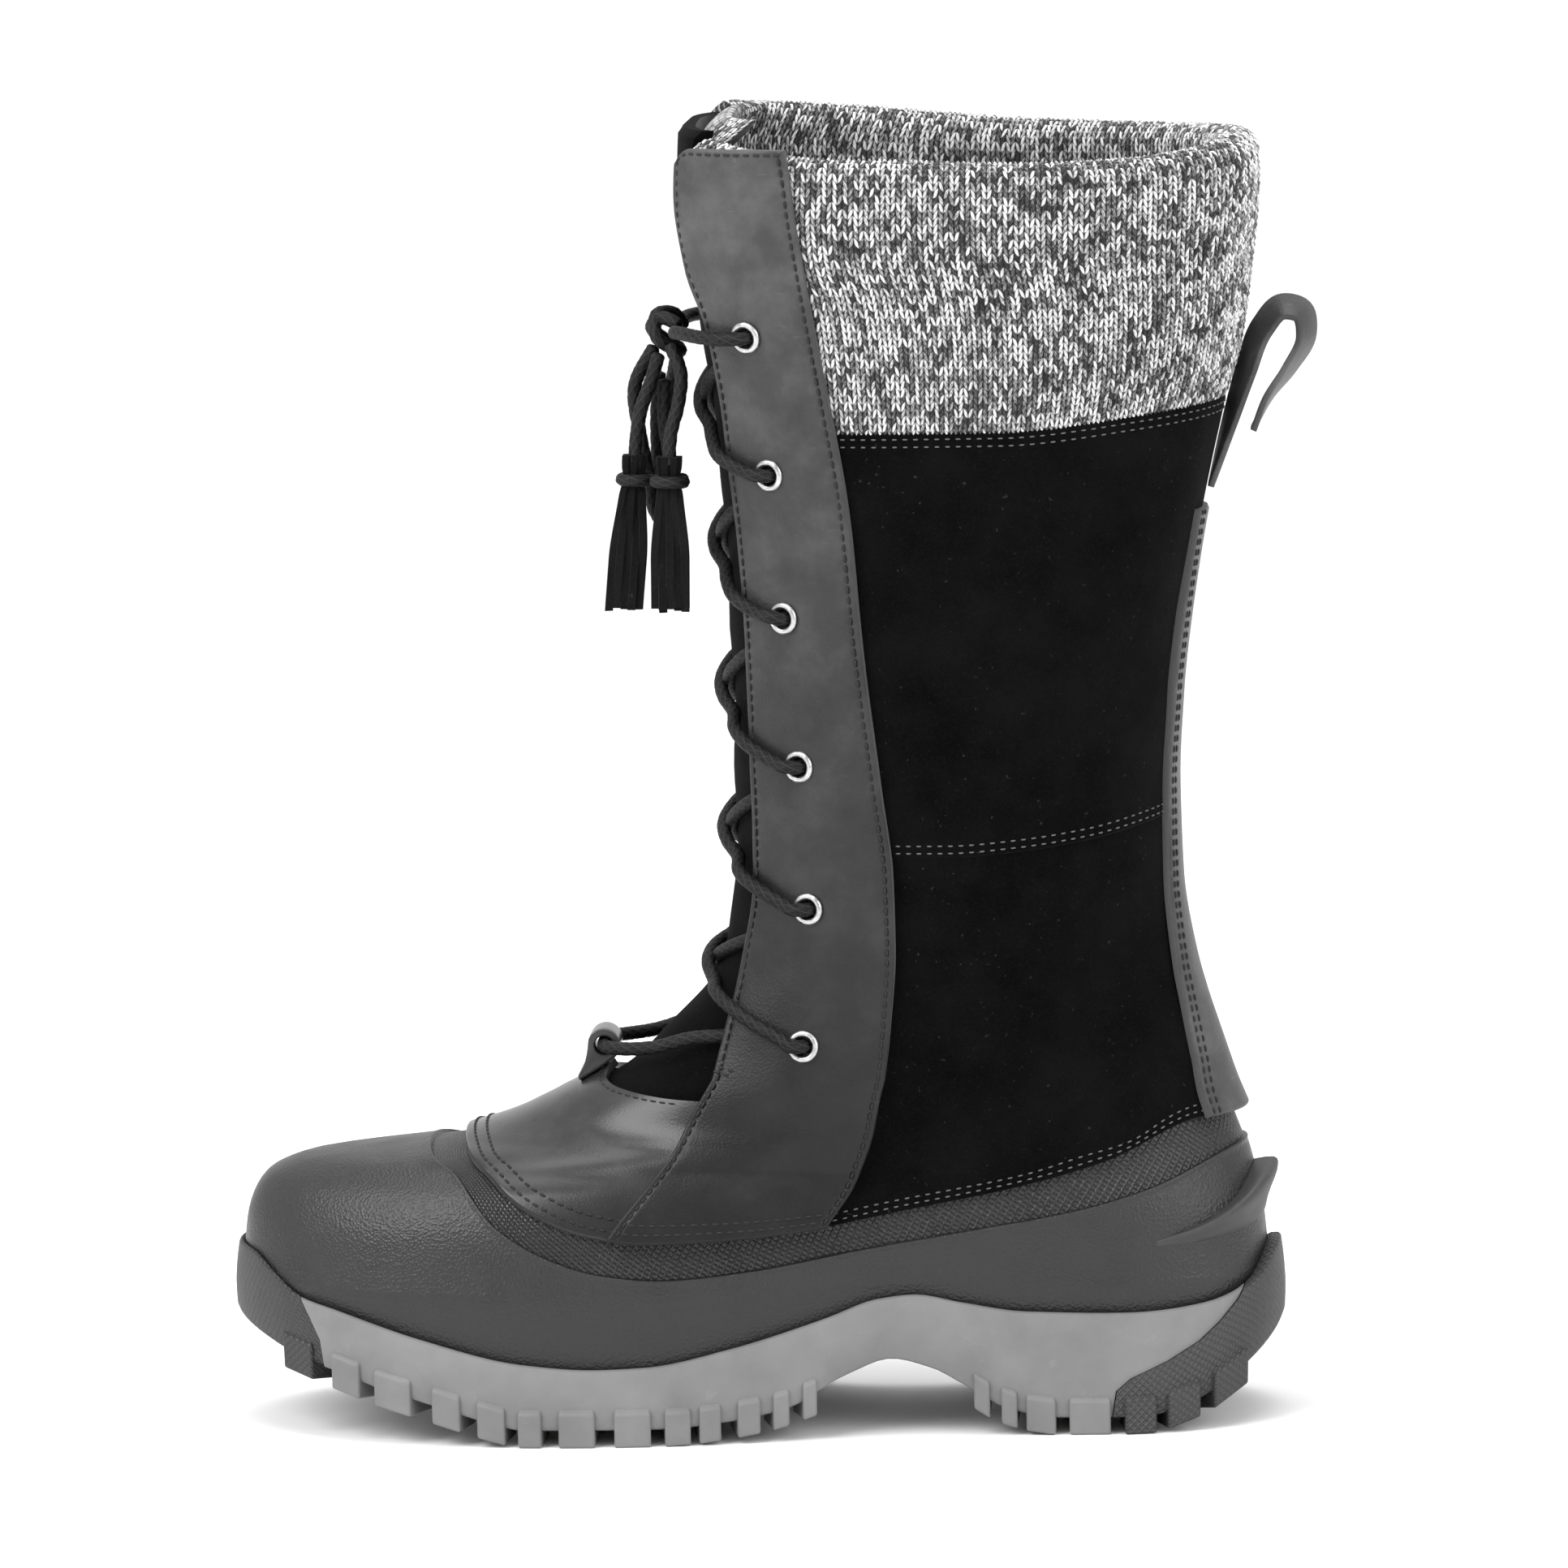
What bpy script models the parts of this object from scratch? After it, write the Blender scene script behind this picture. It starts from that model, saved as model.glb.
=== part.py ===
"""Tall laced winter boot for the left foot: leather, suede and knit over a moulded rubber shell.

Lengths in the code are millimetres and become metres where the meshes are made. The toe
points to -X, the outer side of the foot is -Y and the boot stands on Z = 0.
Tables hold shares: an x is a share of SOLE_LENGTH counted from the toe, a level is a share
of INSTEP_HEIGHT up to 1 and of SHAFT_HEIGHT above it, a width is a share of the width named.
"""

import math

import bmesh
import bpy
import numpy as np
from mathutils import Quaternion, Vector

MM = 0.001

# Sizes of the last
SOLE_LENGTH = 292.0
INSTEP_HEIGHT = 100.0
SHAFT_HEIGHT = 257.0
BALL_WIDTH = 100.0
HEEL_WIDTH = 75.0
SHAFT_WIDTH = 90.0
TOE_SWING = 7.0

# Walls and clearances
CLEAR = 0.3
LAYER_GAP = 0.6
SHELL_GAP = 0.8
FLOOR_GAP = 1.2
FACING_GAP = 1.0
SHELL_WALL = 2.6
BAND_STEP = 0.8
TUCK_STEP = 1.2
LEATHER = 2.0
KNIT_WALL = 8.0
KNIT_BULGE = 1.5
TONGUE_WALL = 5.0
INSOLE_THICK = 5.0

# Sole
RIM_WALL = 2.4
SOLE_FLARE = 3.4
BUMPER_PROUD = 0.8
GROOVE_DEPTH = 4.5
LUG_PROUD = 1.8
LUG_SIDE_HEIGHT = 11.0
LUG_DEEP = 17.0
CENTRE_LUG_LENGTH = 9.0
CENTRE_LUG_WIDTH = 20.0

# Heel ledge
LEDGE_REACH = 6.5
LEDGE_BITE = 1.2

# Overlap of the leather on the shell, and of the pieces at the throat
SHELL_OVERLAP = 13.0
THROAT_SETBACK = 1.5
TONGUE_TUCK = 9.0
TONGUE_SLACK = 1.6
CUFF_TUCK = 14.0
TONGUE_RISE = 8.0
FACING_RISE_OUTER = 3.5
FACING_RISE_INNER = 10.0

# Eyelets and lace
EYELET_BORE = 5.2
EYELET_BARREL = 0.4
EYELET_FLANGE = 9.0
EYELET_ROLL = 0.9
EYELET_LIFT = 0.3
DRILL_DEPTH = 20.0
LACE_DIAMETER = 4.6
CROSSING_LIFT = 1.6
STRAND_STOP = 5.0
STRAND_REST = 0.9

# Keeper, pull loop and tassels
KEEPER_WIDTH = 14.0
KEEPER_TAIL = 11.0
LOOP_WIDTH = 12.0
LOOP_THICK = 1.8
LOOP_TWIST = 26.0
TASSEL_LENGTH = 44.0
TASSEL_WIDTH = 12.0

SHELL_COLUMNS = 18
EYELET_SIDES = 8
RING_SAMPLES = 240
ROW_STEPS = 12
WELD = 0.002
GIRTH_STEPS = 90

COLOURS = {
    "light_rubber": ((0.36, 0.36, 0.36), 0.55, 0.0),
    "black_rubber": ((0.045, 0.045, 0.045), 0.5, 0.0),
    "leather": ((0.06, 0.06, 0.06), 0.45, 0.0),
    "suede": ((0.008, 0.008, 0.008), 0.95, 0.0),
    "knit": ((0.35, 0.35, 0.35), 0.95, 0.0),
    "steel": ((0.75, 0.75, 0.75), 0.25, 1.0),
    "lace": ((0.012, 0.012, 0.012), 0.8, 0.0),
    "felt": ((0.12, 0.12, 0.12), 0.95, 0.0),
}

SECTION_COLUMNS = (
    "front_x front_level back_x back_level outer_ball inner_ball heel "
    "outer_waist inner_waist toe_round heel_round toe_full heel_full"
).split()

# Widths are half widths, as shares of BALL_WIDTH and HEEL_WIDTH. The first row is pressed
# down to FLOOR_LINE, from the level of the second.
FOOT_SECTIONS = [
    (0.024, 0.42, 0.978, 0.42, 0.470, 0.455, 0.460, 0.035, 0.055, 0.33, 0.17, 2.3, 2.3),
    (0.005, 0.42, 0.990, 0.42, 0.500, 0.480, 0.495, 0.030, 0.048, 0.34, 0.18, 2.3, 2.3),
    (0.010, 0.57, 0.985, 0.58, 0.478, 0.460, 0.490, 0.020, 0.035, 0.35, 0.19, 2.2, 2.3),
    (0.027, 0.68, 0.978, 0.68, 0.438, 0.425, 0.478, 0.012, 0.022, 0.37, 0.21, 2.1, 2.2),
    (0.062, 0.735, 0.972, 0.75, 0.400, 0.392, 0.470, 0.005, 0.010, 0.42, 0.23, 2.05, 2.1),
    (0.199, 0.787, 0.961, 0.84, 0.385, 0.382, 0.470, 0.0, 0.0, 0.46, 0.28, 2.0, 2.0),
    (0.260, 0.834, 0.950, 0.92, 0.385, 0.385, 0.480, 0.0, 0.0, 0.50, 0.34, 2.0, 2.0),
    (0.322, 0.918, 0.935, 1.02, 0.390, 0.390, 0.500, 0.0, 0.0, 0.50, 0.40, 2.0, 2.0),
]

# Widths are half widths, as shares of SHAFT_WIDTH.
SHAFT_SECTIONS = [
    (0.377, 1.001, 0.921, 1.07, 0.435, 0.435, 0.435, 0.0, 0.0, 0.50, 0.45, 2.0, 2.0),
    (0.418, 1.040, 0.912, 1.11, 0.440, 0.440, 0.440, 0.0, 0.0, 0.50, 0.48, 2.0, 2.0),
    (0.472, 1.125, 0.900, 1.20, 0.455, 0.455, 0.455, 0.0, 0.0, 0.50, 0.50, 2.0, 2.0),
    (0.484, 1.220, 0.898, 1.30, 0.470, 0.470, 0.470, 0.0, 0.0, 0.50, 0.50, 2.05, 2.0),
    (0.485, 1.360, 0.903, 1.40, 0.490, 0.490, 0.490, 0.0, 0.0, 0.50, 0.50, 2.1, 2.0),
    (0.480, 1.590, 0.926, 1.58, 0.500, 0.500, 0.500, 0.0, 0.0, 0.48, 0.50, 2.2, 2.0),
    (0.470, 1.720, 0.953, 1.71, 0.500, 0.500, 0.500, 0.0, 0.0, 0.45, 0.48, 2.4, 2.05),
    (0.455, 1.860, 0.974, 1.86, 0.495, 0.495, 0.495, 0.0, 0.0, 0.40, 0.46, 3.0, 2.1),
    (0.443, 1.950, 0.982, 1.95, 0.490, 0.490, 0.490, 0.0, 0.0, 0.38, 0.45, 3.4, 2.1),
    (0.443, 2.010, 0.981, 2.01, 0.485, 0.485, 0.485, 0.0, 0.0, 0.38, 0.45, 3.4, 2.1),
    (0.447, 2.070, 0.979, 2.07, 0.480, 0.480, 0.480, 0.0, 0.0, 0.38, 0.45, 3.4, 2.1),
]

# Lines on the side of the boot, as (x share, level)
FLOOR_LINE = [(0.0, 0.36), (0.03, 0.31), (0.07, 0.26), (0.12, 0.215), (0.19, 0.175),
              (0.28, 0.15), (0.40, 0.15), (0.48, 0.175), (0.55, 0.21), (0.64, 0.24),
              (0.75, 0.255), (1.0, 0.26)]
TREAD_LINE = [(0.0, 0.27), (0.03, 0.225), (0.07, 0.175), (0.11, 0.145), (0.15, 0.105),
              (0.20, 0.065), (0.25, 0.022), (0.285, 0.0), (0.42, 0.0), (0.47, 0.012),
              (0.52, 0.035), (0.57, 0.075), (0.70, 0.085), (0.735, 0.035), (0.77, 0.006),
              (0.785, 0.0), (0.872, 0.0), (0.90, 0.02), (0.925, 0.05), (0.95, 0.10),
              (0.97, 0.15), (0.985, 0.20), (1.0, 0.28)]
ARCH_LINE = [(0.0, 0.0), (0.54, 0.0), (0.59, 0.055), (0.63, 0.09), (0.67, 0.06),
             (0.715, 0.0), (1.0, 0.0)]
LIP_LINE = [(0.0, 0.50), (0.02, 0.495), (0.045, 0.445), (0.068, 0.395), (0.11, 0.36),
            (0.19, 0.29), (0.285, 0.225), (0.35, 0.21), (0.40, 0.215), (0.48, 0.26),
            (0.57, 0.335), (0.62, 0.385), (0.655, 0.395), (0.70, 0.37), (0.76, 0.342),
            (0.86, 0.335), (0.925, 0.35), (0.97, 0.40), (0.985, 0.47), (1.0, 0.56)]
BAND_LINE = [(0.170, 1.2), (0.188, 0.79), (0.22, 0.735), (0.26, 0.605), (0.31, 0.52),
             (0.36, 0.475), (0.42, 0.458), (0.50, 0.475), (0.60, 0.52), (0.70, 0.565),
             (0.80, 0.615), (0.88, 0.675), (0.95, 0.755), (1.0, 0.80)]
LEATHER_LINE = [(0.205, 1.3), (0.225, 0.80), (0.25, 0.735), (0.29, 0.645), (0.345, 0.58),
                (0.40, 0.555), (0.47, 0.56), (0.55, 0.58), (0.65, 0.63), (0.75, 0.685),
                (0.84, 0.755), (0.93, 0.85), (0.955, 0.845), (1.0, 0.84)]
SUEDE_TOP_LINE = [(0.0, 1.70), (0.60, 1.70), (0.75, 1.70), (0.88, 1.712), (1.0, 1.725)]
COLLAR_LINE = [(0.0, 2.0), (0.60, 1.992), (0.80, 1.985), (1.0, 1.99)]

# How far the knit's rim stands over that line in mm, as (u, rise)
COLLAR_RISE = [(-1.0, 4.5), (-0.88, 1.5), (-0.75, 0.0), (-0.35, 0.0), (-0.15, 5.0), (0.15, 9.5),
               (0.28, 8.8), (0.42, 7.2), (0.60, 5.6), (0.78, 4.2), (0.88, 3.8), (1.0, 4.5)]

# Upright edges on the side of the boot, as (level, x share)
FACING_FRONT = [(0.50, 0.350), (0.56, 0.363), (0.62, 0.377), (0.70, 0.400), (0.80, 0.428),
                (0.90, 0.446), (1.0, 0.466), (1.06, 0.480), (1.12, 0.494), (1.22, 0.507),
                (1.42, 0.505), (1.55, 0.500), (1.65, 0.492), (1.75, 0.482), (1.83, 0.468),
                (1.88, 0.453), (1.94, 0.446), (1.985, 0.447), (2.0, 0.452), (2.03, 0.464)]
FACING_REAR = [(0.50, 0.560), (0.60, 0.577), (0.70, 0.600), (0.84, 0.619), (0.96, 0.628),
               (1.06, 0.638), (1.14, 0.643), (1.22, 0.642), (1.32, 0.632), (1.48, 0.616),
               (1.62, 0.606), (1.72, 0.592), (1.80, 0.580), (1.90, 0.566), (2.01, 0.551)]

# Lower edge of the throat, as (share of the half girth from the front, level)
THROAT_EDGE = [(0.0, 0.99), (0.06, 0.962), (0.13, 0.942), (0.24, 0.93), (1.0, 0.93)]
TONGUE_FOOT_LEVEL = 0.86

# Half width of the back stay in mm at each level
STAY_HALF = [(0.80, 22.0), (1.0, 18.0), (1.08, 15.0), (1.20, 12.5), (1.60, 11.0), (1.80, 11.0)]
STAY_TOP_LEVEL = 1.60

# Eyelets from the lowest up, as (level, x share)
EYELET_PLACES = [(1.035, 0.555), (1.185, 0.562), (1.340, 0.556), (1.500, 0.544),
                 (1.655, 0.533), (1.805, 0.514)]

# Side edges of the toe and heel bumpers, as (x share, level), from the top down
TOE_EDGE = [(-0.05, 0.395), (0.068, 0.395), (0.078, 0.34), (0.088, 0.28), (0.092, 0.20),
            (0.092, -0.1), (-0.05, -0.1)]
HEEL_EDGE = [(1.05, 0.40), (0.970, 0.40), (0.962, 0.355), (0.945, 0.30), (0.925, 0.25),
             (0.895, 0.20), (0.860, 0.155), (0.846, 0.12), (0.842, 0.05), (0.842, -0.1),
             (1.05, -0.1)]

# Side lugs as (middle x share, length share), all on both sides
SIDE_LUGS = [(0.072, 0.028), (0.120, 0.026), (0.164, 0.034), (0.214, 0.026), (0.256, 0.026),
             (0.292, 0.022), (0.336, 0.034), (0.388, 0.034), (0.430, 0.024), (0.460, 0.020),
             (0.496, 0.021), (0.526, 0.015), (0.553, 0.013), (0.718, 0.015), (0.744, 0.015),
             (0.774, 0.028), (0.820, 0.038), (0.866, 0.028), (0.904, 0.028), (0.944, 0.028)]
CENTRE_LUGS = [0.066, 0.130, 0.175, 0.220, 0.265, 0.310, 0.355, 0.400, 0.445, 0.490, 0.530,
               0.738, 0.776, 0.814, 0.872, 0.912]

# Ridge of the heel ledge from its tip to the back, as (share of the way, top, foot, reach)
LEDGE_REACH_TABLE = [(0.0, 0.530, 0.515, 0.0), (0.25, 0.565, 0.515, 0.35),
                     (0.55, 0.625, 0.525, 0.70), (0.80, 0.680, 0.535, 0.92),
                     (1.0, 0.700, 0.540, 1.0)]
LEDGE_TIP_X = 0.885


def along(table, at):
    """Smooth curve without overshoot through a table of (place, value) rows."""
    xs = np.array([row[0] for row in table], float)
    ys = np.array([row[1] for row in table], float)
    return smooth_through(xs, ys, at)


def smooth_through(xs, ys, at):
    """Monotone cubic through (xs, ys), read at the places in at. ys may hold columns."""
    at = np.clip(np.asarray(at, float), xs[0], xs[-1])
    wide = ys.reshape(len(xs), -1)
    run = np.diff(xs)[:, None]
    rise = np.diff(wide, axis=0) / run
    slope = np.zeros_like(wide)
    slope[0], slope[-1] = rise[0], rise[-1]
    both = rise[:-1] * rise[1:] > 0
    heavy, light = 2 * run[1:] + run[:-1], run[1:] + 2 * run[:-1]
    with np.errstate(divide="ignore", invalid="ignore"):
        mean = (heavy + light) / (heavy / rise[:-1] + light / rise[1:])
    slope[1:-1] = np.where(both, mean, 0.0)
    flat = at.reshape(-1)
    k = np.clip(np.searchsorted(xs, flat, side="right") - 1, 0, len(xs) - 2)
    h = run[k]
    s = ((flat - xs[k])[:, None]) / h
    low, high = wide[k], wide[k + 1]
    value = (
        (1 + 2 * s) * (1 - s) ** 2 * low
        + s * (1 - s) ** 2 * h * slope[k]
        + s * s * (3 - 2 * s) * high
        + s * s * (s - 1) * h * slope[k + 1]
    )
    return value.reshape(at.shape + ys.shape[1:])


def x_of(share):
    """Place along the boot in mm, from a share of its length counted from the toe."""
    return (np.asarray(share, float) - 0.5) * SOLE_LENGTH


def share_of(x):
    return np.asarray(x, float) / SOLE_LENGTH + 0.5


def z_of(level):
    level = np.asarray(level, float)
    return np.minimum(level, 1) * INSTEP_HEIGHT + np.maximum(level - 1, 0) * SHAFT_HEIGHT


def level_of(z):
    z = np.asarray(z, float)
    low = np.minimum(z / INSTEP_HEIGHT, 1)
    return low + np.maximum(z - INSTEP_HEIGHT, 0) / SHAFT_HEIGHT


def line_height(line, x):
    """Height in mm of one of the side lines at a place along the boot."""
    return z_of(along(line, share_of(x)))


def edge_place(edge, z):
    """Place in mm of one of the upright edges at a height."""
    return x_of(along(edge, level_of(z)))


def section_sizes():
    """The section table in mm, one row for each section from the floor to the collar."""
    column = {name: k for k, name in enumerate(SECTION_COLUMNS)}
    rows = np.array(FOOT_SECTIONS + SHAFT_SECTIONS, float)
    foot = len(FOOT_SECTIONS)
    for name in ("front_x", "back_x"):
        rows[:, column[name]] = x_of(rows[:, column[name]])
    for name in ("front_level", "back_level"):
        rows[:, column[name]] = z_of(rows[:, column[name]])
    for name in ("outer_ball", "inner_ball", "heel", "outer_waist", "inner_waist"):
        rows[foot:, column[name]] *= SHAFT_WIDTH
    for name in ("outer_ball", "inner_ball", "outer_waist", "inner_waist"):
        rows[:foot, column[name]] *= BALL_WIDTH
    rows[:foot, column["heel"]] *= HEEL_WIDTH
    return rows


def rounded_end(distance, reach, fullness):
    """1 away from an end, falling to 0 at the end in a superellipse quarter."""
    s = np.clip(1 - distance / reach, 0, 1)
    return (1 - s**fullness) ** (1 / fullness)


def smooth_step(s):
    s = np.clip(s, 0, 1)
    return s * s * (3 - 2 * s)


def ring(row, side, floor_share):
    """One section from its front to its back on one side, as points in mm."""
    (front_x, front_z, back_x, back_z, outer, inner, heel, outer_waist, inner_waist,
     toe_round, heel_round, toe_full, heel_full) = row
    turn = np.linspace(0, math.pi, RING_SAMPLES)
    t = (1 - np.cos(turn)) / 2
    ball, waist = (outer, outer_waist) if side < 0 else (inner, inner_waist)
    half = ball + (heel - ball) * smooth_step((t - 0.34) / 0.46)
    half = half - waist * np.exp(-(((t - 0.62) / 0.11) ** 2))
    half = half * rounded_end(t, toe_round, toe_full)
    half = half * rounded_end(1 - t, heel_round, heel_full)
    x = front_x + (back_x - front_x) * t
    z = front_z + (back_z - front_z) * t
    z = z + (line_height(FLOOR_LINE, x) - z) * floor_share
    swing = TOE_SWING * np.clip((x_of(0.40) - x) / (0.40 * SOLE_LENGTH), 0, 1) ** 2
    return np.stack([x, side * half + swing, z], axis=1)


def by_arc_length(points):
    step = np.linalg.norm(np.diff(points, axis=0), axis=1)
    run = np.concatenate([[0], np.cumsum(step)])
    at = np.linspace(0, run[-1], GIRTH_STEPS + 1)
    return np.stack([np.interp(at, run, points[:, k]) for k in range(3)], axis=1)


def make_skin():
    """Grids of points and outward normals on the last. Rows run up, columns run from the
    back over the outer side to the front, then over the inner side to the back."""
    rows = section_sizes()
    count = len(rows)
    at = np.linspace(0, count - 1, (count - 1) * ROW_STEPS + 1)
    table = smooth_through(np.arange(count, dtype=float), rows, at)
    points = []
    for v, row in zip(at, table):
        floor_share = max(0.0, 1.0 - v)
        outer = by_arc_length(ring(row, -1, floor_share))
        inner = by_arc_length(ring(row, 1, floor_share))
        points.append(np.concatenate([outer[::-1], inner[1:]]))
    points = np.array(points)
    around = np.gradient(points, axis=1)
    around[:, 0] = around[:, -1] = points[:, 1] - points[:, -2]
    up = np.gradient(points, axis=0)
    normal = np.cross(up, around)
    normal /= np.linalg.norm(normal, axis=2)[:, :, None]
    return points, normal


SKIN_POINTS, SKIN_NORMALS = make_skin()
TOP_ROW = len(FOOT_SECTIONS) + len(SHAFT_SECTIONS) - 1


def read_grid(grid, u, v):
    row = np.clip(np.asarray(v, float) * ROW_STEPS, 0, grid.shape[0] - 1.0001)
    column = np.clip((np.asarray(u, float) + 1) * GIRTH_STEPS, 0, grid.shape[1] - 1.0001)
    i, j = row.astype(int), column.astype(int)
    a, b = (row - i)[..., None], (column - j)[..., None]
    low = grid[i, j] * (1 - b) + grid[i, j + 1] * b
    high = grid[i + 1, j] * (1 - b) + grid[i + 1, j + 1] * b
    return low * (1 - a) + high * a


def skin(u, v, offset=0.0):
    """Points at an offset from the last. u is -1 at the back, 0 at the front and 1 at the
    back again, the outer side being negative. v counts the sections from the floor up."""
    u, v = np.broadcast_arrays(np.asarray(u, float), np.asarray(v, float))
    point = read_grid(SKIN_POINTS, u, v)
    normal = read_grid(SKIN_NORMALS, u, v)
    normal = normal / np.linalg.norm(normal, axis=-1)[..., None]
    return point + normal * np.broadcast_to(offset, u.shape)[..., None]


def beside(u, v, out, z):
    """Points at a height, moved level out from a section of the skin."""
    point = skin(u, v)
    level = read_grid(SKIN_NORMALS, u, np.full_like(u, v)) * [1, 1, 0]
    point = point + level / np.linalg.norm(level, axis=1)[:, None] * out
    return np.column_stack([point[:, 0], point[:, 1], z])


def first_rise(places, values):
    """Where each row of values first goes from below zero to above, along places."""
    below = values < 0
    last = below.shape[1] - 1 - np.argmax(below[:, ::-1], axis=1)
    last = np.clip(last, 0, below.shape[1] - 2)
    pick = np.arange(len(values))
    low, high = values[pick, last], values[pick, last + 1]
    s = np.clip(-low / np.where(high == low, 1, high - low), 0, 1)
    return places[last] + s * (places[last + 1] - places[last])


def row_at_line(line, u):
    """v of one of the side lines at each u."""
    u = np.atleast_1d(np.asarray(u, float))
    places = np.linspace(0, TOP_ROW, 400)
    points = skin(u[:, None], places[None, :])
    return first_rise(places, points[..., 2] - line_height(line, points[..., 0]))


def row_at_height(height, u):
    u = np.atleast_1d(np.asarray(u, float))
    places = np.linspace(0, TOP_ROW, 400)
    return first_rise(places, skin(u[:, None], places[None, :])[..., 2] - height)


def turn_at_edge(edge, v, offset=0.0):
    """The share of the half girth, from the front, of an upright edge at each v."""
    v = np.atleast_1d(np.asarray(v, float))
    places = np.linspace(0, 1, 400)
    points = skin(-places[None, :], v[:, None], offset)
    return first_rise(places, points[..., 0] - edge_place(edge, points[..., 2]))


def half_girth(v):
    """Length in mm of the outer half of the section at each v."""
    points = skin(np.linspace(-1, 0, 121)[None, :], np.atleast_1d(v)[:, None])
    return np.linalg.norm(np.diff(points, axis=1), axis=2).sum(axis=1)


def stay_turn(v):
    """The share of the half girth where the back stay's edge lies, from the front."""
    back = skin(-1.0, np.atleast_1d(v))
    return 1 - along(STAY_HALF, level_of(back[..., 2])) / half_girth(v)


# Blender helpers

def clear_scene():
    for obj in list(bpy.data.objects):
        bpy.data.objects.remove(obj)


def collection(name):
    made = bpy.data.collections.new(name)
    bpy.context.scene.collection.children.link(made)
    return made


def material(name):
    if name in bpy.data.materials:
        return bpy.data.materials[name]
    colour, roughness, metallic = COLOURS[name]
    made = bpy.data.materials.new(name)
    made.use_nodes = True
    shader = made.node_tree.nodes["Principled BSDF"]
    shader.inputs["Base Color"].default_value = (*colour, 1)
    shader.inputs["Roughness"].default_value = roughness
    shader.inputs["Metallic"].default_value = metallic
    made.diffuse_color = (*colour, 1)
    return made


def add_mesh(name, points, faces, finish, home):
    mesh = bpy.data.meshes.new(name)
    mesh.from_pydata([Vector(p) * MM for p in points], [], faces)
    obj = bpy.data.objects.new(name, mesh)
    home.objects.link(obj)
    face_outwards(mesh)
    tidy_mesh(mesh)
    if finish:
        mesh.materials.append(material(finish))
    mesh.shade_smooth()
    mesh.set_sharp_from_angle(angle=math.radians(40))
    return obj


def face_outwards(mesh):
    work = bmesh.new()
    work.from_mesh(mesh)
    bmesh.ops.recalc_face_normals(work, faces=work.faces)
    if work.calc_volume(signed=True) < 0:
        bmesh.ops.reverse_faces(work, faces=work.faces)
    work.to_mesh(mesh)
    work.free()


def combine(target, other, operation, crossing=False):
    """Boolean of two meshes, kept in target. The other object is removed. With crossing,
    blocks of the other object may run into each other."""
    cut = target.modifiers.new(operation, "BOOLEAN")
    cut.operation = operation
    cut.object = other
    cut.solver = "EXACT"
    cut.use_self = crossing
    graph = bpy.context.evaluated_depsgraph_get()
    made = bpy.data.meshes.new_from_object(target.evaluated_get(graph))
    tidy_mesh(made)
    target.modifiers.clear()
    old = target.data
    target.data = made
    bpy.data.meshes.remove(old)
    bpy.data.objects.remove(other)
    return target


def tidy_mesh(mesh):
    """Triangles with fixed diagonals, without the slivers that a Boolean leaves."""
    work = bmesh.new()
    work.from_mesh(mesh)
    bmesh.ops.triangulate(work, faces=work.faces, quad_method="FIXED")
    bmesh.ops.remove_doubles(work, verts=work.verts, dist=WELD * MM)
    bmesh.ops.dissolve_degenerate(work, edges=work.edges, dist=WELD * MM)
    work.to_mesh(mesh)
    work.free()


def wall(name, u, v, outer, inner, finish, home, around=False, open_cells=None):
    """A wall of the skin between two offsets, over a grid of (u, v) places. With around the
    last column joins the first. open_cells(i, j) is true for a cell that is left out."""
    u, v = np.broadcast_arrays(u, v)
    rows, columns = u.shape
    points = np.concatenate([
        skin(u, v, outer).reshape(-1, 3),
        skin(u, v, inner).reshape(-1, 3),
    ])
    inside = rows * columns
    kept = {
        (i, j)
        for i in range(rows - 1)
        for j in range(columns if around else columns - 1)
        if not (open_cells and open_cells(i, j))
    }
    faces, edges = [], {}
    for i, j in sorted(kept):
        k = (j + 1) % columns
        corners = [i * columns + j, i * columns + k, (i + 1) * columns + k, (i + 1) * columns + j]
        faces.append(corners)
        faces.append([inside + c for c in reversed(corners)])
        for a, b in zip(corners, corners[1:] + corners[:1]):
            edges.setdefault(frozenset((a, b)), []).append((a, b))
    for found in edges.values():
        if len(found) == 1:
            a, b = found[0]
            faces.append([b, a, inside + a, inside + b])
    used = sorted({c for face in faces for c in face})
    number = {old: new for new, old in enumerate(used)}
    faces = [[number[c] for c in face] for face in faces]
    return add_mesh(name, points[used], faces, finish, home)


def swept(name, sections, finish, home, around=False):
    """A solid through closed sections with equal numbers of points."""
    sections = np.asarray(sections, float)
    count, size = sections.shape[:2]
    faces = []
    for i in range(count if around else count - 1):
        k = (i + 1) % count
        for j in range(size):
            n = (j + 1) % size
            faces.append([i * size + j, i * size + n, k * size + n, k * size + j])
    if not around:
        faces.append([j for j in range(size)][::-1])
        faces.append([(count - 1) * size + j for j in range(size)])
    return add_mesh(name, sections.reshape(-1, 3), faces, finish, home)


def prism(name, outline, low, high, home):
    """A cutter: an outline of (x share, level) points drawn out along Y in mm."""
    flat = [(float(x_of(x)), float(z_below(level))) for x, level in outline]
    return swept(name, [[(x, y, z) for x, z in flat] for y in (low, high)], None, home)


def z_below(level):
    """Height of a level that may lie under the ground."""
    return level * INSTEP_HEIGHT


def cord(name, points, diameter, home, finish="lace", sides=2):
    """A tube on a line of points, as a curve with filled caps."""
    curve = bpy.data.curves.new(name, "CURVE")
    curve.dimensions = "3D"
    curve.bevel_depth = diameter / 2 * MM
    curve.bevel_resolution = sides
    curve.use_fill_caps = True
    spline = curve.splines.new("POLY")
    spline.points.add(len(points) - 1)
    for place, point in zip(spline.points, points):
        place.co = (*(Vector(point) * MM), 1)
    curve.materials.append(material(finish))
    obj = bpy.data.objects.new(name, curve)
    home.objects.link(obj)
    return obj


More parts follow.
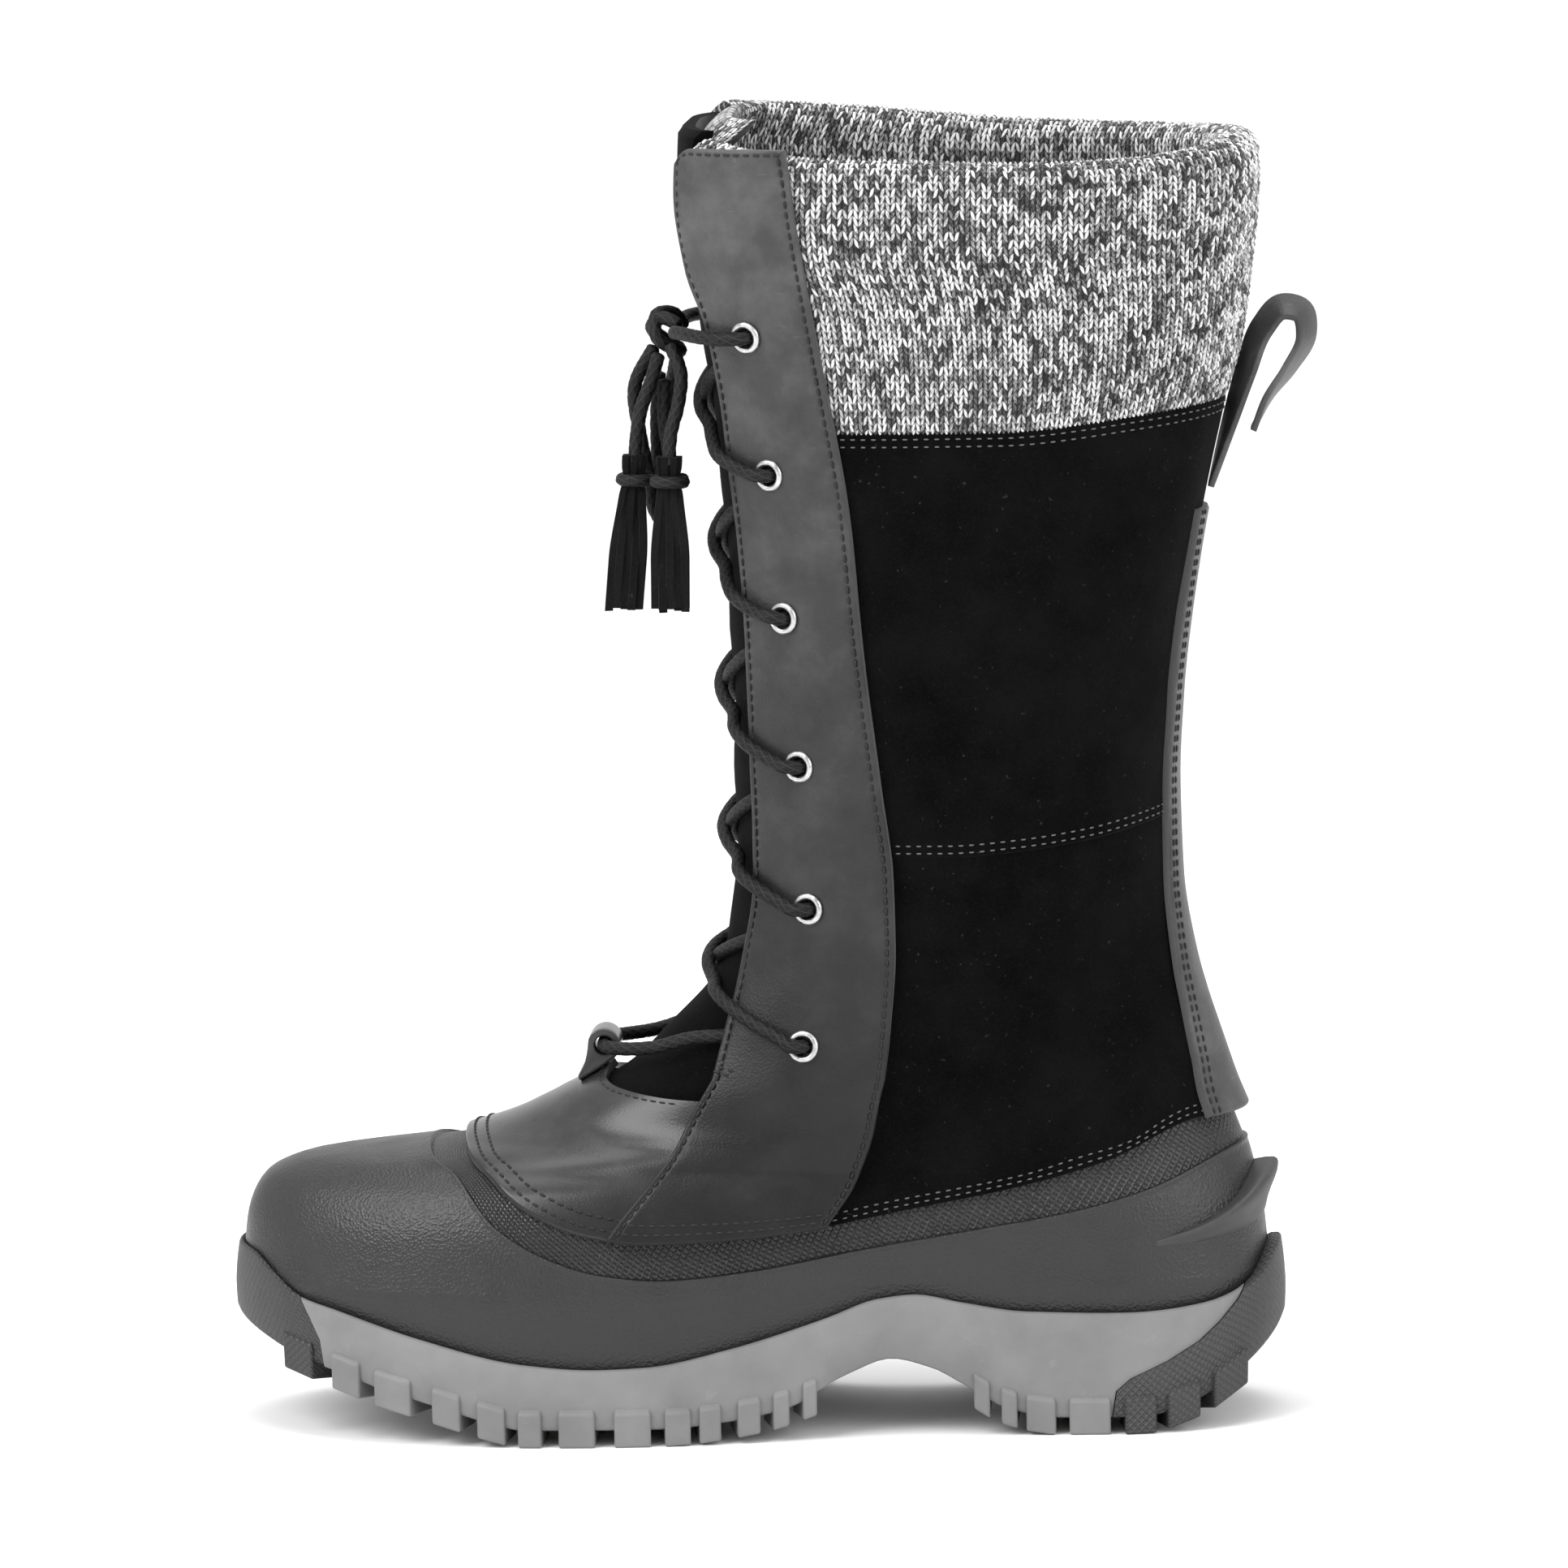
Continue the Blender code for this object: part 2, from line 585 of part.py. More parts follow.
def as_mesh(obj):
    """The curve object as a mesh object with welded caps, under the same name."""
    graph = bpy.context.evaluated_depsgraph_get()
    mesh = bpy.data.meshes.new_from_object(obj.evaluated_get(graph))
    work = bmesh.new()
    work.from_mesh(mesh)
    bmesh.ops.remove_doubles(work, verts=work.verts, dist=0.00001)
    bmesh.ops.recalc_face_normals(work, faces=work.faces)
    work.to_mesh(mesh)
    work.free()
    name, homes = obj.name, list(obj.users_collection)
    matrix = obj.matrix_world.copy()
    bpy.data.objects.remove(obj)
    made = bpy.data.objects.new(name, mesh)
    made.matrix_world = matrix
    for home in homes:
        home.objects.link(made)
    return made


def curved(points, spacing):
    """Evenly spaced points on the smooth curve through a few chosen points."""
    points = np.asarray(points, float)
    step = np.linalg.norm(np.diff(points, axis=0), axis=1)
    run = np.concatenate([[0], np.cumsum(step)])
    fine = np.linspace(0, run[-1], 400)
    line = catmull(run, points, fine)
    step = np.linalg.norm(np.diff(line, axis=0), axis=1)
    length = np.concatenate([[0], np.cumsum(step)])
    at = np.linspace(0, length[-1], max(3, int(round(length[-1] / spacing)) + 1))
    return np.stack([np.interp(at, length, line[:, k]) for k in range(3)], axis=1)


def catmull(run, points, at):
    slope = np.gradient(points, run, axis=0)
    k = np.clip(np.searchsorted(run, at, side="right") - 1, 0, len(run) - 2)
    h = (run[k + 1] - run[k])[:, None]
    s = ((at - run[k])[:, None]) / h
    return (
        (1 + 2 * s) * (1 - s) ** 2 * points[k]
        + s * (1 - s) ** 2 * h * slope[k]
        + s * s * (3 - 2 * s) * points[k + 1]
        + s * s * (s - 1) * h * slope[k + 1]
    )


# The rubber lower

def shell_turns():
    """Columns of the shell and sole, closer together round the toe and the heel."""
    half = (1 - np.cos(np.linspace(0, math.pi, SHELL_COLUMNS + 1))) / 2
    even = np.linspace(0, 1, SHELL_COLUMNS + 1)
    half = 0.55 * half + 0.45 * even
    return np.concatenate([-half[::-1], half[1:-1]])


def make_shell(home, cutters):
    """The moulded galosh: a wall from the sole's floor to under the leather, with the
    textured band set back above its line, and the heel ledge fused on."""
    u = shell_turns()
    band = row_at_line(BAND_LINE, u)
    top = shell_top(u)
    edge = row_at_line(LEATHER_LINE, u)
    step = 0.03 * (top - edge)
    lower = [np.zeros_like(u), np.full_like(u, 0.5), np.ones_like(u)]
    lower += [1 + (band - 1) * share for share in (0.33, 0.67, 1.0)]
    v = np.concatenate([lower, [band + step, edge - 4 * step, edge - 2 * step, top]])
    outer = np.zeros(len(v))
    outer[6:8] = -BAND_STEP
    outer[8:] = -BAND_STEP - TUCK_STEP
    outer = outer[:, None]
    shell = wall("shell", u[None, :], v, outer, -SHELL_WALL, "black_rubber", home, around=True)
    return combine(shell, make_ledge(cutters), "UNION")


def shell_top(u):
    """v of the shell's upper edge, SHELL_OVERLAP above the leather's lower edge."""
    edge = row_at_line(LEATHER_LINE, u)
    low = skin(u, edge)
    probe = skin(u, edge + 0.5)
    pitch = np.linalg.norm(probe - low, axis=-1) / 0.5
    return edge + np.minimum(SHELL_OVERLAP / pitch, 1.6)


def make_ledge(home):
    """The kick ledge round the heel: a hooked ridge that fades out along each side."""
    tip = turn_at_edge([(0.0, LEDGE_TIP_X), (2.0, LEDGE_TIP_X)], row_at_height(z_of(0.53), -0.8))[0]
    places = np.linspace(-1, 1, 17)
    share = 1 - np.abs(places)
    table = np.array(LEDGE_REACH_TABLE)
    top, foot, reach = smooth_through(table[:, 0], table[:, 1:], share).T
    u = np.where(places < 0, -1, 1) * (1 - (1 - tip) * np.abs(places))
    sections = []
    for turn, high, low, out in zip(u, top, foot, reach):
        v_high = row_at_height(z_of(high), turn)[0]
        v_low = row_at_height(z_of(low), turn)[0]
        v_mid = v_high + (v_low - v_high) * 0.45
        offset = max(out * LEDGE_REACH, 0.15)
        sections.append([
            skin(turn, v_high, -LEDGE_BITE),
            skin(turn, v_high, offset * 0.75),
            skin(turn, v_high + (v_low - v_high) * 0.12, offset),
            skin(turn, v_mid, offset * 0.62),
            skin(turn, v_low, 0.1),
            skin(turn, v_low, -LEDGE_BITE),
        ])
    return swept("ledge", sections, None, home)


def sole_body(name, flare, home):
    """The whole sole as one cup: outer wall, lip, inner wall on the shell, floor and base."""
    u = shell_turns()
    lip = row_at_line(LIP_LINE, u)
    base = sole_base(skin(u, 1.0)[:, 0])
    lip_outer = skin(u, lip, SHELL_GAP + RIM_WALL + flare)
    z_lip = skin(u, lip)[:, 2]
    lip_outer[:, 2] = z_lip
    rings = [
        beside(u, 1.0, SOLE_FLARE + flare - 1.0, base),
        beside(u, 1.0, SOLE_FLARE + flare, base + 2.0),
        beside(u, 1.0, SOLE_FLARE * 0.92 + flare, base * 0.45 + z_lip * 0.55),
        lip_outer,
        skin(u, lip, SHELL_GAP),
        skin(u, np.minimum(lip * 0.8, 1.0), SHELL_GAP),
        skin(u, np.minimum(lip * 0.4, 0.5), SHELL_GAP),
        skin(u, 0.0, SHELL_GAP) - [0, 0, FLOOR_GAP],
    ]
    count = len(u)
    points = np.concatenate(rings)
    faces = []
    for i in range(len(rings) - 1):
        for j in range(count):
            k = (j + 1) % count
            faces.append([i * count + j, i * count + k, (i + 1) * count + k, (i + 1) * count + j])
    faces += across(0, count) + across((len(rings) - 1) * count, count)
    return add_mesh(name, points, faces, "light_rubber", home)


def across(start, count):
    """Faces that close a ring by joining each outer point to the inner one across it."""
    half = count // 2
    faces = []
    for j in range(half):
        a, b = start + j, start + j + 1
        c, d = start + (count - j - 1) % count, start + (count - j) % count
        faces += [face for face in ([a, b, c], [a, c, d]) if len(set(face)) == 3]
    return faces


def sole_base(x):
    """Height of the bottom of the grooves, which is the waist's underside at the arch."""
    lift = along(ARCH_LINE, share_of(x)) * INSTEP_HEIGHT
    return line_height(TREAD_LINE, x) + GROOVE_DEPTH + lift


def outline_at(x, side):
    """The sole's plan outline in mm at a place along the boot, with its outward normal."""
    places = np.linspace(0, 1, 400)
    points = skin(side * places, 1.0)
    at = float(first_rise(places, (points[:, 0] - x)[None, :])[0])
    normal = read_grid(SKIN_NORMALS, side * at, 1.0) * [1, 1, 0]
    return skin(side * at, 1.0), normal / np.linalg.norm(normal)


def side_lug(middle, length, side, flare):
    """The two end sections of a block on the sole's edge, from the tread up the side wall."""
    corners = []
    for share in (middle - length / 2, middle + length / 2):
        x = float(x_of(share))
        point, normal = outline_at(x, side)
        out = SOLE_FLARE + flare + LUG_PROUD
        tread = float(line_height(TREAD_LINE, x))
        high = tread + LUG_SIDE_HEIGHT
        inside = point + normal * (SOLE_FLARE - LUG_DEEP)
        root = float(line_height(TREAD_LINE, inside[0]))
        profile = [
            (SOLE_FLARE - LUG_DEEP, root), (out - 0.8, tread), (out - 0.4, high - 1.5),
            (out - 2.6, high), (1.4, tread + GROOVE_DEPTH + 1.5),
            (SOLE_FLARE - LUG_DEEP, root + GROOVE_DEPTH + 1.0),
        ]
        corners.append([(*(point + normal * away)[:2], z) for away, z in profile])
    return corners


def centre_lug(share, order):
    """The end sections of a block in the middle of the tread, skewed to each side in turn."""
    x = float(x_of(share))
    outer, _ = outline_at(x, -1)
    inner, _ = outline_at(x, 1)
    middle = (outer[1] + inner[1]) / 2
    half = min(CENTRE_LUG_WIDTH / 2, (inner[1] - outer[1]) / 2 - LUG_DEEP + 1.0)
    skew = 2.5 if order % 2 else -2.5
    sections = []
    for end in (-1, 1):
        at = x + end * CENTRE_LUG_LENGTH / 2
        tread = float(line_height(TREAD_LINE, at))
        sections.append([
            (at - skew, middle - half, tread),
            (at + skew, middle + half, tread),
            (at + skew, middle + half, tread + GROOVE_DEPTH + 1.0),
            (at - skew, middle - half, tread + GROOVE_DEPTH + 1.0),
        ])
    return sections


def whole_sole(name, flare, home, cutters):
    """The sole with its rows of side lugs and the blocks in the middle of the tread."""
    body = sole_body(name, flare, home)
    lugs = [side_lug(middle, length, side, flare) for middle, length in SIDE_LUGS for side in (-1, 1)]
    lugs += [centre_lug(share, order) for order, share in enumerate(CENTRE_LUGS)]
    work = bmesh.new()
    for sections in lugs:
        block = swept("lug", sections, None, cutters)
        work.from_mesh(block.data)
        bpy.data.objects.remove(block)
    mesh = bpy.data.meshes.new("lugs")
    work.to_mesh(mesh)
    work.free()
    tread = bpy.data.objects.new("lugs", mesh)
    cutters.objects.link(tread)
    return combine(body, tread, "UNION", crossing=True)


def bumper_region(name, edge, shift, cutters):
    """The cutter for a bumper: its side edge, closed high above the sole."""
    outline = [(x + shift, level) for x, level in edge]
    outline[0] = (outline[0][0], 1.0)
    outline.insert(1, (outline[1][0], 1.0))
    return prism(name, outline, -BALL_WIDTH, BALL_WIDTH, cutters)


def make_soles(home, cutters):
    """The light sole unit and the two black bumpers, cut from one form along their edges."""
    gap = CLEAR / SOLE_LENGTH
    outsole = whole_sole("outsole", 0.0, home, cutters)
    combine(outsole, bumper_region("toe_cut", TOE_EDGE, gap, cutters), "DIFFERENCE")
    combine(outsole, bumper_region("heel_cut", HEEL_EDGE, -gap, cutters), "DIFFERENCE")
    for name, edge in (("toe_bumper", TOE_EDGE), ("heel_bumper", HEEL_EDGE)):
        bumper = whole_sole(name, BUMPER_PROUD, home, cutters)
        combine(bumper, bumper_region("keep", edge, 0.0, cutters), "INTERSECT")
        bumper.data.materials.clear()
        bumper.data.materials.append(material("black_rubber"))


def make_insole(home):
    """The footbed, lying on the sole's floor inside the shell."""
    u = shell_turns()
    floor = skin(u, 0.0)[:, 2]
    low = beside(u, 0.0, -SHELL_WALL - SHELL_GAP, floor)
    high = beside(u, 0.0, -SHELL_WALL - SHELL_GAP, floor + INSOLE_THICK)
    count = len(u)
    faces = [[j, (j + 1) % count, count + (j + 1) % count, count + j] for j in range(count)]
    faces += across(0, count) + across(count, count)
    return add_mesh("insole", np.concatenate([low, high]), faces, "felt", home)


# The upper

def upper_inner():
    """Offset of the leather's inner face, just clear of the shell's band."""
    return CLEAR - BAND_STEP


def upper_outer():
    return upper_inner() + LEATHER


def facing_inner():
    return upper_outer() + FACING_GAP


def facing_outer():
    return facing_inner() + LEATHER


def throat_turn(v):
    """The share of the half girth where the throat's side edge lies at each v."""
    turn = turn_at_edge(FACING_FRONT, v, facing_outer())
    return turn + THROAT_SETBACK / half_girth(v)


def throat_row(u):
    """v of the throat's lower edge at each u."""
    u = np.atleast_1d(np.asarray(u, float))
    return np.array([row_at_height(z_of(along(THROAT_EDGE, abs(turn))), turn)[0] for turn in u])


def make_upper(home):
    """Vamp and quarters as one hollow wall, open at the throat, the top and underneath."""
    front, side = 4, 13
    rows_below, rows_above = 3, 9
    fractions = np.concatenate([
        np.linspace(0, 1, rows_below + 1), np.linspace(1, 2, rows_above + 1)[1:],
    ])
    across_front = np.linspace(-1, 1, 2 * front + 1)
    along_side = np.linspace(0, 1, side + 1)[1:]
    guess_top = row_at_line(SUEDE_TOP_LINE, [-0.5])[0]
    side_v = float(throat_row(-0.24)[0])
    u_rows, v_rows = [], []
    for f in fractions:
        nominal = side_v + max(f - 1, 0) * (guess_top - side_v)
        edge = float(throat_turn(nominal)[0])
        right = edge + (1 - edge) * along_side
        u = np.concatenate([-right[::-1], across_front * edge, right[:-1]])
        bottom = row_at_line(LEATHER_LINE, u)
        top = row_at_line(SUEDE_TOP_LINE, u)
        middle = throat_row(u)
        level = np.where(f <= 1, bottom + (middle - bottom) * min(f, 1),
                         middle + (top - middle) * max(f - 1, 0))
        u_rows.append(u)
        v_rows.append(level)
    u, v = np.array(u_rows), np.array(v_rows)

    def in_throat(i, j):
        return i >= rows_below and side <= j < side + 2 * front

    return wall("upper", u, v, upper_outer(), upper_inner(), "suede", home,
                around=True, open_cells=in_throat)


def facing_grid(columns, rows, rise):
    """(u, v) of the outer facing: columns from its front edge to its rear edge. rise is how
    far its top stands over the knit's line."""
    top_v = float(row_at_line(COLLAR_LINE, [-0.3])[0]) - 0.05
    low_v = edge_foot(FACING_FRONT)
    rear_low_v = edge_foot(FACING_REAR)
    r = np.linspace(0, 1, rows)
    front_v = low_v + (top_v - low_v) * r
    rear_v = rear_low_v + (top_v - rear_low_v) * r
    front_u = turn_at_edge(FACING_FRONT, front_v, facing_outer())
    rear_u = turn_at_edge(FACING_REAR, rear_v, facing_outer())
    s = np.linspace(0, 1, columns)[None, :]
    u = front_u[:, None] * (1 - s) + rear_u[:, None] * s
    v = front_v[:, None] * (1 - s) + rear_v[:, None] * s
    foot = row_at_line(LEATHER_LINE, -u[0]) - v[0]
    v = v + foot[None, :] * ((1 - r) ** 3)[:, None]
    v = v + rise / pitch_at(-0.3, top_v - 0.25) * smooth_step((r - 0.87) / 0.13)[:, None]
    return -u, v


def edge_foot(edge):
    """v where an upright edge meets the leather's lower edge."""
    turns = np.linspace(0.05, 0.95, 200)
    v = row_at_line(LEATHER_LINE, -turns)
    points = skin(-turns, v, facing_outer())
    gap = points[:, 0] - edge_place(edge, points[:, 2])
    return float(np.interp(0.0, gap, v))


def make_facings(home):
    """The leather strips with the eyelets, over the upper's throat edges."""
    u, v = facing_grid(6, 17, FACING_RISE_OUTER)
    outer = wall("facing_outer", u, v, facing_outer(), facing_inner(), "leather", home)
    u, v = facing_grid(6, 17, FACING_RISE_INNER)
    inner = wall("facing_inner", -u, v, facing_outer(), facing_inner(), "leather", home)
    return {-1: outer, 1: inner}


def make_back_stay(home):
    """The leather strip up the middle of the heel."""
    low_v = float(row_at_line(LEATHER_LINE, [-0.97])[0])
    high_v = float(row_at_height(z_of(STAY_TOP_LEVEL), -1.0)[0])
    v = np.linspace(low_v, high_v, 12)
    half = 1 - stay_turn(v)
    s = np.linspace(-1, 1, 7)[None, :]
    offset = s * half[:, None]
    # The strip crosses the seam of the (u, v) plane at the back.
    u = np.where(offset < 0, -1 - offset, 1 - offset)
    u = np.where(np.isclose(offset, 0), 1.0, u)
    return wall("back_stay", u, v[:, None], facing_outer(), facing_inner(), "leather", home)


def cuff_turn(v):
    """The share of the half girth where the knit cuff starts, behind the throat edge."""
    return throat_turn(v)


def make_knit_cuff(home):
    """The knitted collar: a thick wall with a rolled rim that tucks into the suede."""
    places = np.linspace(0, 1, 25)
    sections = []
    for place in places:
        sections.append(cuff_section(place))
    return swept("knit_cuff", sections, "knit", home)


def collar_row(u):
    """v of the knit's rim at a place."""
    v = float(row_at_line(COLLAR_LINE, u)[0])
    return v + along(COLLAR_RISE, u) / pitch_at(u, v - 0.25)


def cuff_section(place):
    """Closed section of the cuff. place is 0 at the outer throat edge, 0.5 at the back and
    1 at the inner throat edge."""
    side = -1 if place <= 0.5 else 1
    share = 1 - abs(2 * place - 1)

    def turn(v):
        edge = float(cuff_turn(v)[0])
        return side * (edge + (1 - edge) * share)

    hem_v = collar_v = float(TOP_ROW)
    for _ in range(3):
        hem_v = float(row_at_line(SUEDE_TOP_LINE, turn(hem_v))[0])
        collar_v = collar_row(turn(collar_v))
    bottom_v = hem_v - CUFF_TUCK / pitch_at(turn(hem_v), hem_v)

    rear = float(turn_at_edge(FACING_REAR, (collar_v + hem_v) / 2, facing_outer())[0])
    free = smooth_step((abs(turn(collar_v)) - rear - 0.02) / 0.08)
    outer = upper_outer() + KNIT_BULGE * free
    inner = upper_inner() - LAYER_GAP - KNIT_WALL
    tucked = upper_inner() - LAYER_GAP
    rim = (outer - inner) / 2
    rim_v = rim / pitch_at(turn(collar_v), collar_v)
    gap_v = LAYER_GAP / pitch_at(turn(hem_v), hem_v)
    rows = [
        (bottom_v, tucked), (hem_v + gap_v, tucked), (hem_v + gap_v, upper_outer()),
        (hem_v + (collar_v - hem_v) * 0.25, outer), (hem_v + (collar_v - hem_v) * 0.6, outer),
        (collar_v - rim_v, outer), (collar_v - rim_v * 0.3, outer - rim * 0.3),
        (collar_v, outer - rim), (collar_v - rim_v * 0.3, inner + rim * 0.3),
        (collar_v - rim_v, inner), (bottom_v, inner),
    ]
    return [skin(turn(v), v, offset) for v, offset in rows]


def pitch_at(u, v):
    """Height in mm that one section step makes at a place."""
    low, high = skin(u, v - 0.25), skin(u, v + 0.25)
    return float(np.linalg.norm(high - low)) / 0.5


def make_tongue(home):
    """The padded tongue: wide and tucked in below, between the cuff's ends above."""
    foot_v = float(row_at_height(z_of(TONGUE_FOOT_LEVEL), -0.10)[0])
    top_v = float(row_at_line(COLLAR_LINE, [-0.05])[0])
    top_v = top_v + TONGUE_RISE / pitch_at(-0.05, top_v - 0.25)
    hem_v = float(row_at_line(SUEDE_TOP_LINE, [-0.3])[0])
    tuck_v = hem_v - CUFF_TUCK / pitch_at(-0.3, hem_v)
    v = np.concatenate([np.linspace(foot_v, tuck_v - 0.12, 12), np.linspace(tuck_v - 0.03, top_v, 7)])
    edge = np.maximum(cuff_turn(v), 0.06)
    girth = half_girth(v)
    wide = edge + TONGUE_TUCK / girth
    narrow = edge - TONGUE_SLACK / girth
    half = np.where(v < tuck_v - 0.08, wide, narrow)
    s = np.linspace(-1, 1, 9)[None, :]
    outer = upper_inner() - LAYER_GAP
    return wall("tongue", s * half[:, None], v[:, None], outer, outer - TONGUE_WALL, "suede", home)


def place_on(u, v, offset):
    """A frame on the skin: its point, and unit vectors along the girth, up and outwards."""
    point = skin(u, v, offset)
    normal = read_grid(SKIN_NORMALS, np.asarray(u, float), np.asarray(v, float))
    out = Vector(normal / np.linalg.norm(normal))
    rise = Vector(skin(u, v + 0.1) - skin(u, v - 0.1))
    up = (rise - out * rise.dot(out)).normalized()
    return Vector(point), up.cross(out), up, out


def eyelet_places():
    """(u, v) of the outer eyelets from the lowest up."""
    places = []
    for level, share in EYELET_PLACES:
        u = -0.3
        for _ in range(6):
            v = float(row_at_height(z_of(level), u)[0])
            u = -float(turn_at_edge([(0.0, share), (2.1, share)], v, facing_outer())[0])
        places.append((u, v))
    return places


def flange_rise(u, v):
    """How far the facing rises over its own tangent plane under an eyelet's flange."""
    point, around, up, out = place_on(u, v, facing_outer())
    reach = EYELET_FLANGE / 2
    rise = 0.0
    for angle in np.linspace(0, 2 * math.pi, EYELET_SIDES, endpoint=False):
        beside_u = u + reach * math.cos(angle) / float(half_girth(v)[0])
        beside_v = v + reach * math.sin(angle) / pitch_at(u, v)
        rim = Vector(skin(beside_u, beside_v, facing_outer()))
        rise = max(rise, (rim - point).dot(out))
    return rise


def make_eyelets(facings, upper, cuff, home):
    """Rolled metal rings, and the holes that their barrels pass through. The top pair
    passes through the cuff where the others pass through the upper."""
    for order, (u, v) in enumerate(eyelet_places(), start=1):
        for side, name in ((1, "outer"), (-1, "inner")):
            seat = facing_outer() + flange_rise(u * side, v) + EYELET_LIFT
            point, _, up, out = place_on(u * side, v, seat)
            turn = out.to_track_quat("Z", "Y")
            drill_radius = EYELET_BORE / 2 + EYELET_BARREL + 2 * CLEAR
            for target in (facings[-side], cuff if order == len(EYELET_PLACES) else upper):
                bpy.ops.mesh.primitive_cylinder_add(
                    vertices=EYELET_SIDES, radius=drill_radius * MM, depth=DRILL_DEPTH * MM)
                drill = bpy.context.object
                drill.rotation_mode = "QUATERNION"
                drill.rotation_quaternion = turn
                drill.location = point * MM
                combine(target, drill, "DIFFERENCE")
            ring_object = make_eyelet(f"eyelet_{name}_{order}", home)
            ring_object.rotation_mode = "QUATERNION"
            ring_object.rotation_quaternion = turn
            ring_object.location = point * MM


def make_eyelet(name, home):
    """One eyelet: the section of a rolled flange and barrel, turned round Z."""
    bore = EYELET_BORE / 2
    barrel = bore + EYELET_BARREL
    edge = EYELET_FLANGE / 2
    depth = EYELET_LIFT + 2 * LEATHER + CLEAR
    profile = [(barrel, 0.0), (barrel, -depth), (bore, -depth),
               (bore + 0.1, EYELET_ROLL * 0.6), ((edge + bore) / 2, EYELET_ROLL), (edge, 0.0)]
    mesh = bpy.data.meshes.new(name)
    corners = [(r * MM, 0, z * MM) for r, z in profile]
    mesh.from_pydata(corners, [(k, (k + 1) % len(corners)) for k in range(len(corners))], [])
    obj = bpy.data.objects.new(name, mesh)
    home.objects.link(obj)
    turn = obj.modifiers.new("turn", "SCREW")
    turn.steps = EYELET_SIDES
    turn.render_steps = EYELET_SIDES
    turn.use_merge_vertices = True
    turn.merge_threshold = 0.0001
    mesh.materials.append(material("steel"))
    return obj


def make_keeper(home):
    """The folded leather tab at the foot of the throat, with the tunnel for the lace."""
    point, _, up, out = place_on(0.0, float(throat_row(0.0)[0]), upper_outer() + 2 * CLEAR)
    tunnel = LACE_DIAMETER / 2 + CLEAR
    outside = tunnel + LEATHER
    profile = []
    for angle in np.linspace(-90, 150, 11):
        a = math.radians(angle)
        profile.append((outside * math.cos(a), outside + outside * math.sin(a)))
    profile += [(-KEEPER_TAIL, LEATHER * 1.1), (-KEEPER_TAIL, 0.0)]
    lift = Vector((0, 0, 0.25))
    corners = [point + up * a + out * b + lift for a, b in profile]
    sections = [
        [(c.x, y, c.z) for c in corners]
        for y in (-KEEPER_WIDTH / 2, KEEPER_WIDTH / 2)
    ]
    keeper = swept("lace_keeper", sections, "leather", home)
    centre = point + out * outside + lift
    bpy.ops.mesh.primitive_cylinder_add(vertices=16, radius=tunnel * MM, depth=2 * KEEPER_WIDTH * MM)
    drill = bpy.context.object
    drill.rotation_euler = (math.radians(90), 0, 0)
    drill.location = (centre.x * MM, 0, centre.z * MM)
    combine(keeper, drill, "DIFFERENCE")
    return centre


def lace_lift():
    """Offset of the middle of the lace where it lies on the facing."""
    return facing_outer() + FACING_GAP + LACE_DIAMETER / 2


def make_crossings(home, keeper_centre):
    """The lace over the throat: a crossing between each two pairs of eyelets, and the bar
    through the keeper. Each crossing joins its two strands in one solid."""
    places = eyelet_places()
    for order in range(len(places) - 1):
        strands = []
        for side, lift in ((1, CROSSING_LIFT), (-1, 0.0)):
            strands.append(strand_points(places[order], places[order + 1], side, lift))
        name = f"lace_crossing_{order + 1}"
        first = as_mesh(cord(name, strands[0], LACE_DIAMETER, home))
        second = as_mesh(cord("strand", strands[1], LACE_DIAMETER, home))
        combine(first, second, "UNION")
    bar = []
    for y in np.linspace(-KEEPER_WIDTH / 2 - 3, KEEPER_WIDTH / 2 + 3, 7):
        bar.append((keeper_centre.x, y, keeper_centre.z))
    as_mesh(cord("lace_bar", bar, LACE_DIAMETER, home))


def strand_points(low, high, side, lift):
    """A strand from beside one eyelet, over its facing and the tongue, to the edge of the
    other facing, below the next eyelet. The strand with a lift crosses over the other."""
    z_low = float(skin(*low)[2])
    z_high = float(skin(*high)[2])
    start = abs(low[0]) - (EYELET_FLANGE / 2 + LACE_DIAMETER / 2 + CLEAR) / float(half_girth(low[1])[0])
    z_end = z_low + (z_high - z_low) * 0.72
    end_v = float(row_at_height(z_end, -0.1)[0])
    end = float(throat_turn(end_v)[0]) - (LACE_DIAMETER / 2 + STRAND_STOP) / float(half_girth(end_v)[0])
    points = []
    for s in np.linspace(0, 1, 7):
        u = -start + (start + end) * s
        z = z_low + 1.5 + (z_end - z_low - 1.5) * s
        v = float(row_at_height(z, u)[0])
        edge = float(throat_turn(v)[0])
        over = smooth_step((abs(u) - edge * 0.3) / (edge * 0.45))
        bridge = upper_inner() + STRAND_REST + LACE_DIAMETER / 2 + lift * math.sin(math.pi * s)
        near_edge = lace_lift() * over + bridge * (1 - over)
        points.append(skin(u * side, v, near_edge if u < 0 else bridge))
    return points


# The pull loop, the free lace and the tassels

LOOP_ROUTE = [
    (0.945, 1.620), (0.964, 1.690), (0.979, 1.742), (0.996, 1.790), (1.014, 1.811),
    (1.033, 1.806), (1.037, 1.780), (1.021, 1.745), (1.000, 1.713), (0.986, 1.680),
]


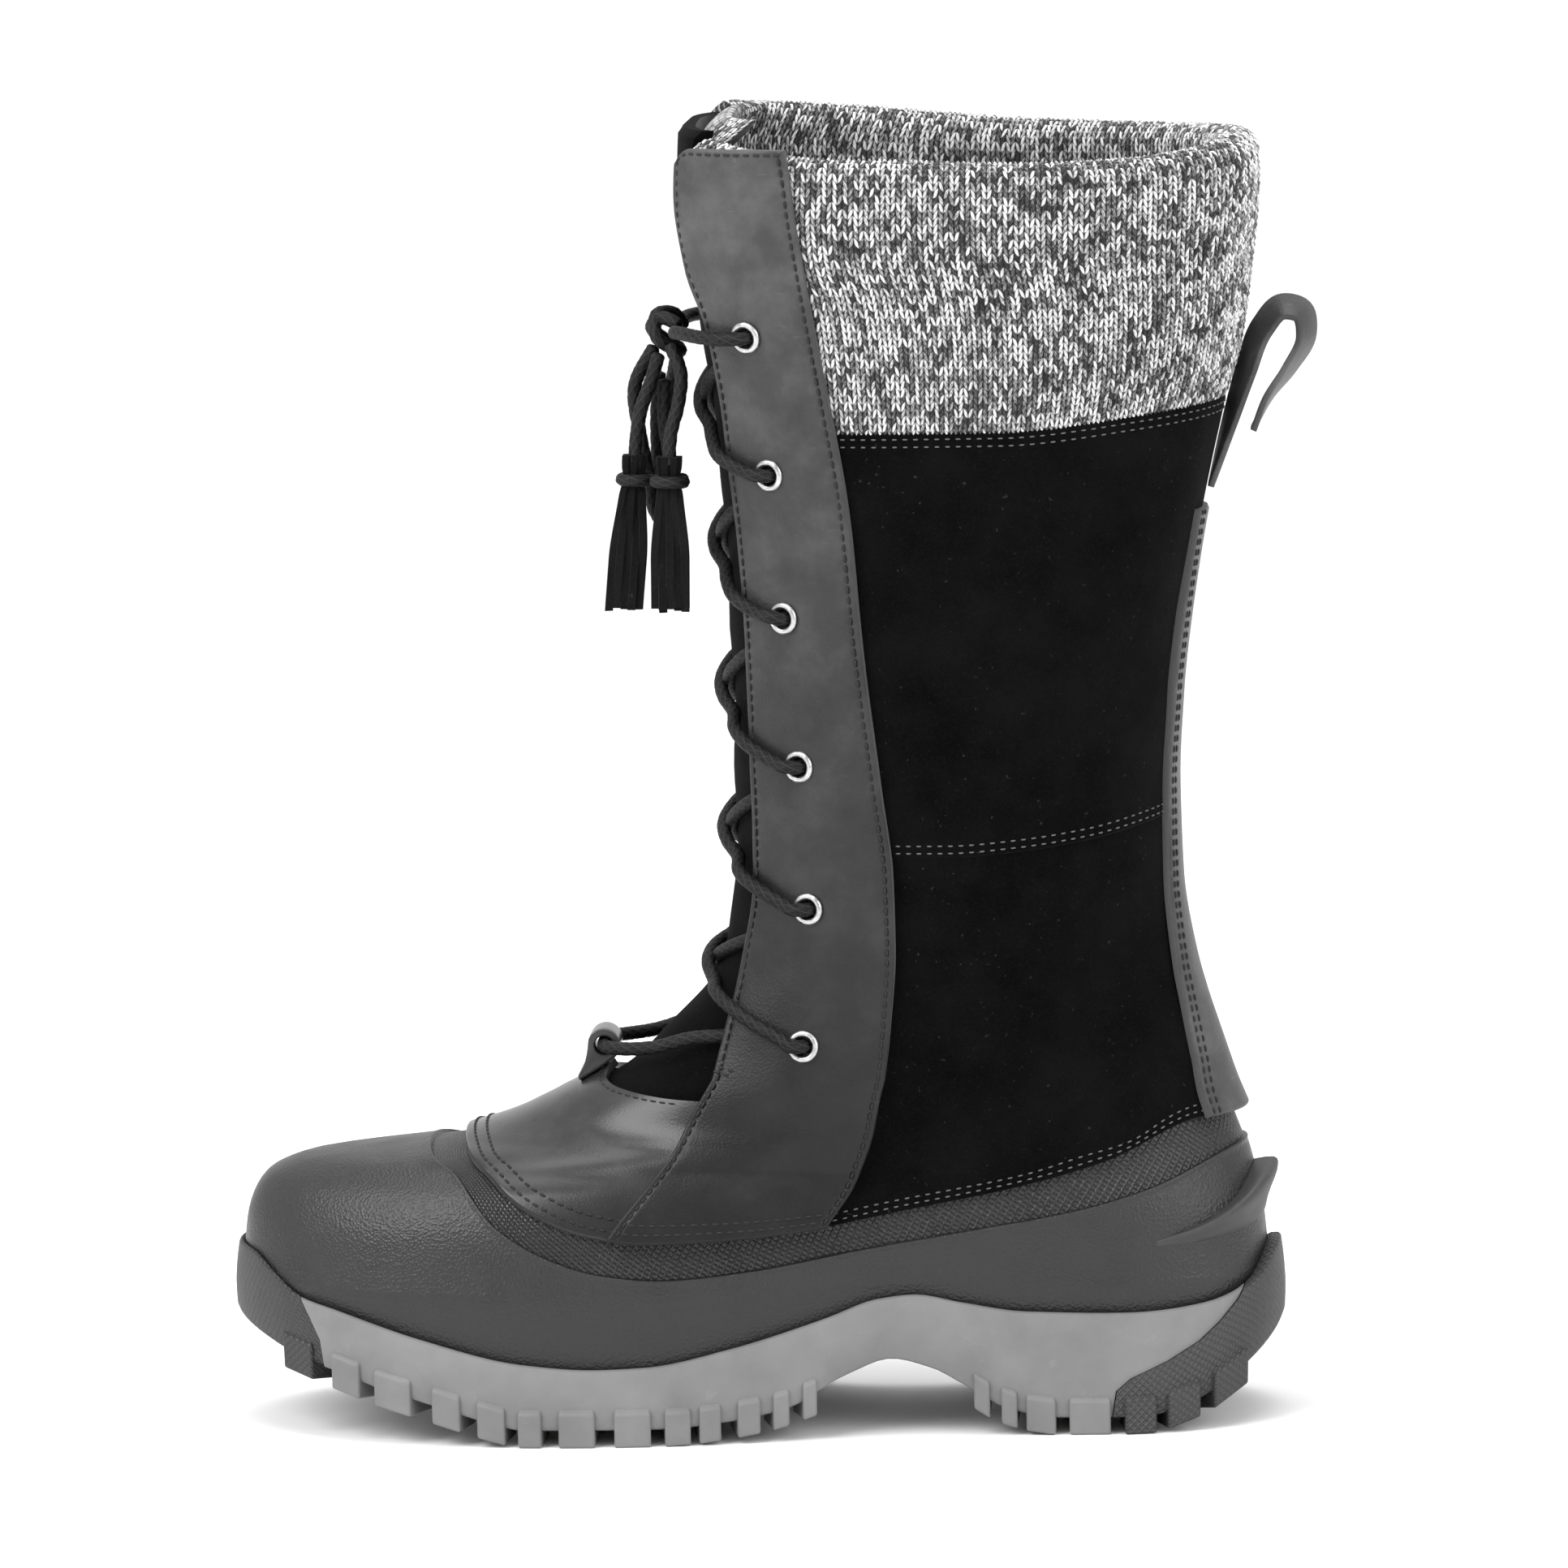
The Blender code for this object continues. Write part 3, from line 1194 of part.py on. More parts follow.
def make_pull_loop(home):
    """The leather strip at the back that turns over itself in a loop."""
    line = curved([(float(x_of(x)), 0.0, float(z_of(z))) for x, z in LOOP_ROUTE], 4.0)
    sections = []
    count = len(line)
    for k, point in enumerate(line):
        low, high = line[max(k - 1, 0)], line[min(k + 1, count - 1)]
        ahead = Vector(high - low).normalized()
        across_strip = Vector((0, 1, 0))
        lean = math.radians(LOOP_TWIST) * math.sin(math.pi * k / (count - 1))
        across_strip.rotate(Quaternion(ahead, lean))
        thick = ahead.cross(across_strip).normalized()
        half, deep = LOOP_WIDTH / 2, LOOP_THICK / 2
        sections.append([
            Vector(point) + across_strip * (a * half) + thick * (b * deep)
            for a, b in ((-1, -1), (1, -1), (1, 1), (-1, 1))
        ])
    return swept("pull_loop", sections, "leather", home)


# Points in mm from the middle of the knot, toe to the left
KNOT_PLACE = (0.434, 1.790)
KNOT_ROUTE = [(3.5, -6.0, 3.0), (-1.5, -3.5, 5.0), (-5.0, 1.0, 2.0), (-1.5, 5.0, -2.0),
              (2.5, 3.0, -4.5), (1.0, -3.0, -3.5), (-3.0, -5.0, -0.5), (-3.5, -1.0, 5.5),
              (1.5, 5.0, 5.0), (3.5, 8.0, 1.0)]
LEFT_END = [(-2.7, -6.0, -4.4), (-5.2, -5.2, -12.5), (-8.0, -6.0, -20.0), (-9.3, -6.5, -27.0),
            (-9.8, -7.0, -32.5)]
RIGHT_END = [(0.5, -7.5, -1.9), (3.6, -12.3, -10.0), (2.8, -14.7, -18.0), (0.8, -16.5, -25.5),
             (0.2, -17.0, -32.0)]
LEFT_LOOP = [(-4.2, 0.2, -3.0), (-10.0, 1.5, -14.0), (-9.0, 3.0, -28.0), (-6.5, 3.5, -41.0),
             (-5.0, 3.0, -50.0), (-2.5, 1.5, -53.0), (-0.5, 0.0, -48.0), (-0.5, -1.0, -36.0),
             (-2.0, -2.0, -22.0), (-1.5, -2.0, -12.0)]
RIGHT_LOOP = [(2.0, 6.9, -3.2), (0.5, 13.0, -10.0), (-2.0, 17.5, -22.0), (-3.0, 18.0, -36.0),
              (-3.0, 16.5, -48.0), (-3.5, 13.0, -53.0), (-4.0, 9.5, -48.0), (-4.5, 8.5, -36.0),
              (-4.5, 8.5, -22.0), (-3.5, 8.5, -11.0)]


def knot_centre():
    return Vector((float(x_of(KNOT_PLACE[0])), 0.0, float(z_of(KNOT_PLACE[1]))))


def make_free_lace(home):
    centre = knot_centre()
    for name, route in (
        ("lace_knot", KNOT_ROUTE), ("lace_loop_outer", LEFT_LOOP), ("lace_loop_inner", RIGHT_LOOP),
        ("lace_end_left", LEFT_END), ("lace_end_right", RIGHT_END),
    ):
        line = curved([centre + Vector(p) for p in route], LACE_DIAMETER * 2)
        cord(name, line, LACE_DIAMETER, home)


def make_tassel(name, route, lean, home):
    """A bundle of leather strips hanging from the end of a lace."""
    top = knot_centre() + Vector(route[-1])
    sections = []
    table = [(-0.5, 0.68, 5.5), (-3.5, 0.72, 6.0), (-7.0, 0.80, 6.5), (-10.0, 0.72, 5.5),
             (-20.0, 0.85, 5.0), (-34.0, 1.0, 5.0), (-TASSEL_LENGTH, 1.0, 4.5)]
    for drop, wide, deep in table:
        half = wide * TASSEL_WIDTH / 2
        middle = top + Vector((lean * drop / TASSEL_LENGTH, 0, drop))
        sections.append([
            middle + Vector((a * half, b * deep / 2, 0))
            for a, b in ((-1, -0.6), (-0.6, -1), (0.6, -1), (1, -0.6),
                         (1, 0.6), (0.6, 1), (-0.6, 1), (-1, 0.6))
        ])
    return swept(name, sections, "suede", home)


def centre_and_floor(home, free):
    """Move everything so that the boot stands on Z = 0 with its box centred on the origin."""
    corners = []
    graph = bpy.context.evaluated_depsgraph_get()
    for obj in home.objects:
        if obj.name in free:
            continue
        mesh = obj.evaluated_get(graph).to_mesh()
        grid = np.array([obj.matrix_world @ vertex.co for vertex in mesh.vertices])
        corners += [grid.min(axis=0), grid.max(axis=0)]
    low, high = np.min(corners, axis=0), np.max(corners, axis=0)
    shift = Vector((-(low[0] + high[0]) / 2, -(low[1] + high[1]) / 2, -low[2]))
    for obj in home.objects:
        obj.location += shift
    print("moved by mm", [round(c / MM, 3) for c in shift])


FREE_NODES = ["lace_knot", "lace_loop_outer", "lace_loop_inner", "lace_end_left",
              "lace_end_right", "tassel_left", "tassel_right"]


def main():
    clear_scene()
    home = collection("winter_boot")
    cutters = collection("cutters")
    make_soles(home, cutters)
    make_shell(home, cutters)
    make_insole(home)
    upper = make_upper(home)
    facings = make_facings(home)
    make_back_stay(home)
    cuff = make_knit_cuff(home)
    make_tongue(home)
    make_eyelets(facings, upper, cuff, home)
    keeper_centre = make_keeper(home)
    make_crossings(home, keeper_centre)
    make_pull_loop(home)
    make_free_lace(home)
    make_tassel("tassel_left", LEFT_END, 3.0, home)
    make_tassel("tassel_right", RIGHT_END, 2.0, home)
    bpy.context.view_layer.update()
    centre_and_floor(home, FREE_NODES)
    bpy.data.collections.remove(cutters)


main()
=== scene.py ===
"""Winter boot, dressed for its picture.

The surface, the lines and the tables are those of the part. Every piece follows the skin
of the last: u runs round the boot from the back, along the outer side to the front and
along the inner side to the back again, and v runs up from the sole to the collar.
"""

import math

import bmesh
import bpy
import numpy as np
from mathutils import Matrix, Quaternion, Vector


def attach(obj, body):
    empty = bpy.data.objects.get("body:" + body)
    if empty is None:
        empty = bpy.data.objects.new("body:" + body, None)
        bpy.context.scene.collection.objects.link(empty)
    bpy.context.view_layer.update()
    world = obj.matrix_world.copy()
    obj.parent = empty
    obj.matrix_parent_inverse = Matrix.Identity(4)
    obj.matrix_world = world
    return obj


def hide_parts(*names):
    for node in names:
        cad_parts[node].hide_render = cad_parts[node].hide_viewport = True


MM = 0.001

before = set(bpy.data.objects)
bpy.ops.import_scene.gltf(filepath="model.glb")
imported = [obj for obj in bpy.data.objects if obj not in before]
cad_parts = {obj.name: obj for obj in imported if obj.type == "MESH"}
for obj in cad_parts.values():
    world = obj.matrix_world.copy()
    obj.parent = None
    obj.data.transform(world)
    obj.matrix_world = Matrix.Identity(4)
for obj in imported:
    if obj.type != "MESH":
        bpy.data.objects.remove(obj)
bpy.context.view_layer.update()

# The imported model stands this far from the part's own frame, in mm
SHIFT = np.array((-5.638, 0.789, 0.0))

# Camera: mm, degrees and pixels of the photograph
IMAGE_PIXELS = 1932
PIXELS_PER_MM = 4.43
CAMERA_DISTANCE = 3500.0
CAMERA_LIFT = 8.0
CAMERA_TURN = 3.0
CAMERA_ROLL = 1.1
CAMERA_TARGET = (4.36, 0.789, 177.0)

# Light: (name, place in m, size in m, power in W)
WORLD_LIGHT = 0.86
LIGHTS = (
    ("key", (-1.3, -1.15, 1.7), (1.4, 1.4), 41.0),
    ("fill", (1.5, -1.1, 1.0), (1.4, 1.4), 16.0),
    ("top", (0.1, 0.2, 2.2), (1.6, 1.6), 25.0),
)

# Strips cut in each side of a tassel, and the cord wrapped round its top
TASSEL_STRIPS = 5
WRAP_DROP = 6.5
END_IN_TASSEL = 3.0
WRAP_THICK = 3.6

# The lace's braid: length of one turn, strands each way, and the tube's steps
BRAID_PITCH = 3.8
BRAID_STRANDS = 6
LACE_SIDES = 24
LACE_SPACING = 0.45
LINE_SAMPLES = 600

# Stitches: pitch, length and radius in mm, each one's thread from end to end as (share of
# the length, share of the radius, height in radii), and the rows' distances from the edges
STITCH_PITCH = 2.9
STITCH_LENGTH = 2.15
STITCH_RADIUS = 0.38
FINE_LENGTH = 1.5
FINE_RADIUS = 0.24
SHORTEST_STITCH = 0.3
THREAD_SIDES = 6
STITCH_STATIONS = ((0.0, 0.35, -0.5), (0.18, 0.9, 0.25), (0.5, 1.0, 0.45), (0.82, 0.9, 0.25),
                   (1.0, 0.35, -0.5))
STITCH_INSET = 2.0
VAMP_ROWS = (2.9, 6.4)
STAY_ROWS = (1.5, 3.5)
THROAT_INSET = 2.0
FACING_ROWS = (0.0115, 0.0235, 0.9935)
BARTACK_HEIGHT = 101.0
BARTACK_ROWS = (0.0, 1.9)

# Thickness of the lace as it shows, and the sag of its far run at the keeper
LACE_SHOWN = 3.9
FAR_BAR_DROP = 3.5

# How far the tongue's top leans back, and the toe guard stands out
TONGUE_LEAN = 12.0
TOE_GUARD_PROUD = -1.4

# Profile of the step down to the shell's textured band, as (height, offset) in mm
BAND_LIP = ((-1.0, 0.22), (-0.6, 0.30), (-0.2, 0.12), (0.0, -0.5))

# Creases of the vamp, as (height, depth, width, lean) in mm
VAMP_CREASES = ((26.0, 0.2, 4.0, 9.0), (34.0, 0.16, 3.4, -6.0), (18.0, 0.12, 3.2, 5.0))

# Outer face of the vamp over the upper's, and of the two suede panels
VAMP_LIFT = 0.15
SUEDE_LIFTS = (-0.35, 0.25)

# Knit: stitches round the collar and rows over it, points in each, relief in mm, the slant
# of the colour and of the shape, and the unevenness in mm
KNIT_WALES = 122
KNIT_ROWS = 88
KNIT_DEPTH = 0.75
KNIT_SLANT = 0.6
KNIT_SHEAR = 0.62
KNIT_WOBBLE = 0.06
WALE_POINTS = 4
ROW_POINTS = 2

# Seam between the two suede panels, as (x share, level)
MID_SEAM_LINE = [
    (0.50, 1.241), (0.640, 1.241), (0.695, 1.241), (0.757, 1.245), (0.825, 1.253),
    (0.904, 1.268), (0.96, 1.272),
]

# The lace from the keeper to the facings, as (share of the way to the facing's edge, climb
# in mm over the throat's middle, offset from the last in mm)
BAR_ROUTE = [(0.52, 4.5, 5.0), (0.75, 8.5, 3.6), (0.96, 10.0, 1.2), (1.12, 10.5, -1.0), (1.22, 10.5, -2.2)]

# Sizes of the last
SOLE_LENGTH = 292.0
INSTEP_HEIGHT = 100.0
SHAFT_HEIGHT = 257.0
BALL_WIDTH = 100.0
HEEL_WIDTH = 75.0
SHAFT_WIDTH = 90.0
TOE_SWING = 7.0

# Walls and clearances
CLEAR = 0.3
LAYER_GAP = 0.6
SHELL_GAP = 0.8
FLOOR_GAP = 1.2
FACING_GAP = 1.0
SHELL_WALL = 2.6
BAND_STEP = 0.8
TUCK_STEP = 1.2
LEATHER = 2.0
KNIT_WALL = 8.0
KNIT_BULGE = 1.5
TONGUE_WALL = 5.0

# Offsets of the upper's faces and of the facings', the inner one clear of the shell's band
UPPER_INNER = CLEAR - BAND_STEP
UPPER_OUTER = UPPER_INNER + LEATHER
FACING_INNER = UPPER_OUTER + FACING_GAP
FACING_OUTER = FACING_INNER + LEATHER
VAMP_OUTER = UPPER_OUTER + VAMP_LIFT
LOWER_SUEDE, UPPER_SUEDE = [UPPER_OUTER + lift for lift in SUEDE_LIFTS]

# Sole
RIM_WALL = 2.4
SOLE_FLARE = 3.4
BUMPER_PROUD = 0.8
GROOVE_DEPTH = 4.5
LUG_PROUD = 1.8
LUG_SIDE_HEIGHT = 11.0
LUG_DEEP = 17.0
CENTRE_LUG_LENGTH = 9.0
CENTRE_LUG_WIDTH = 20.0

# Heel ledge
LEDGE_REACH = 6.5
LEDGE_BITE = 1.2

# Overlap of the leather on the shell, and of the pieces at the throat
SHELL_OVERLAP = 13.0
THROAT_SETBACK = 1.5
TONGUE_TUCK = 9.0
TONGUE_SLACK = 1.6
CUFF_TUCK = 14.0
TONGUE_RISE = 8.0
FACING_RISE_OUTER = 3.5
FACING_RISE_INNER = 10.0

# Eyelets and lace
EYELET_BORE = 5.2
EYELET_BARREL = 0.4
EYELET_FLANGE = 9.0
EYELET_ROLL = 0.9
EYELET_LIFT = 0.3
LACE_DIAMETER = 4.6

# Keeper, pull loop and tassels
KEEPER_WIDTH = 14.0
KEEPER_TAIL = 11.0
KEEPER_LIFT = 0.25
LOOP_WIDTH = 12.0
LOOP_THICK = 1.8
LOOP_TWIST = 26.0
TASSEL_LENGTH = 44.0
TASSEL_WIDTH = 12.0

EYELET_SIDES = 8
RING_SAMPLES = 600
ROW_STEPS = 16
GIRTH_STEPS = 160

SECTION_COLUMNS = (
    "front_x front_level back_x back_level outer_ball inner_ball heel "
    "outer_waist inner_waist toe_round heel_round toe_full heel_full"
).split()

# Widths are half widths, as shares of BALL_WIDTH and HEEL_WIDTH. The first row is pressed
# down to FLOOR_LINE, from the level of the second.
FOOT_SECTIONS = [
    (0.024, 0.42, 0.978, 0.42, 0.470, 0.455, 0.460, 0.035, 0.055, 0.33, 0.17, 2.3, 2.3),
    (0.005, 0.42, 0.990, 0.42, 0.500, 0.480, 0.495, 0.030, 0.048, 0.34, 0.18, 2.3, 2.3),
    (0.010, 0.57, 0.985, 0.58, 0.478, 0.460, 0.490, 0.020, 0.035, 0.35, 0.19, 2.2, 2.3),
    (0.027, 0.68, 0.978, 0.68, 0.438, 0.425, 0.478, 0.012, 0.022, 0.37, 0.21, 2.1, 2.2),
    (0.062, 0.735, 0.972, 0.75, 0.400, 0.392, 0.470, 0.005, 0.010, 0.42, 0.23, 2.05, 2.1),
    (0.199, 0.787, 0.961, 0.84, 0.385, 0.382, 0.470, 0.0, 0.0, 0.46, 0.28, 2.0, 2.0),
    (0.260, 0.834, 0.950, 0.92, 0.385, 0.385, 0.480, 0.0, 0.0, 0.50, 0.34, 2.0, 2.0),
    (0.322, 0.918, 0.935, 1.02, 0.390, 0.390, 0.500, 0.0, 0.0, 0.50, 0.40, 2.0, 2.0),
]

# Widths are half widths, as shares of SHAFT_WIDTH.
SHAFT_SECTIONS = [
    (0.377, 1.001, 0.921, 1.07, 0.435, 0.435, 0.435, 0.0, 0.0, 0.50, 0.45, 2.0, 2.0),
    (0.418, 1.040, 0.912, 1.11, 0.440, 0.440, 0.440, 0.0, 0.0, 0.50, 0.48, 2.0, 2.0),
    (0.472, 1.125, 0.900, 1.20, 0.455, 0.455, 0.455, 0.0, 0.0, 0.50, 0.50, 2.0, 2.0),
    (0.484, 1.220, 0.898, 1.30, 0.470, 0.470, 0.470, 0.0, 0.0, 0.50, 0.50, 2.05, 2.0),
    (0.485, 1.360, 0.903, 1.40, 0.490, 0.490, 0.490, 0.0, 0.0, 0.50, 0.50, 2.1, 2.0),
    (0.480, 1.590, 0.926, 1.58, 0.500, 0.500, 0.500, 0.0, 0.0, 0.48, 0.50, 2.2, 2.0),
    (0.470, 1.720, 0.953, 1.71, 0.500, 0.500, 0.500, 0.0, 0.0, 0.45, 0.48, 2.4, 2.05),
    (0.455, 1.860, 0.974, 1.86, 0.495, 0.495, 0.495, 0.0, 0.0, 0.40, 0.46, 3.0, 2.1),
    (0.443, 1.950, 0.982, 1.95, 0.490, 0.490, 0.490, 0.0, 0.0, 0.38, 0.45, 3.4, 2.1),
    (0.443, 2.010, 0.981, 2.01, 0.485, 0.485, 0.485, 0.0, 0.0, 0.38, 0.45, 3.4, 2.1),
    (0.447, 2.070, 0.979, 2.07, 0.480, 0.480, 0.480, 0.0, 0.0, 0.38, 0.45, 3.4, 2.1),
]

# Lines on the side of the boot, as (x share, level)
FLOOR_LINE = [(0.0, 0.36), (0.03, 0.31), (0.07, 0.26), (0.12, 0.215), (0.19, 0.175),
              (0.28, 0.15), (0.40, 0.15), (0.48, 0.175), (0.55, 0.21), (0.64, 0.24),
              (0.75, 0.255), (1.0, 0.26)]
TREAD_LINE = [(0.0, 0.27), (0.03, 0.225), (0.07, 0.175), (0.11, 0.145), (0.15, 0.105),
              (0.20, 0.065), (0.25, 0.022), (0.285, 0.0), (0.42, 0.0), (0.47, 0.012),
              (0.52, 0.035), (0.57, 0.075), (0.70, 0.085), (0.735, 0.035), (0.77, 0.006),
              (0.785, 0.0), (0.872, 0.0), (0.90, 0.02), (0.925, 0.05), (0.95, 0.10),
              (0.97, 0.15), (0.985, 0.20), (1.0, 0.28)]
ARCH_LINE = [(0.0, 0.0), (0.54, 0.0), (0.59, 0.055), (0.63, 0.09), (0.67, 0.06),
             (0.715, 0.0), (1.0, 0.0)]
LIP_LINE = [(0.0, 0.50), (0.02, 0.495), (0.045, 0.445), (0.068, 0.395), (0.11, 0.36),
            (0.19, 0.29), (0.285, 0.225), (0.35, 0.21), (0.40, 0.215), (0.48, 0.26),
            (0.57, 0.335), (0.62, 0.385), (0.655, 0.395), (0.70, 0.37), (0.76, 0.342),
            (0.86, 0.335), (0.925, 0.35), (0.97, 0.40), (0.985, 0.47), (1.0, 0.56)]
BAND_LINE = [(0.170, 1.2), (0.188, 0.79), (0.22, 0.735), (0.26, 0.605), (0.31, 0.52),
             (0.36, 0.475), (0.42, 0.458), (0.50, 0.475), (0.60, 0.52), (0.70, 0.565),
             (0.80, 0.615), (0.88, 0.675), (0.95, 0.755), (1.0, 0.80)]
LEATHER_LINE = [(0.205, 1.3), (0.225, 0.80), (0.25, 0.735), (0.29, 0.645), (0.345, 0.58),
                (0.40, 0.555), (0.47, 0.56), (0.55, 0.58), (0.65, 0.63), (0.75, 0.685),
                (0.84, 0.755), (0.93, 0.85), (0.955, 0.845), (1.0, 0.84)]
SUEDE_TOP_LINE = [(0.0, 1.70), (0.60, 1.70), (0.75, 1.70), (0.88, 1.712), (1.0, 1.725)]
COLLAR_LINE = [(0.0, 2.0), (0.60, 1.992), (0.80, 1.985), (1.0, 1.99)]

# How far the knit's rim stands over that line in mm, as (u, rise)
COLLAR_RISE = [(-1.0, 4.5), (-0.88, 1.5), (-0.75, 0.0), (-0.35, 0.0), (-0.15, 5.0), (0.15, 9.5),
               (0.28, 8.8), (0.42, 7.2), (0.60, 5.6), (0.78, 4.2), (0.88, 3.8), (1.0, 4.5)]

# Upright edges on the side of the boot, as (level, x share)
FACING_FRONT = [(0.50, 0.350), (0.56, 0.363), (0.62, 0.377), (0.70, 0.400), (0.80, 0.428),
                (0.90, 0.446), (1.0, 0.466), (1.06, 0.480), (1.12, 0.494), (1.22, 0.507),
                (1.42, 0.505), (1.55, 0.500), (1.65, 0.492), (1.75, 0.482), (1.83, 0.468),
                (1.88, 0.453), (1.94, 0.446), (1.985, 0.447), (2.0, 0.452), (2.03, 0.464)]
FACING_REAR = [(0.50, 0.560), (0.60, 0.577), (0.70, 0.600), (0.84, 0.619), (0.96, 0.628),
               (1.06, 0.638), (1.14, 0.643), (1.22, 0.642), (1.32, 0.632), (1.48, 0.616),
               (1.62, 0.606), (1.72, 0.592), (1.80, 0.580), (1.90, 0.566), (2.01, 0.551)]

# Lower edge of the throat, as (share of the half girth from the front, level)
THROAT_EDGE = [(0.0, 0.99), (0.06, 0.962), (0.13, 0.942), (0.24, 0.93), (1.0, 0.93)]
TONGUE_FOOT_LEVEL = 0.86

# Half width of the back stay in mm at each level
STAY_HALF = [(0.80, 22.0), (1.0, 18.0), (1.08, 15.0), (1.20, 12.5), (1.60, 11.0), (1.80, 11.0)]
STAY_TOP_LEVEL = 1.60

# Eyelets from the lowest up, as (level, x share)
EYELET_PLACES = [(1.035, 0.555), (1.185, 0.562), (1.340, 0.556), (1.500, 0.544),
                 (1.655, 0.533), (1.805, 0.514)]

# Side edges of the toe and heel bumpers, as (x share, level), from the top down
TOE_EDGE = [(-0.05, 0.395), (0.068, 0.395), (0.078, 0.34), (0.088, 0.28), (0.092, 0.20),
            (0.092, -0.1), (-0.05, -0.1)]
HEEL_EDGE = [(1.05, 0.40), (0.970, 0.40), (0.962, 0.355), (0.945, 0.30), (0.925, 0.25),
             (0.895, 0.20), (0.860, 0.155), (0.846, 0.12), (0.842, 0.05), (0.842, -0.1),
             (1.05, -0.1)]

# Side lugs as (middle x share, length share), all on both sides
SIDE_LUGS = [(0.072, 0.028), (0.120, 0.026), (0.164, 0.034), (0.214, 0.026), (0.256, 0.026),
             (0.292, 0.022), (0.336, 0.034), (0.388, 0.034), (0.430, 0.024), (0.460, 0.020),
             (0.496, 0.021), (0.526, 0.015), (0.553, 0.013), (0.718, 0.015), (0.744, 0.015),
             (0.774, 0.028), (0.820, 0.038), (0.866, 0.028), (0.904, 0.028), (0.944, 0.028)]
CENTRE_LUGS = [0.066, 0.130, 0.175, 0.220, 0.265, 0.310, 0.355, 0.400, 0.445, 0.490, 0.530,
               0.738, 0.776, 0.814, 0.872, 0.912]

# Ridge of the heel ledge from its tip to the back, as (share of the way, top, foot, reach)
LEDGE_REACH_TABLE = [(0.0, 0.530, 0.515, 0.0), (0.25, 0.565, 0.515, 0.35),
                     (0.55, 0.625, 0.525, 0.70), (0.80, 0.680, 0.535, 0.92),
                     (1.0, 0.700, 0.540, 1.0)]
LEDGE_TIP_X = 0.885


def along(table, at):
    """Smooth curve without overshoot through a table of (place, value) rows."""
    xs = np.array([row[0] for row in table], float)
    ys = np.array([row[1] for row in table], float)
    return smooth_through(xs, ys, at)


def smooth_through(xs, ys, at):
    """Monotone cubic through (xs, ys), read at the places in at. ys may hold columns."""
    at = np.clip(np.asarray(at, float), xs[0], xs[-1])
    wide = ys.reshape(len(xs), -1)
    run = np.diff(xs)[:, None]
    rise = np.diff(wide, axis=0) / run
    slope = np.zeros_like(wide)
    slope[0], slope[-1] = rise[0], rise[-1]
    both = rise[:-1] * rise[1:] > 0
    heavy, light = 2 * run[1:] + run[:-1], run[1:] + 2 * run[:-1]
    with np.errstate(divide="ignore", invalid="ignore"):
        mean = (heavy + light) / (heavy / rise[:-1] + light / rise[1:])
    slope[1:-1] = np.where(both, mean, 0.0)
    flat = at.reshape(-1)
    k = np.clip(np.searchsorted(xs, flat, side="right") - 1, 0, len(xs) - 2)
    h = run[k]
    s = ((flat - xs[k])[:, None]) / h
    low, high = wide[k], wide[k + 1]
    value = (
        (1 + 2 * s) * (1 - s) ** 2 * low
        + s * (1 - s) ** 2 * h * slope[k]
        + s * s * (3 - 2 * s) * high
        + s * s * (s - 1) * h * slope[k + 1]
    )
    return value.reshape(at.shape + ys.shape[1:])


def x_of(share):
    """Place along the boot in mm, from a share of its length counted from the toe."""
    return (np.asarray(share, float) - 0.5) * SOLE_LENGTH


def share_of(x):
    return np.asarray(x, float) / SOLE_LENGTH + 0.5


def z_of(level):
    level = np.asarray(level, float)
    return np.minimum(level, 1) * INSTEP_HEIGHT + np.maximum(level - 1, 0) * SHAFT_HEIGHT


def level_of(z):
    z = np.asarray(z, float)
    low = np.minimum(z / INSTEP_HEIGHT, 1)
    return low + np.maximum(z - INSTEP_HEIGHT, 0) / SHAFT_HEIGHT


def line_height(line, x):
    """Height in mm of one of the side lines at a place along the boot."""
    return z_of(along(line, share_of(x)))


def edge_place(edge, z):
    """Place in mm of one of the upright edges at a height."""
    return x_of(along(edge, level_of(z)))


def section_sizes():
    """The section table in mm, one row for each section from the floor to the collar."""
    column = {name: k for k, name in enumerate(SECTION_COLUMNS)}
    rows = np.array(FOOT_SECTIONS + SHAFT_SECTIONS, float)
    foot = len(FOOT_SECTIONS)
    for name in ("front_x", "back_x"):
        rows[:, column[name]] = x_of(rows[:, column[name]])
    for name in ("front_level", "back_level"):
        rows[:, column[name]] = z_of(rows[:, column[name]])
    for name in ("outer_ball", "inner_ball", "heel", "outer_waist", "inner_waist"):
        rows[foot:, column[name]] *= SHAFT_WIDTH
    for name in ("outer_ball", "inner_ball", "outer_waist", "inner_waist"):
        rows[:foot, column[name]] *= BALL_WIDTH
    rows[:foot, column["heel"]] *= HEEL_WIDTH
    return rows


def rounded_end(distance, reach, fullness):
    """1 away from an end, falling to 0 at the end in a superellipse quarter."""
    s = np.clip(1 - distance / reach, 0, 1)
    return (1 - s**fullness) ** (1 / fullness)


def smooth_step(s):
    s = np.clip(s, 0, 1)
    return s * s * (3 - 2 * s)


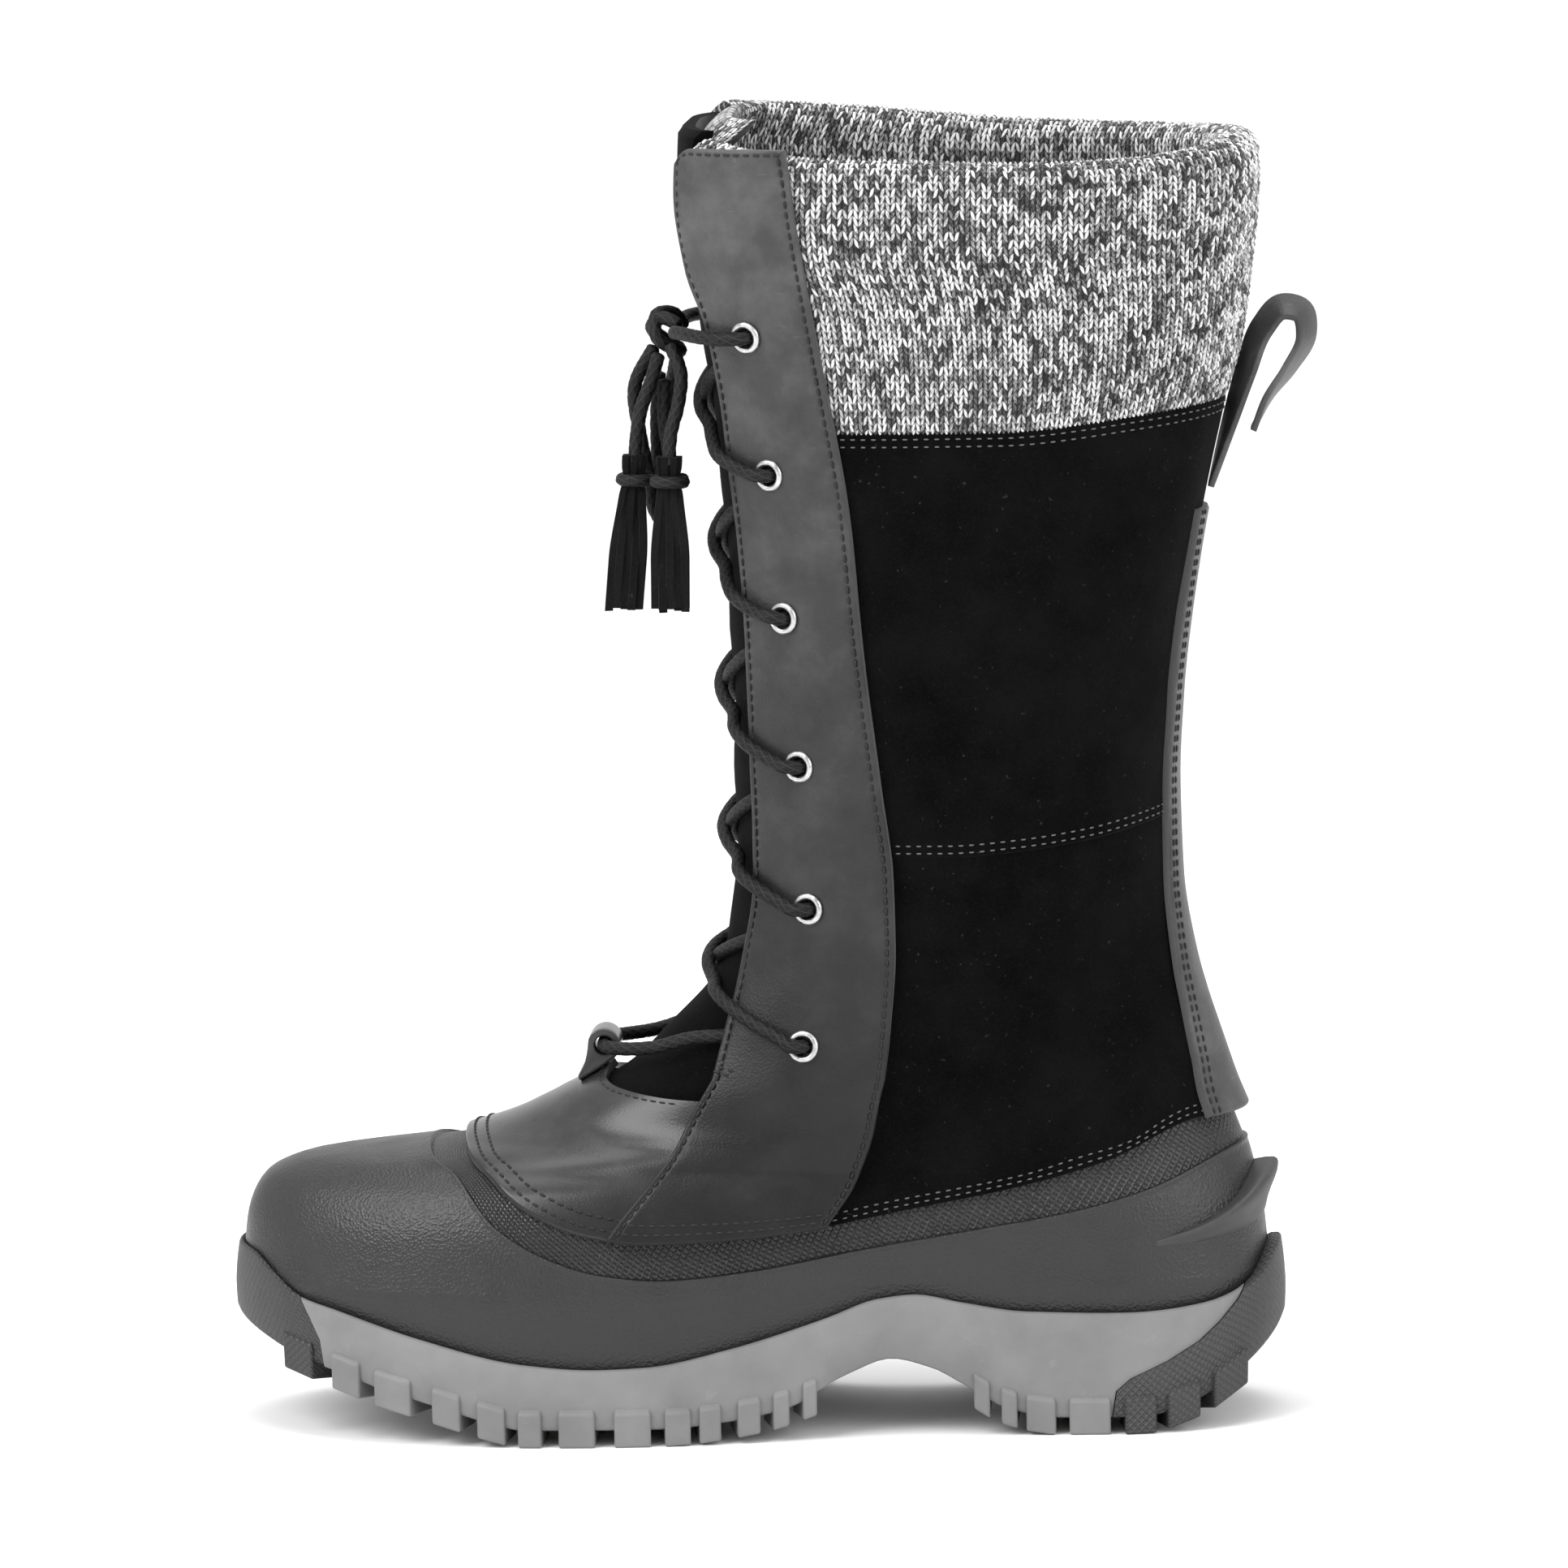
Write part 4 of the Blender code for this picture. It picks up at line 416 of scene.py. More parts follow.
def ring(row, side, floor_share):
    """One section from its front to its back on one side, as points in mm."""
    (front_x, front_z, back_x, back_z, outer, inner, heel, outer_waist, inner_waist,
     toe_round, heel_round, toe_full, heel_full) = row
    turn = np.linspace(0, math.pi, RING_SAMPLES)
    t = (1 - np.cos(turn)) / 2
    ball, waist = (outer, outer_waist) if side < 0 else (inner, inner_waist)
    half = ball + (heel - ball) * smooth_step((t - 0.34) / 0.46)
    half = half - waist * np.exp(-(((t - 0.62) / 0.11) ** 2))
    half = half * rounded_end(t, toe_round, toe_full)
    half = half * rounded_end(1 - t, heel_round, heel_full)
    x = front_x + (back_x - front_x) * t
    z = front_z + (back_z - front_z) * t
    z = z + (line_height(FLOOR_LINE, x) - z) * floor_share
    swing = TOE_SWING * np.clip((x_of(0.40) - x) / (0.40 * SOLE_LENGTH), 0, 1) ** 2
    return np.stack([x, side * half + swing, z], axis=1)


def run_of(points):
    """Distance along a line of points, from its start to each of them."""
    return np.concatenate([[0], np.cumsum(np.linalg.norm(np.diff(points, axis=0), axis=1))])


def read_line(points, run, at):
    return np.stack([np.interp(at, run, points[:, k]) for k in range(3)], axis=1)


def by_arc_length(points):
    run = run_of(points)
    return read_line(points, run, np.linspace(0, run[-1], GIRTH_STEPS + 1))


def make_skin():
    """Grids of points and outward normals on the last. Rows run up, columns run from the
    back over the outer side to the front, then over the inner side to the back."""
    rows = section_sizes()
    count = len(rows)
    at = np.linspace(0, count - 1, (count - 1) * ROW_STEPS + 1)
    table = smooth_through(np.arange(count, dtype=float), rows, at)
    points = []
    for v, row in zip(at, table):
        floor_share = max(0.0, 1.0 - v)
        outer = by_arc_length(ring(row, -1, floor_share))
        inner = by_arc_length(ring(row, 1, floor_share))
        points.append(np.concatenate([outer[::-1], inner[1:]]))
    points = np.array(points)
    around = np.gradient(points, axis=1)
    around[:, 0] = around[:, -1] = points[:, 1] - points[:, -2]
    up = np.gradient(points, axis=0)
    normal = np.cross(up, around)
    normal /= np.linalg.norm(normal, axis=2)[:, :, None]
    return points, normal


SKIN_POINTS, SKIN_NORMALS = make_skin()
TOP_ROW = len(FOOT_SECTIONS) + len(SHAFT_SECTIONS) - 1


def read_grid(grid, u, v):
    row = np.clip(np.asarray(v, float) * ROW_STEPS, 0, grid.shape[0] - 1.0001)
    column = np.clip((np.asarray(u, float) + 1) * GIRTH_STEPS, 0, grid.shape[1] - 1.0001)
    i, j = row.astype(int), column.astype(int)
    a, b = (row - i)[..., None], (column - j)[..., None]
    low = grid[i, j] * (1 - b) + grid[i, j + 1] * b
    high = grid[i + 1, j] * (1 - b) + grid[i + 1, j + 1] * b
    return low * (1 - a) + high * a


def skin(u, v, offset=0.0):
    """Points at an offset from the last. u is -1 at the back, 0 at the front and 1 at the
    back again, the outer side being negative. v counts the sections from the floor up."""
    u, v = np.broadcast_arrays(np.asarray(u, float), np.asarray(v, float))
    point = read_grid(SKIN_POINTS, u, v)
    normal = read_grid(SKIN_NORMALS, u, v)
    normal = normal / np.linalg.norm(normal, axis=-1)[..., None]
    return point + normal * np.broadcast_to(offset, u.shape)[..., None]


def beside(u, v, out, z):
    """Points at a height, moved level out from a section of the skin."""
    point = skin(u, v)
    level = read_grid(SKIN_NORMALS, u, np.full_like(u, v)) * [1, 1, 0]
    point = point + level / np.linalg.norm(level, axis=1)[:, None] * out
    return np.column_stack([point[:, 0], point[:, 1], z])


def first_rise(places, values):
    """Where each row of values first goes from below zero to above, along places."""
    below = values < 0
    last = below.shape[1] - 1 - np.argmax(below[:, ::-1], axis=1)
    last = np.clip(last, 0, below.shape[1] - 2)
    pick = np.arange(len(values))
    low, high = values[pick, last], values[pick, last + 1]
    s = np.clip(-low / np.where(high == low, 1, high - low), 0, 1)
    return places[last] + s * (places[last + 1] - places[last])


def row_at_line(line, u):
    """v of one of the side lines at each u."""
    u = np.atleast_1d(np.asarray(u, float))
    places = np.linspace(0, TOP_ROW, 400)
    points = skin(u[:, None], places[None, :])
    return first_rise(places, points[..., 2] - line_height(line, points[..., 0]))


def row_at_height(height, u):
    u = np.atleast_1d(np.asarray(u, float))
    places = np.linspace(0, TOP_ROW, 400)
    return first_rise(places, skin(u[:, None], places[None, :])[..., 2] - height)


def turn_at_edge(edge, v, offset=0.0):
    """The share of the half girth, from the front, of an upright edge at each v."""
    v = np.atleast_1d(np.asarray(v, float))
    places = np.linspace(0, 1, 400)
    points = skin(-places[None, :], v[:, None], offset)
    return first_rise(places, points[..., 0] - edge_place(edge, points[..., 2]))


def line_row(line, u):
    return float(row_at_line(line, u)[0])


def height_row(height, u):
    return float(row_at_height(height, u)[0])


def edge_turn(edge, v):
    return float(turn_at_edge(edge, v, FACING_OUTER)[0])


def girth_at(v):
    return float(half_girth(v)[0])


def throat_at(v):
    return float(throat_turn(v)[0])


def half_girth(v):
    """Length in mm of the outer half of the section at each v."""
    points = skin(np.linspace(-1, 0, 121)[None, :], np.atleast_1d(v)[:, None])
    return np.linalg.norm(np.diff(points, axis=1), axis=2).sum(axis=1)


def stay_turn(v):
    """The share of the half girth where the back stay's edge lies, from the front."""
    back = skin(-1.0, np.atleast_1d(v))
    return 1 - along(STAY_HALF, level_of(back[..., 2])) / half_girth(v)

LOOP_ROUTE = [
    (0.945, 1.620), (0.964, 1.690), (0.979, 1.742), (0.996, 1.790), (1.014, 1.811),
    (1.033, 1.806), (1.037, 1.780), (1.021, 1.745), (1.000, 1.713), (0.986, 1.680),
]
KNOT_PLACE = (0.434, 1.790)
KNOT_ROUTE = [(3.5, -6.0, 3.0), (-1.5, -3.5, 5.0), (-5.0, 1.0, 2.0), (-1.5, 5.0, -2.0),
              (2.5, 3.0, -4.5), (1.0, -3.0, -3.5), (-3.0, -5.0, -0.5), (-3.5, -1.0, 5.5),
              (1.5, 5.0, 5.0), (3.5, 8.0, 1.0)]
LEFT_END = [(-2.7, -6.0, -4.4), (-5.2, -5.2, -12.5), (-8.0, -6.0, -20.0), (-9.3, -6.5, -27.0),
            (-9.8, -7.0, -32.5)]
RIGHT_END = [(0.5, -7.5, -1.9), (3.6, -12.3, -10.0), (2.8, -14.7, -18.0), (0.8, -16.5, -25.5),
             (0.2, -17.0, -32.0)]
LEFT_LOOP = [(-4.2, 0.2, -3.0), (-10.0, 1.5, -14.0), (-9.0, 3.0, -28.0), (-6.5, 3.5, -41.0),
             (-5.0, 3.0, -50.0), (-2.5, 1.5, -53.0), (-0.5, 0.0, -48.0), (-0.5, -1.0, -36.0),
             (-2.0, -2.0, -22.0), (-1.5, -2.0, -12.0)]
RIGHT_LOOP = [(2.0, 6.9, -3.2), (0.5, 13.0, -10.0), (-2.0, 17.5, -22.0), (-3.0, 18.0, -36.0),
              (-3.0, 16.5, -48.0), (-3.5, 13.0, -53.0), (-4.0, 9.5, -48.0), (-4.5, 8.5, -36.0),
              (-4.5, 8.5, -22.0), (-3.5, 8.5, -11.0)]


KNOT = np.array([float(x_of(KNOT_PLACE[0])), 0.0, float(z_of(KNOT_PLACE[1]))])


def catmull(run, points, at):
    """Smooth curve through points, whose distances along it are run, read at the places at."""
    slope = np.gradient(points, run, axis=0)
    k = np.clip(np.searchsorted(run, at, side="right") - 1, 0, len(run) - 2)
    h = (run[k + 1] - run[k])[:, None]
    s = ((at - run[k])[:, None]) / h
    return (
        (1 + 2 * s) * (1 - s) ** 2 * points[k]
        + s * (1 - s) ** 2 * h * slope[k]
        + s * s * (3 - 2 * s) * points[k + 1]
        + s * s * (s - 1) * h * slope[k + 1]
    )


def shell_top(u):
    """v of the shell's upper edge, SHELL_OVERLAP above the leather's lower edge."""
    edge = row_at_line(LEATHER_LINE, u)
    low = skin(u, edge)
    probe = skin(u, edge + 0.5)
    pitch = np.linalg.norm(probe - low, axis=-1) / 0.5
    return edge + np.minimum(SHELL_OVERLAP / pitch, 1.6)


def across(start, count):
    """Faces that close a ring by joining each outer point to the inner one across it."""
    half = count // 2
    faces = []
    for j in range(half):
        a, b = start + j, start + j + 1
        c, d = start + (count - j - 1) % count, start + (count - j) % count
        faces += [face for face in ([a, b, c], [a, c, d]) if len(set(face)) == 3]
    return faces


def sole_base(x):
    """Height of the bottom of the grooves, which is the waist's underside at the arch."""
    lift = along(ARCH_LINE, share_of(x)) * INSTEP_HEIGHT
    return line_height(TREAD_LINE, x) + GROOVE_DEPTH + lift


def outline_at(x, side):
    """The sole's plan outline in mm at a place along the boot, with its outward normal."""
    places = np.linspace(0, 1, 400)
    points = skin(side * places, 1.0)
    at = float(first_rise(places, (points[:, 0] - x)[None, :])[0])
    normal = read_grid(SKIN_NORMALS, side * at, 1.0) * [1, 1, 0]
    return skin(side * at, 1.0), normal / np.linalg.norm(normal)


def side_lug(middle, length, side, flare):
    """The two end sections of a block on the sole's edge, from the tread up the side wall."""
    corners = []
    for share in (middle - length / 2, middle + length / 2):
        x = float(x_of(share))
        point, normal = outline_at(x, side)
        out = SOLE_FLARE + flare + LUG_PROUD
        tread = float(line_height(TREAD_LINE, x))
        high = tread + LUG_SIDE_HEIGHT
        inside = point + normal * (SOLE_FLARE - LUG_DEEP)
        root = float(line_height(TREAD_LINE, inside[0]))
        profile = [
            (SOLE_FLARE - LUG_DEEP, root), (out - 0.8, tread), (out - 0.4, high - 1.5),
            (out - 2.6, high), (1.4, tread + GROOVE_DEPTH + 1.5),
            (SOLE_FLARE - LUG_DEEP, root + GROOVE_DEPTH + 1.0),
        ]
        corners.append([(*(point + normal * away)[:2], z) for away, z in profile])
    return corners


def centre_lug(share, order):
    """The end sections of a block in the middle of the tread, skewed to each side in turn."""
    x = float(x_of(share))
    outer, _ = outline_at(x, -1)
    inner, _ = outline_at(x, 1)
    middle = (outer[1] + inner[1]) / 2
    half = min(CENTRE_LUG_WIDTH / 2, (inner[1] - outer[1]) / 2 - LUG_DEEP + 1.0)
    skew = 2.5 if order % 2 else -2.5
    sections = []
    for end in (-1, 1):
        at = x + end * CENTRE_LUG_LENGTH / 2
        tread = float(line_height(TREAD_LINE, at))
        sections.append([
            (at - skew, middle - half, tread),
            (at + skew, middle + half, tread),
            (at + skew, middle + half, tread + GROOVE_DEPTH + 1.0),
            (at - skew, middle - half, tread + GROOVE_DEPTH + 1.0),
        ])
    return sections


def throat_turn(v):
    """The share of the half girth where the throat's side edge lies at each v."""
    turn = turn_at_edge(FACING_FRONT, v, FACING_OUTER)
    return turn + THROAT_SETBACK / half_girth(v)


def throat_row(u):
    """v of the throat's lower edge at each u."""
    u = np.atleast_1d(np.asarray(u, float))
    return np.array([row_at_height(z_of(along(THROAT_EDGE, abs(turn))), turn)[0] for turn in u])


def edge_foot(edge):
    """v where an upright edge meets the leather's lower edge."""
    turns = np.linspace(0.05, 0.95, 200)
    v = row_at_line(LEATHER_LINE, -turns)
    points = skin(-turns, v, FACING_OUTER)
    gap = points[:, 0] - edge_place(edge, points[:, 2])
    return float(np.interp(0.0, gap, v))


def pitch_at(u, v):
    """Height in mm that one section step makes at a place."""
    low, high = skin(u, v - 0.25), skin(u, v + 0.25)
    return float(np.linalg.norm(high - low)) / 0.5


def place_on(u, v, offset):
    """A frame on the skin: its point, and unit vectors along the girth, up and outwards."""
    point = skin(u, v, offset)
    normal = read_grid(SKIN_NORMALS, np.asarray(u, float), np.asarray(v, float))
    out = Vector(normal / np.linalg.norm(normal))
    rise = Vector(skin(u, v + 0.1) - skin(u, v - 0.1))
    up = (rise - out * rise.dot(out)).normalized()
    return Vector(point), up.cross(out), up, out


def eyelet_places():
    """(u, v) of the outer eyelets from the lowest up."""
    places = []
    for level, share in EYELET_PLACES:
        u = -0.3
        for _ in range(6):
            v = height_row(z_of(level), u)
            u = -edge_turn([(0.0, share), (2.1, share)], v)
        places.append((u, v))
    return places


def flange_rise(u, v):
    """How far the facing rises over its own tangent plane under an eyelet's flange."""
    point, around, up, out = place_on(u, v, FACING_OUTER)
    reach = EYELET_FLANGE / 2
    rise = 0.0
    for angle in np.linspace(0, 2 * math.pi, EYELET_SIDES, endpoint=False):
        beside_u = u + reach * math.cos(angle) / girth_at(v)
        beside_v = v + reach * math.sin(angle) / pitch_at(u, v)
        rim = Vector(skin(beside_u, beside_v, FACING_OUTER))
        rise = max(rise, (rim - point).dot(out))
    return rise


def collar_row(u):
    """v of the knit's rim at a place."""
    v = line_row(COLLAR_LINE, u)
    return v + along(COLLAR_RISE, u) / pitch_at(u, v - 0.25)


# Blender helpers

def moved(points):
    """Points of the last in mm, as places in the frame in metres."""
    return (np.asarray(points, float) + SHIFT) * MM


def on_body(obj, slot, *nodes):
    """Hang a piece on the boot and hide the solids that it stands for. slot, the name of its finish, is not
    used.
    """
    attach(obj, "root")
    if nodes:
        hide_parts(*nodes)
    return obj


def placed(name, data):
    obj = bpy.data.objects.new(name, data)
    bpy.context.scene.collection.objects.link(obj)
    return obj


def new_object(name, points, faces, finishes, finish_of=None, uv=None, marks=None, smooth=40):
    """A mesh object. points are in metres, uv holds a pair for each point in metres, and
    marks maps a name to a number for each point."""
    mesh = bpy.data.meshes.new(name)
    mesh.from_pydata([tuple(p) for p in points], [], faces)
    obj = placed(name, mesh)
    for finish in finishes:
        mesh.materials.append(finish_named(finish))
    if finish_of is not None:
        mesh.polygons.foreach_set("material_index", finish_of)
    if uv is not None:
        layer = mesh.uv_layers.new(name="UVMap")
        corner = np.zeros(len(mesh.loops), dtype=np.int32)
        mesh.loops.foreach_get("vertex_index", corner)
        layer.data.foreach_set("uv", np.asarray(uv, float)[corner].reshape(-1))
    for mark, values in (marks or {}).items():
        layer = mesh.attributes.new(mark, "FLOAT", "POINT")
        layer.data.foreach_set("value", np.asarray(values, float))
    outwards(mesh)
    mesh.shade_smooth()
    mesh.set_sharp_from_angle(angle=math.radians(smooth))
    return obj


def outwards(mesh):
    work = bmesh.new()
    work.from_mesh(mesh)
    bmesh.ops.recalc_face_normals(work, faces=work.faces)
    if work.calc_volume(signed=True) < 0:
        bmesh.ops.reverse_faces(work, faces=work.faces)
    work.to_mesh(mesh)
    work.free()


def run_lengths(points, axis):
    """Distance in mm along one direction of a grid of points."""
    step = np.linalg.norm(np.diff(points, axis=axis), axis=2)
    pad = [(0, 0), (0, 0)]
    pad[axis] = (1, 0)
    return np.cumsum(np.pad(step, pad), axis=axis)


def panel(name, u, v, outer, inner, finishes, around=False, rounded="", radius=0.9,
          open_cells=None, relief=None, marks=None):
    """A sheet of the upper between two offsets over a grid of (u, v). rounded names the
    borders whose outer edge is turned over: l and r for the first and last column, b and t
    for the first and last row."""
    u, v = np.broadcast_arrays(u, v)
    rows, columns = u.shape
    outer = np.broadcast_to(outer, u.shape).astype(float)
    mid = skin(u, v, outer)
    across, up = run_lengths(mid, 1), run_lengths(mid, 0)
    to_edge = np.full(u.shape, 1e3)
    for side, distance in (
        ("l", across), ("r", across[:, -1:] - across), ("b", up), ("t", up[-1:] - up),
    ):
        if side in rounded:
            to_edge = np.minimum(to_edge, distance)
    s = np.clip(to_edge / radius, 0, 1)
    outer = outer - radius * (1 - np.sqrt(1 - (1 - s) ** 2))
    if relief is not None:
        outer = outer + relief(across, up)
    inner = np.broadcast_to(inner, u.shape)
    points = np.concatenate([skin(u, v, outer).reshape(-1, 3), skin(u, v, inner).reshape(-1, 3)])
    uv = np.stack([across, up], axis=-1).reshape(-1, 2) * MM
    uv = np.concatenate([uv, uv])
    found = {"edge": np.concatenate([np.clip(1 - to_edge / 1.1, 0, 1).reshape(-1)] * 2)}
    for mark, values in (marks or {}).items():
        found[mark] = np.concatenate([np.broadcast_to(values, u.shape).reshape(-1)] * 2)
    inside = rows * columns
    last = columns if around else columns - 1
    faces, finish_of, edges = [], [], {}
    for i in range(rows - 1):
        for j in range(last):
            if open_cells is not None and open_cells(i, j):
                continue
            k = (j + 1) % columns
            corners = (i * columns + j, i * columns + k, (i + 1) * columns + k, (i + 1) * columns + j)
            faces.append(corners)
            finish_of.append(0)
            faces.append(tuple(inside + c for c in reversed(corners)))
            finish_of.append(1 if len(finishes) > 1 else 0)
            for a, b in zip(corners, corners[1:] + corners[:1]):
                if (b, a) in edges:
                    del edges[(b, a)]
                else:
                    edges[(a, b)] = True
    for a, b in edges:
        faces.append((b, a, inside + a, inside + b))
        finish_of.append(0)
    used = np.zeros(len(points), bool)
    for face in faces:
        used[list(face)] = True
    number = np.cumsum(used) - 1
    faces = [tuple(int(number[c]) for c in face) for face in faces]
    found = {mark: values[used] for mark, values in found.items()}
    return new_object(name, moved(points[used]), faces, finishes, finish_of, uv[used], found)


def tube_faces(count, size, start=0, around=False):
    """Faces between rings of points, each ring with size points."""
    faces = []
    for i in range(count if around else count - 1):
        low, high = start + i * size, start + (i + 1) % count * size
        for j in range(size):
            n = (j + 1) % size
            faces.append((low + j, low + n, high + n, high + j))
    return faces


def end_faces(count, size, start=0):
    last = start + (count - 1) * size
    return [tuple(range(start, start + size))[::-1], tuple(range(last, last + size))]


def loft(name, sections, finish, around=False, caps=None, smooth=40, uv=None, marks=None):
    """A solid through closed sections with equal numbers of points, in mm of the last. caps
    holds the faces that close its ends, one at each end if not given."""
    sections = np.asarray(sections, float)
    count, size = sections.shape[:2]
    faces = tube_faces(count, size, around=around)
    if caps is None and not around:
        caps = end_faces(count, size)
    faces += [tuple(cap) for cap in caps or ()]
    if uv is None:
        uv = np.stack([run_lengths(sections, 1), run_lengths(sections, 0)], axis=-1).reshape(-1, 2) * MM
    points = moved(sections.reshape(-1, 3))
    return new_object(name, points, faces, [finish], uv=uv, marks=marks, smooth=smooth)


def joined(name, objects):
    """Several mesh objects as one piece, under one name."""
    target = objects[0]
    with bpy.context.temp_override(active_object=target, selected_editable_objects=objects,
                                   selected_objects=objects, object=target):
        bpy.ops.object.join()
    target.name = name
    target.data.name = name
    return target


def border_samples(count, length, radius=1.0):
    """Shares from 0 to 1 with a few more close to both ends, for a turned edge."""
    near = np.array([0.0, 0.12, 0.3, 0.6, 1.0, 1.3, 1.6, 2.0]) * radius / length
    middle = np.linspace(near[-1], 1 - near[-1], count)
    return np.concatenate([near[:-1], middle, 1 - near[:-1][::-1]])


def boolean(target, other, operation):
    cut = target.modifiers.new(operation, "BOOLEAN")
    cut.operation = operation
    cut.object = other
    cut.solver = "EXACT"
    with_modifiers(target)
    bpy.data.objects.remove(other)


def softened(obj, width, segments, angle):
    """The object with its edges rounded where they are sharper than an angle."""
    soft = obj.modifiers.new("soft", "BEVEL")
    soft.width = width
    soft.segments = segments
    soft.limit_method = "ANGLE"
    soft.angle_limit = math.radians(angle)
    return with_modifiers(obj)


def with_modifiers(obj):
    """The object with its modifiers applied."""
    graph = bpy.context.evaluated_depsgraph_get()
    made = bpy.data.meshes.new_from_object(obj.evaluated_get(graph))
    obj.modifiers.clear()
    obj.data = made
    return obj


# Finishes

def nodes_of(name):
    made = bpy.data.materials.new(name)
    made.use_nodes = True
    tree = made.node_tree
    return made, tree, tree.nodes["Principled BSDF"]


def add(tree, kind, *values, **settings):
    """A shader node. Values go to its inputs in turn, numbers as they are and sockets as
    links, and None leaves an input alone. Settings are its properties."""
    made = tree.nodes.new("ShaderNode" + kind)
    for key, value in settings.items():
        setattr(made, key, value)
    for socket, value in zip(made.inputs, values):
        put(tree, socket, value)
    return made


def put(tree, socket, value):
    if value is None:
        return
    if isinstance(value, bpy.types.Node):
        value = value.outputs[0]
    if isinstance(value, bpy.types.NodeSocket):
        tree.links.new(value, socket)
    else:
        socket.default_value = value


def sums(tree, operation, a, b=None):
    return add(tree, "Math", a, b, operation=operation).outputs[0]


def times(tree, a, b):
    return sums(tree, "MULTIPLY", a, b)


def plus(tree, a, b):
    return sums(tree, "ADD", a, b)


def minus(tree, a, b):
    return sums(tree, "SUBTRACT", a, b)


def fix(shader, **values):
    """Sets inputs of a shader that are the same all over."""
    for name, value in values.items():
        shader.inputs[name.replace("_", " ")].default_value = value


def mapped(tree, value, low, high, to_low=0.0, to_high=1.0):
    return add(tree, "MapRange", value, low, high, to_low, to_high).outputs[0]


def noise(tree, scale, detail=3.0, where=None, rough=0.55):
    made = add(tree, "TexNoise")
    made.inputs["Scale"].default_value = scale
    made.inputs["Detail"].default_value = detail
    made.inputs["Roughness"].default_value = rough
    put(tree, made.inputs["Vector"], where)
    return made.outputs["Fac"]


def cells(tree, scale, feature="F1", where=None):
    made = add(tree, "TexVoronoi", feature=feature)
    made.inputs["Scale"].default_value = scale
    put(tree, made.inputs["Vector"], where)
    return made.outputs["Distance"]


def ramp(tree, value, *stops):
    """Colours or greys between stops of (place, colour)."""
    made = add(tree, "ValToRGB", value)
    line = made.color_ramp
    while len(line.elements) < len(stops):
        line.elements.new(0.5)
    for element, (place, colour) in zip(line.elements, stops):
        element.position = place
        grey = colour if isinstance(colour, tuple) else (colour,) * 3
        element.color = (*grey, 1)
    return made.outputs["Color"]


def mixed(tree, share, first, second):
    made = add(tree, "Mix", data_type="RGBA")
    put(tree, made.inputs[0], share)
    colours = [s for s in made.inputs if s.type == "RGBA"]
    put(tree, colours[0], first)
    put(tree, colours[1], second)
    return [s for s in made.outputs if s.type == "RGBA"][0]


def grey(value):
    return (value, value, value, 1)


def bumped(tree, shader, *layers):
    """Bump from layers of (height, distance in m), the coarse one first."""
    last = None
    for height, distance in layers:
        made = add(tree, "Bump")
        made.inputs["Strength"].default_value = 1.0
        made.inputs["Distance"].default_value = distance
        put(tree, made.inputs["Height"], height)
        if last:
            tree.links.new(last, made.inputs["Normal"])
        last = made.outputs["Normal"]
    tree.links.new(last, shader.inputs["Normal"])


def place(tree):
    return add(tree, "TexCoord").outputs["Object"]


def mark(tree, name):
    made = add(tree, "Attribute")
    made.attribute_name = name
    return made.outputs["Fac"]


def uv_parts(tree):
    split = add(tree, "SeparateXYZ", add(tree, "UVMap").outputs[0])
    return split.outputs[0], split.outputs[1]


def diamonds(tree, pitch):
    """A raised net of diamonds, from the piece's girth and height."""
    x, y = uv_parts(tree)
    a = times(tree, plus(tree, x, y), 1 / pitch)
    b = times(tree, minus(tree, x, y), 1 / pitch)
    fold_a = sums(tree, "PINGPONG", a, 0.5)
    fold_b = sums(tree, "PINGPONG", b, 0.5)
    return mapped(tree, sums(tree, "MINIMUM", fold_a, fold_b), 0.02, 0.22, 1.0, 0.0)


def rubber(name, tone, gloss, grain, net):
    """Moulded rubber with a leather-like grain, and a net of diamonds where net says."""
    made, tree, shader = nodes_of(name)
    where = place(tree)
    mottle = noise(tree, 60, 4, where)
    fine = noise(tree, 900, 2, where)
    base = ramp(tree, mottle, (0.3, tone * 0.86), (0.7, tone * 1.14))
    # Pale specks, partly dust and partly painted highlights, mixed into the tone
    dust_and_highlight_specks = mapped(tree, noise(tree, 130, 6, where, 0.7), 0.60, 0.78)
    base = mixed(tree, times(tree, dust_and_highlight_specks, 0.3), base, grey(tone * 1.8 + 0.008))
    put(tree, shader.inputs["Base Color"], base)
    put(tree, shader.inputs["Roughness"], mapped(tree, mottle, 0.3, 0.7, gloss - 0.06, gloss + 0.08))
    layers = []
    if grain:
        pebble = cells(tree, 1250, where=where)
        layers.append((pebble, grain))
    if net == "all":
        layers.append((diamonds(tree, 0.0022), 0.0003))
    elif net:
        layers.append((times(tree, diamonds(tree, 0.0022), mark(tree, net)), 0.0003))
    layers.append((fine, 0.00006))
    bumped(tree, shader, *layers)
    return made


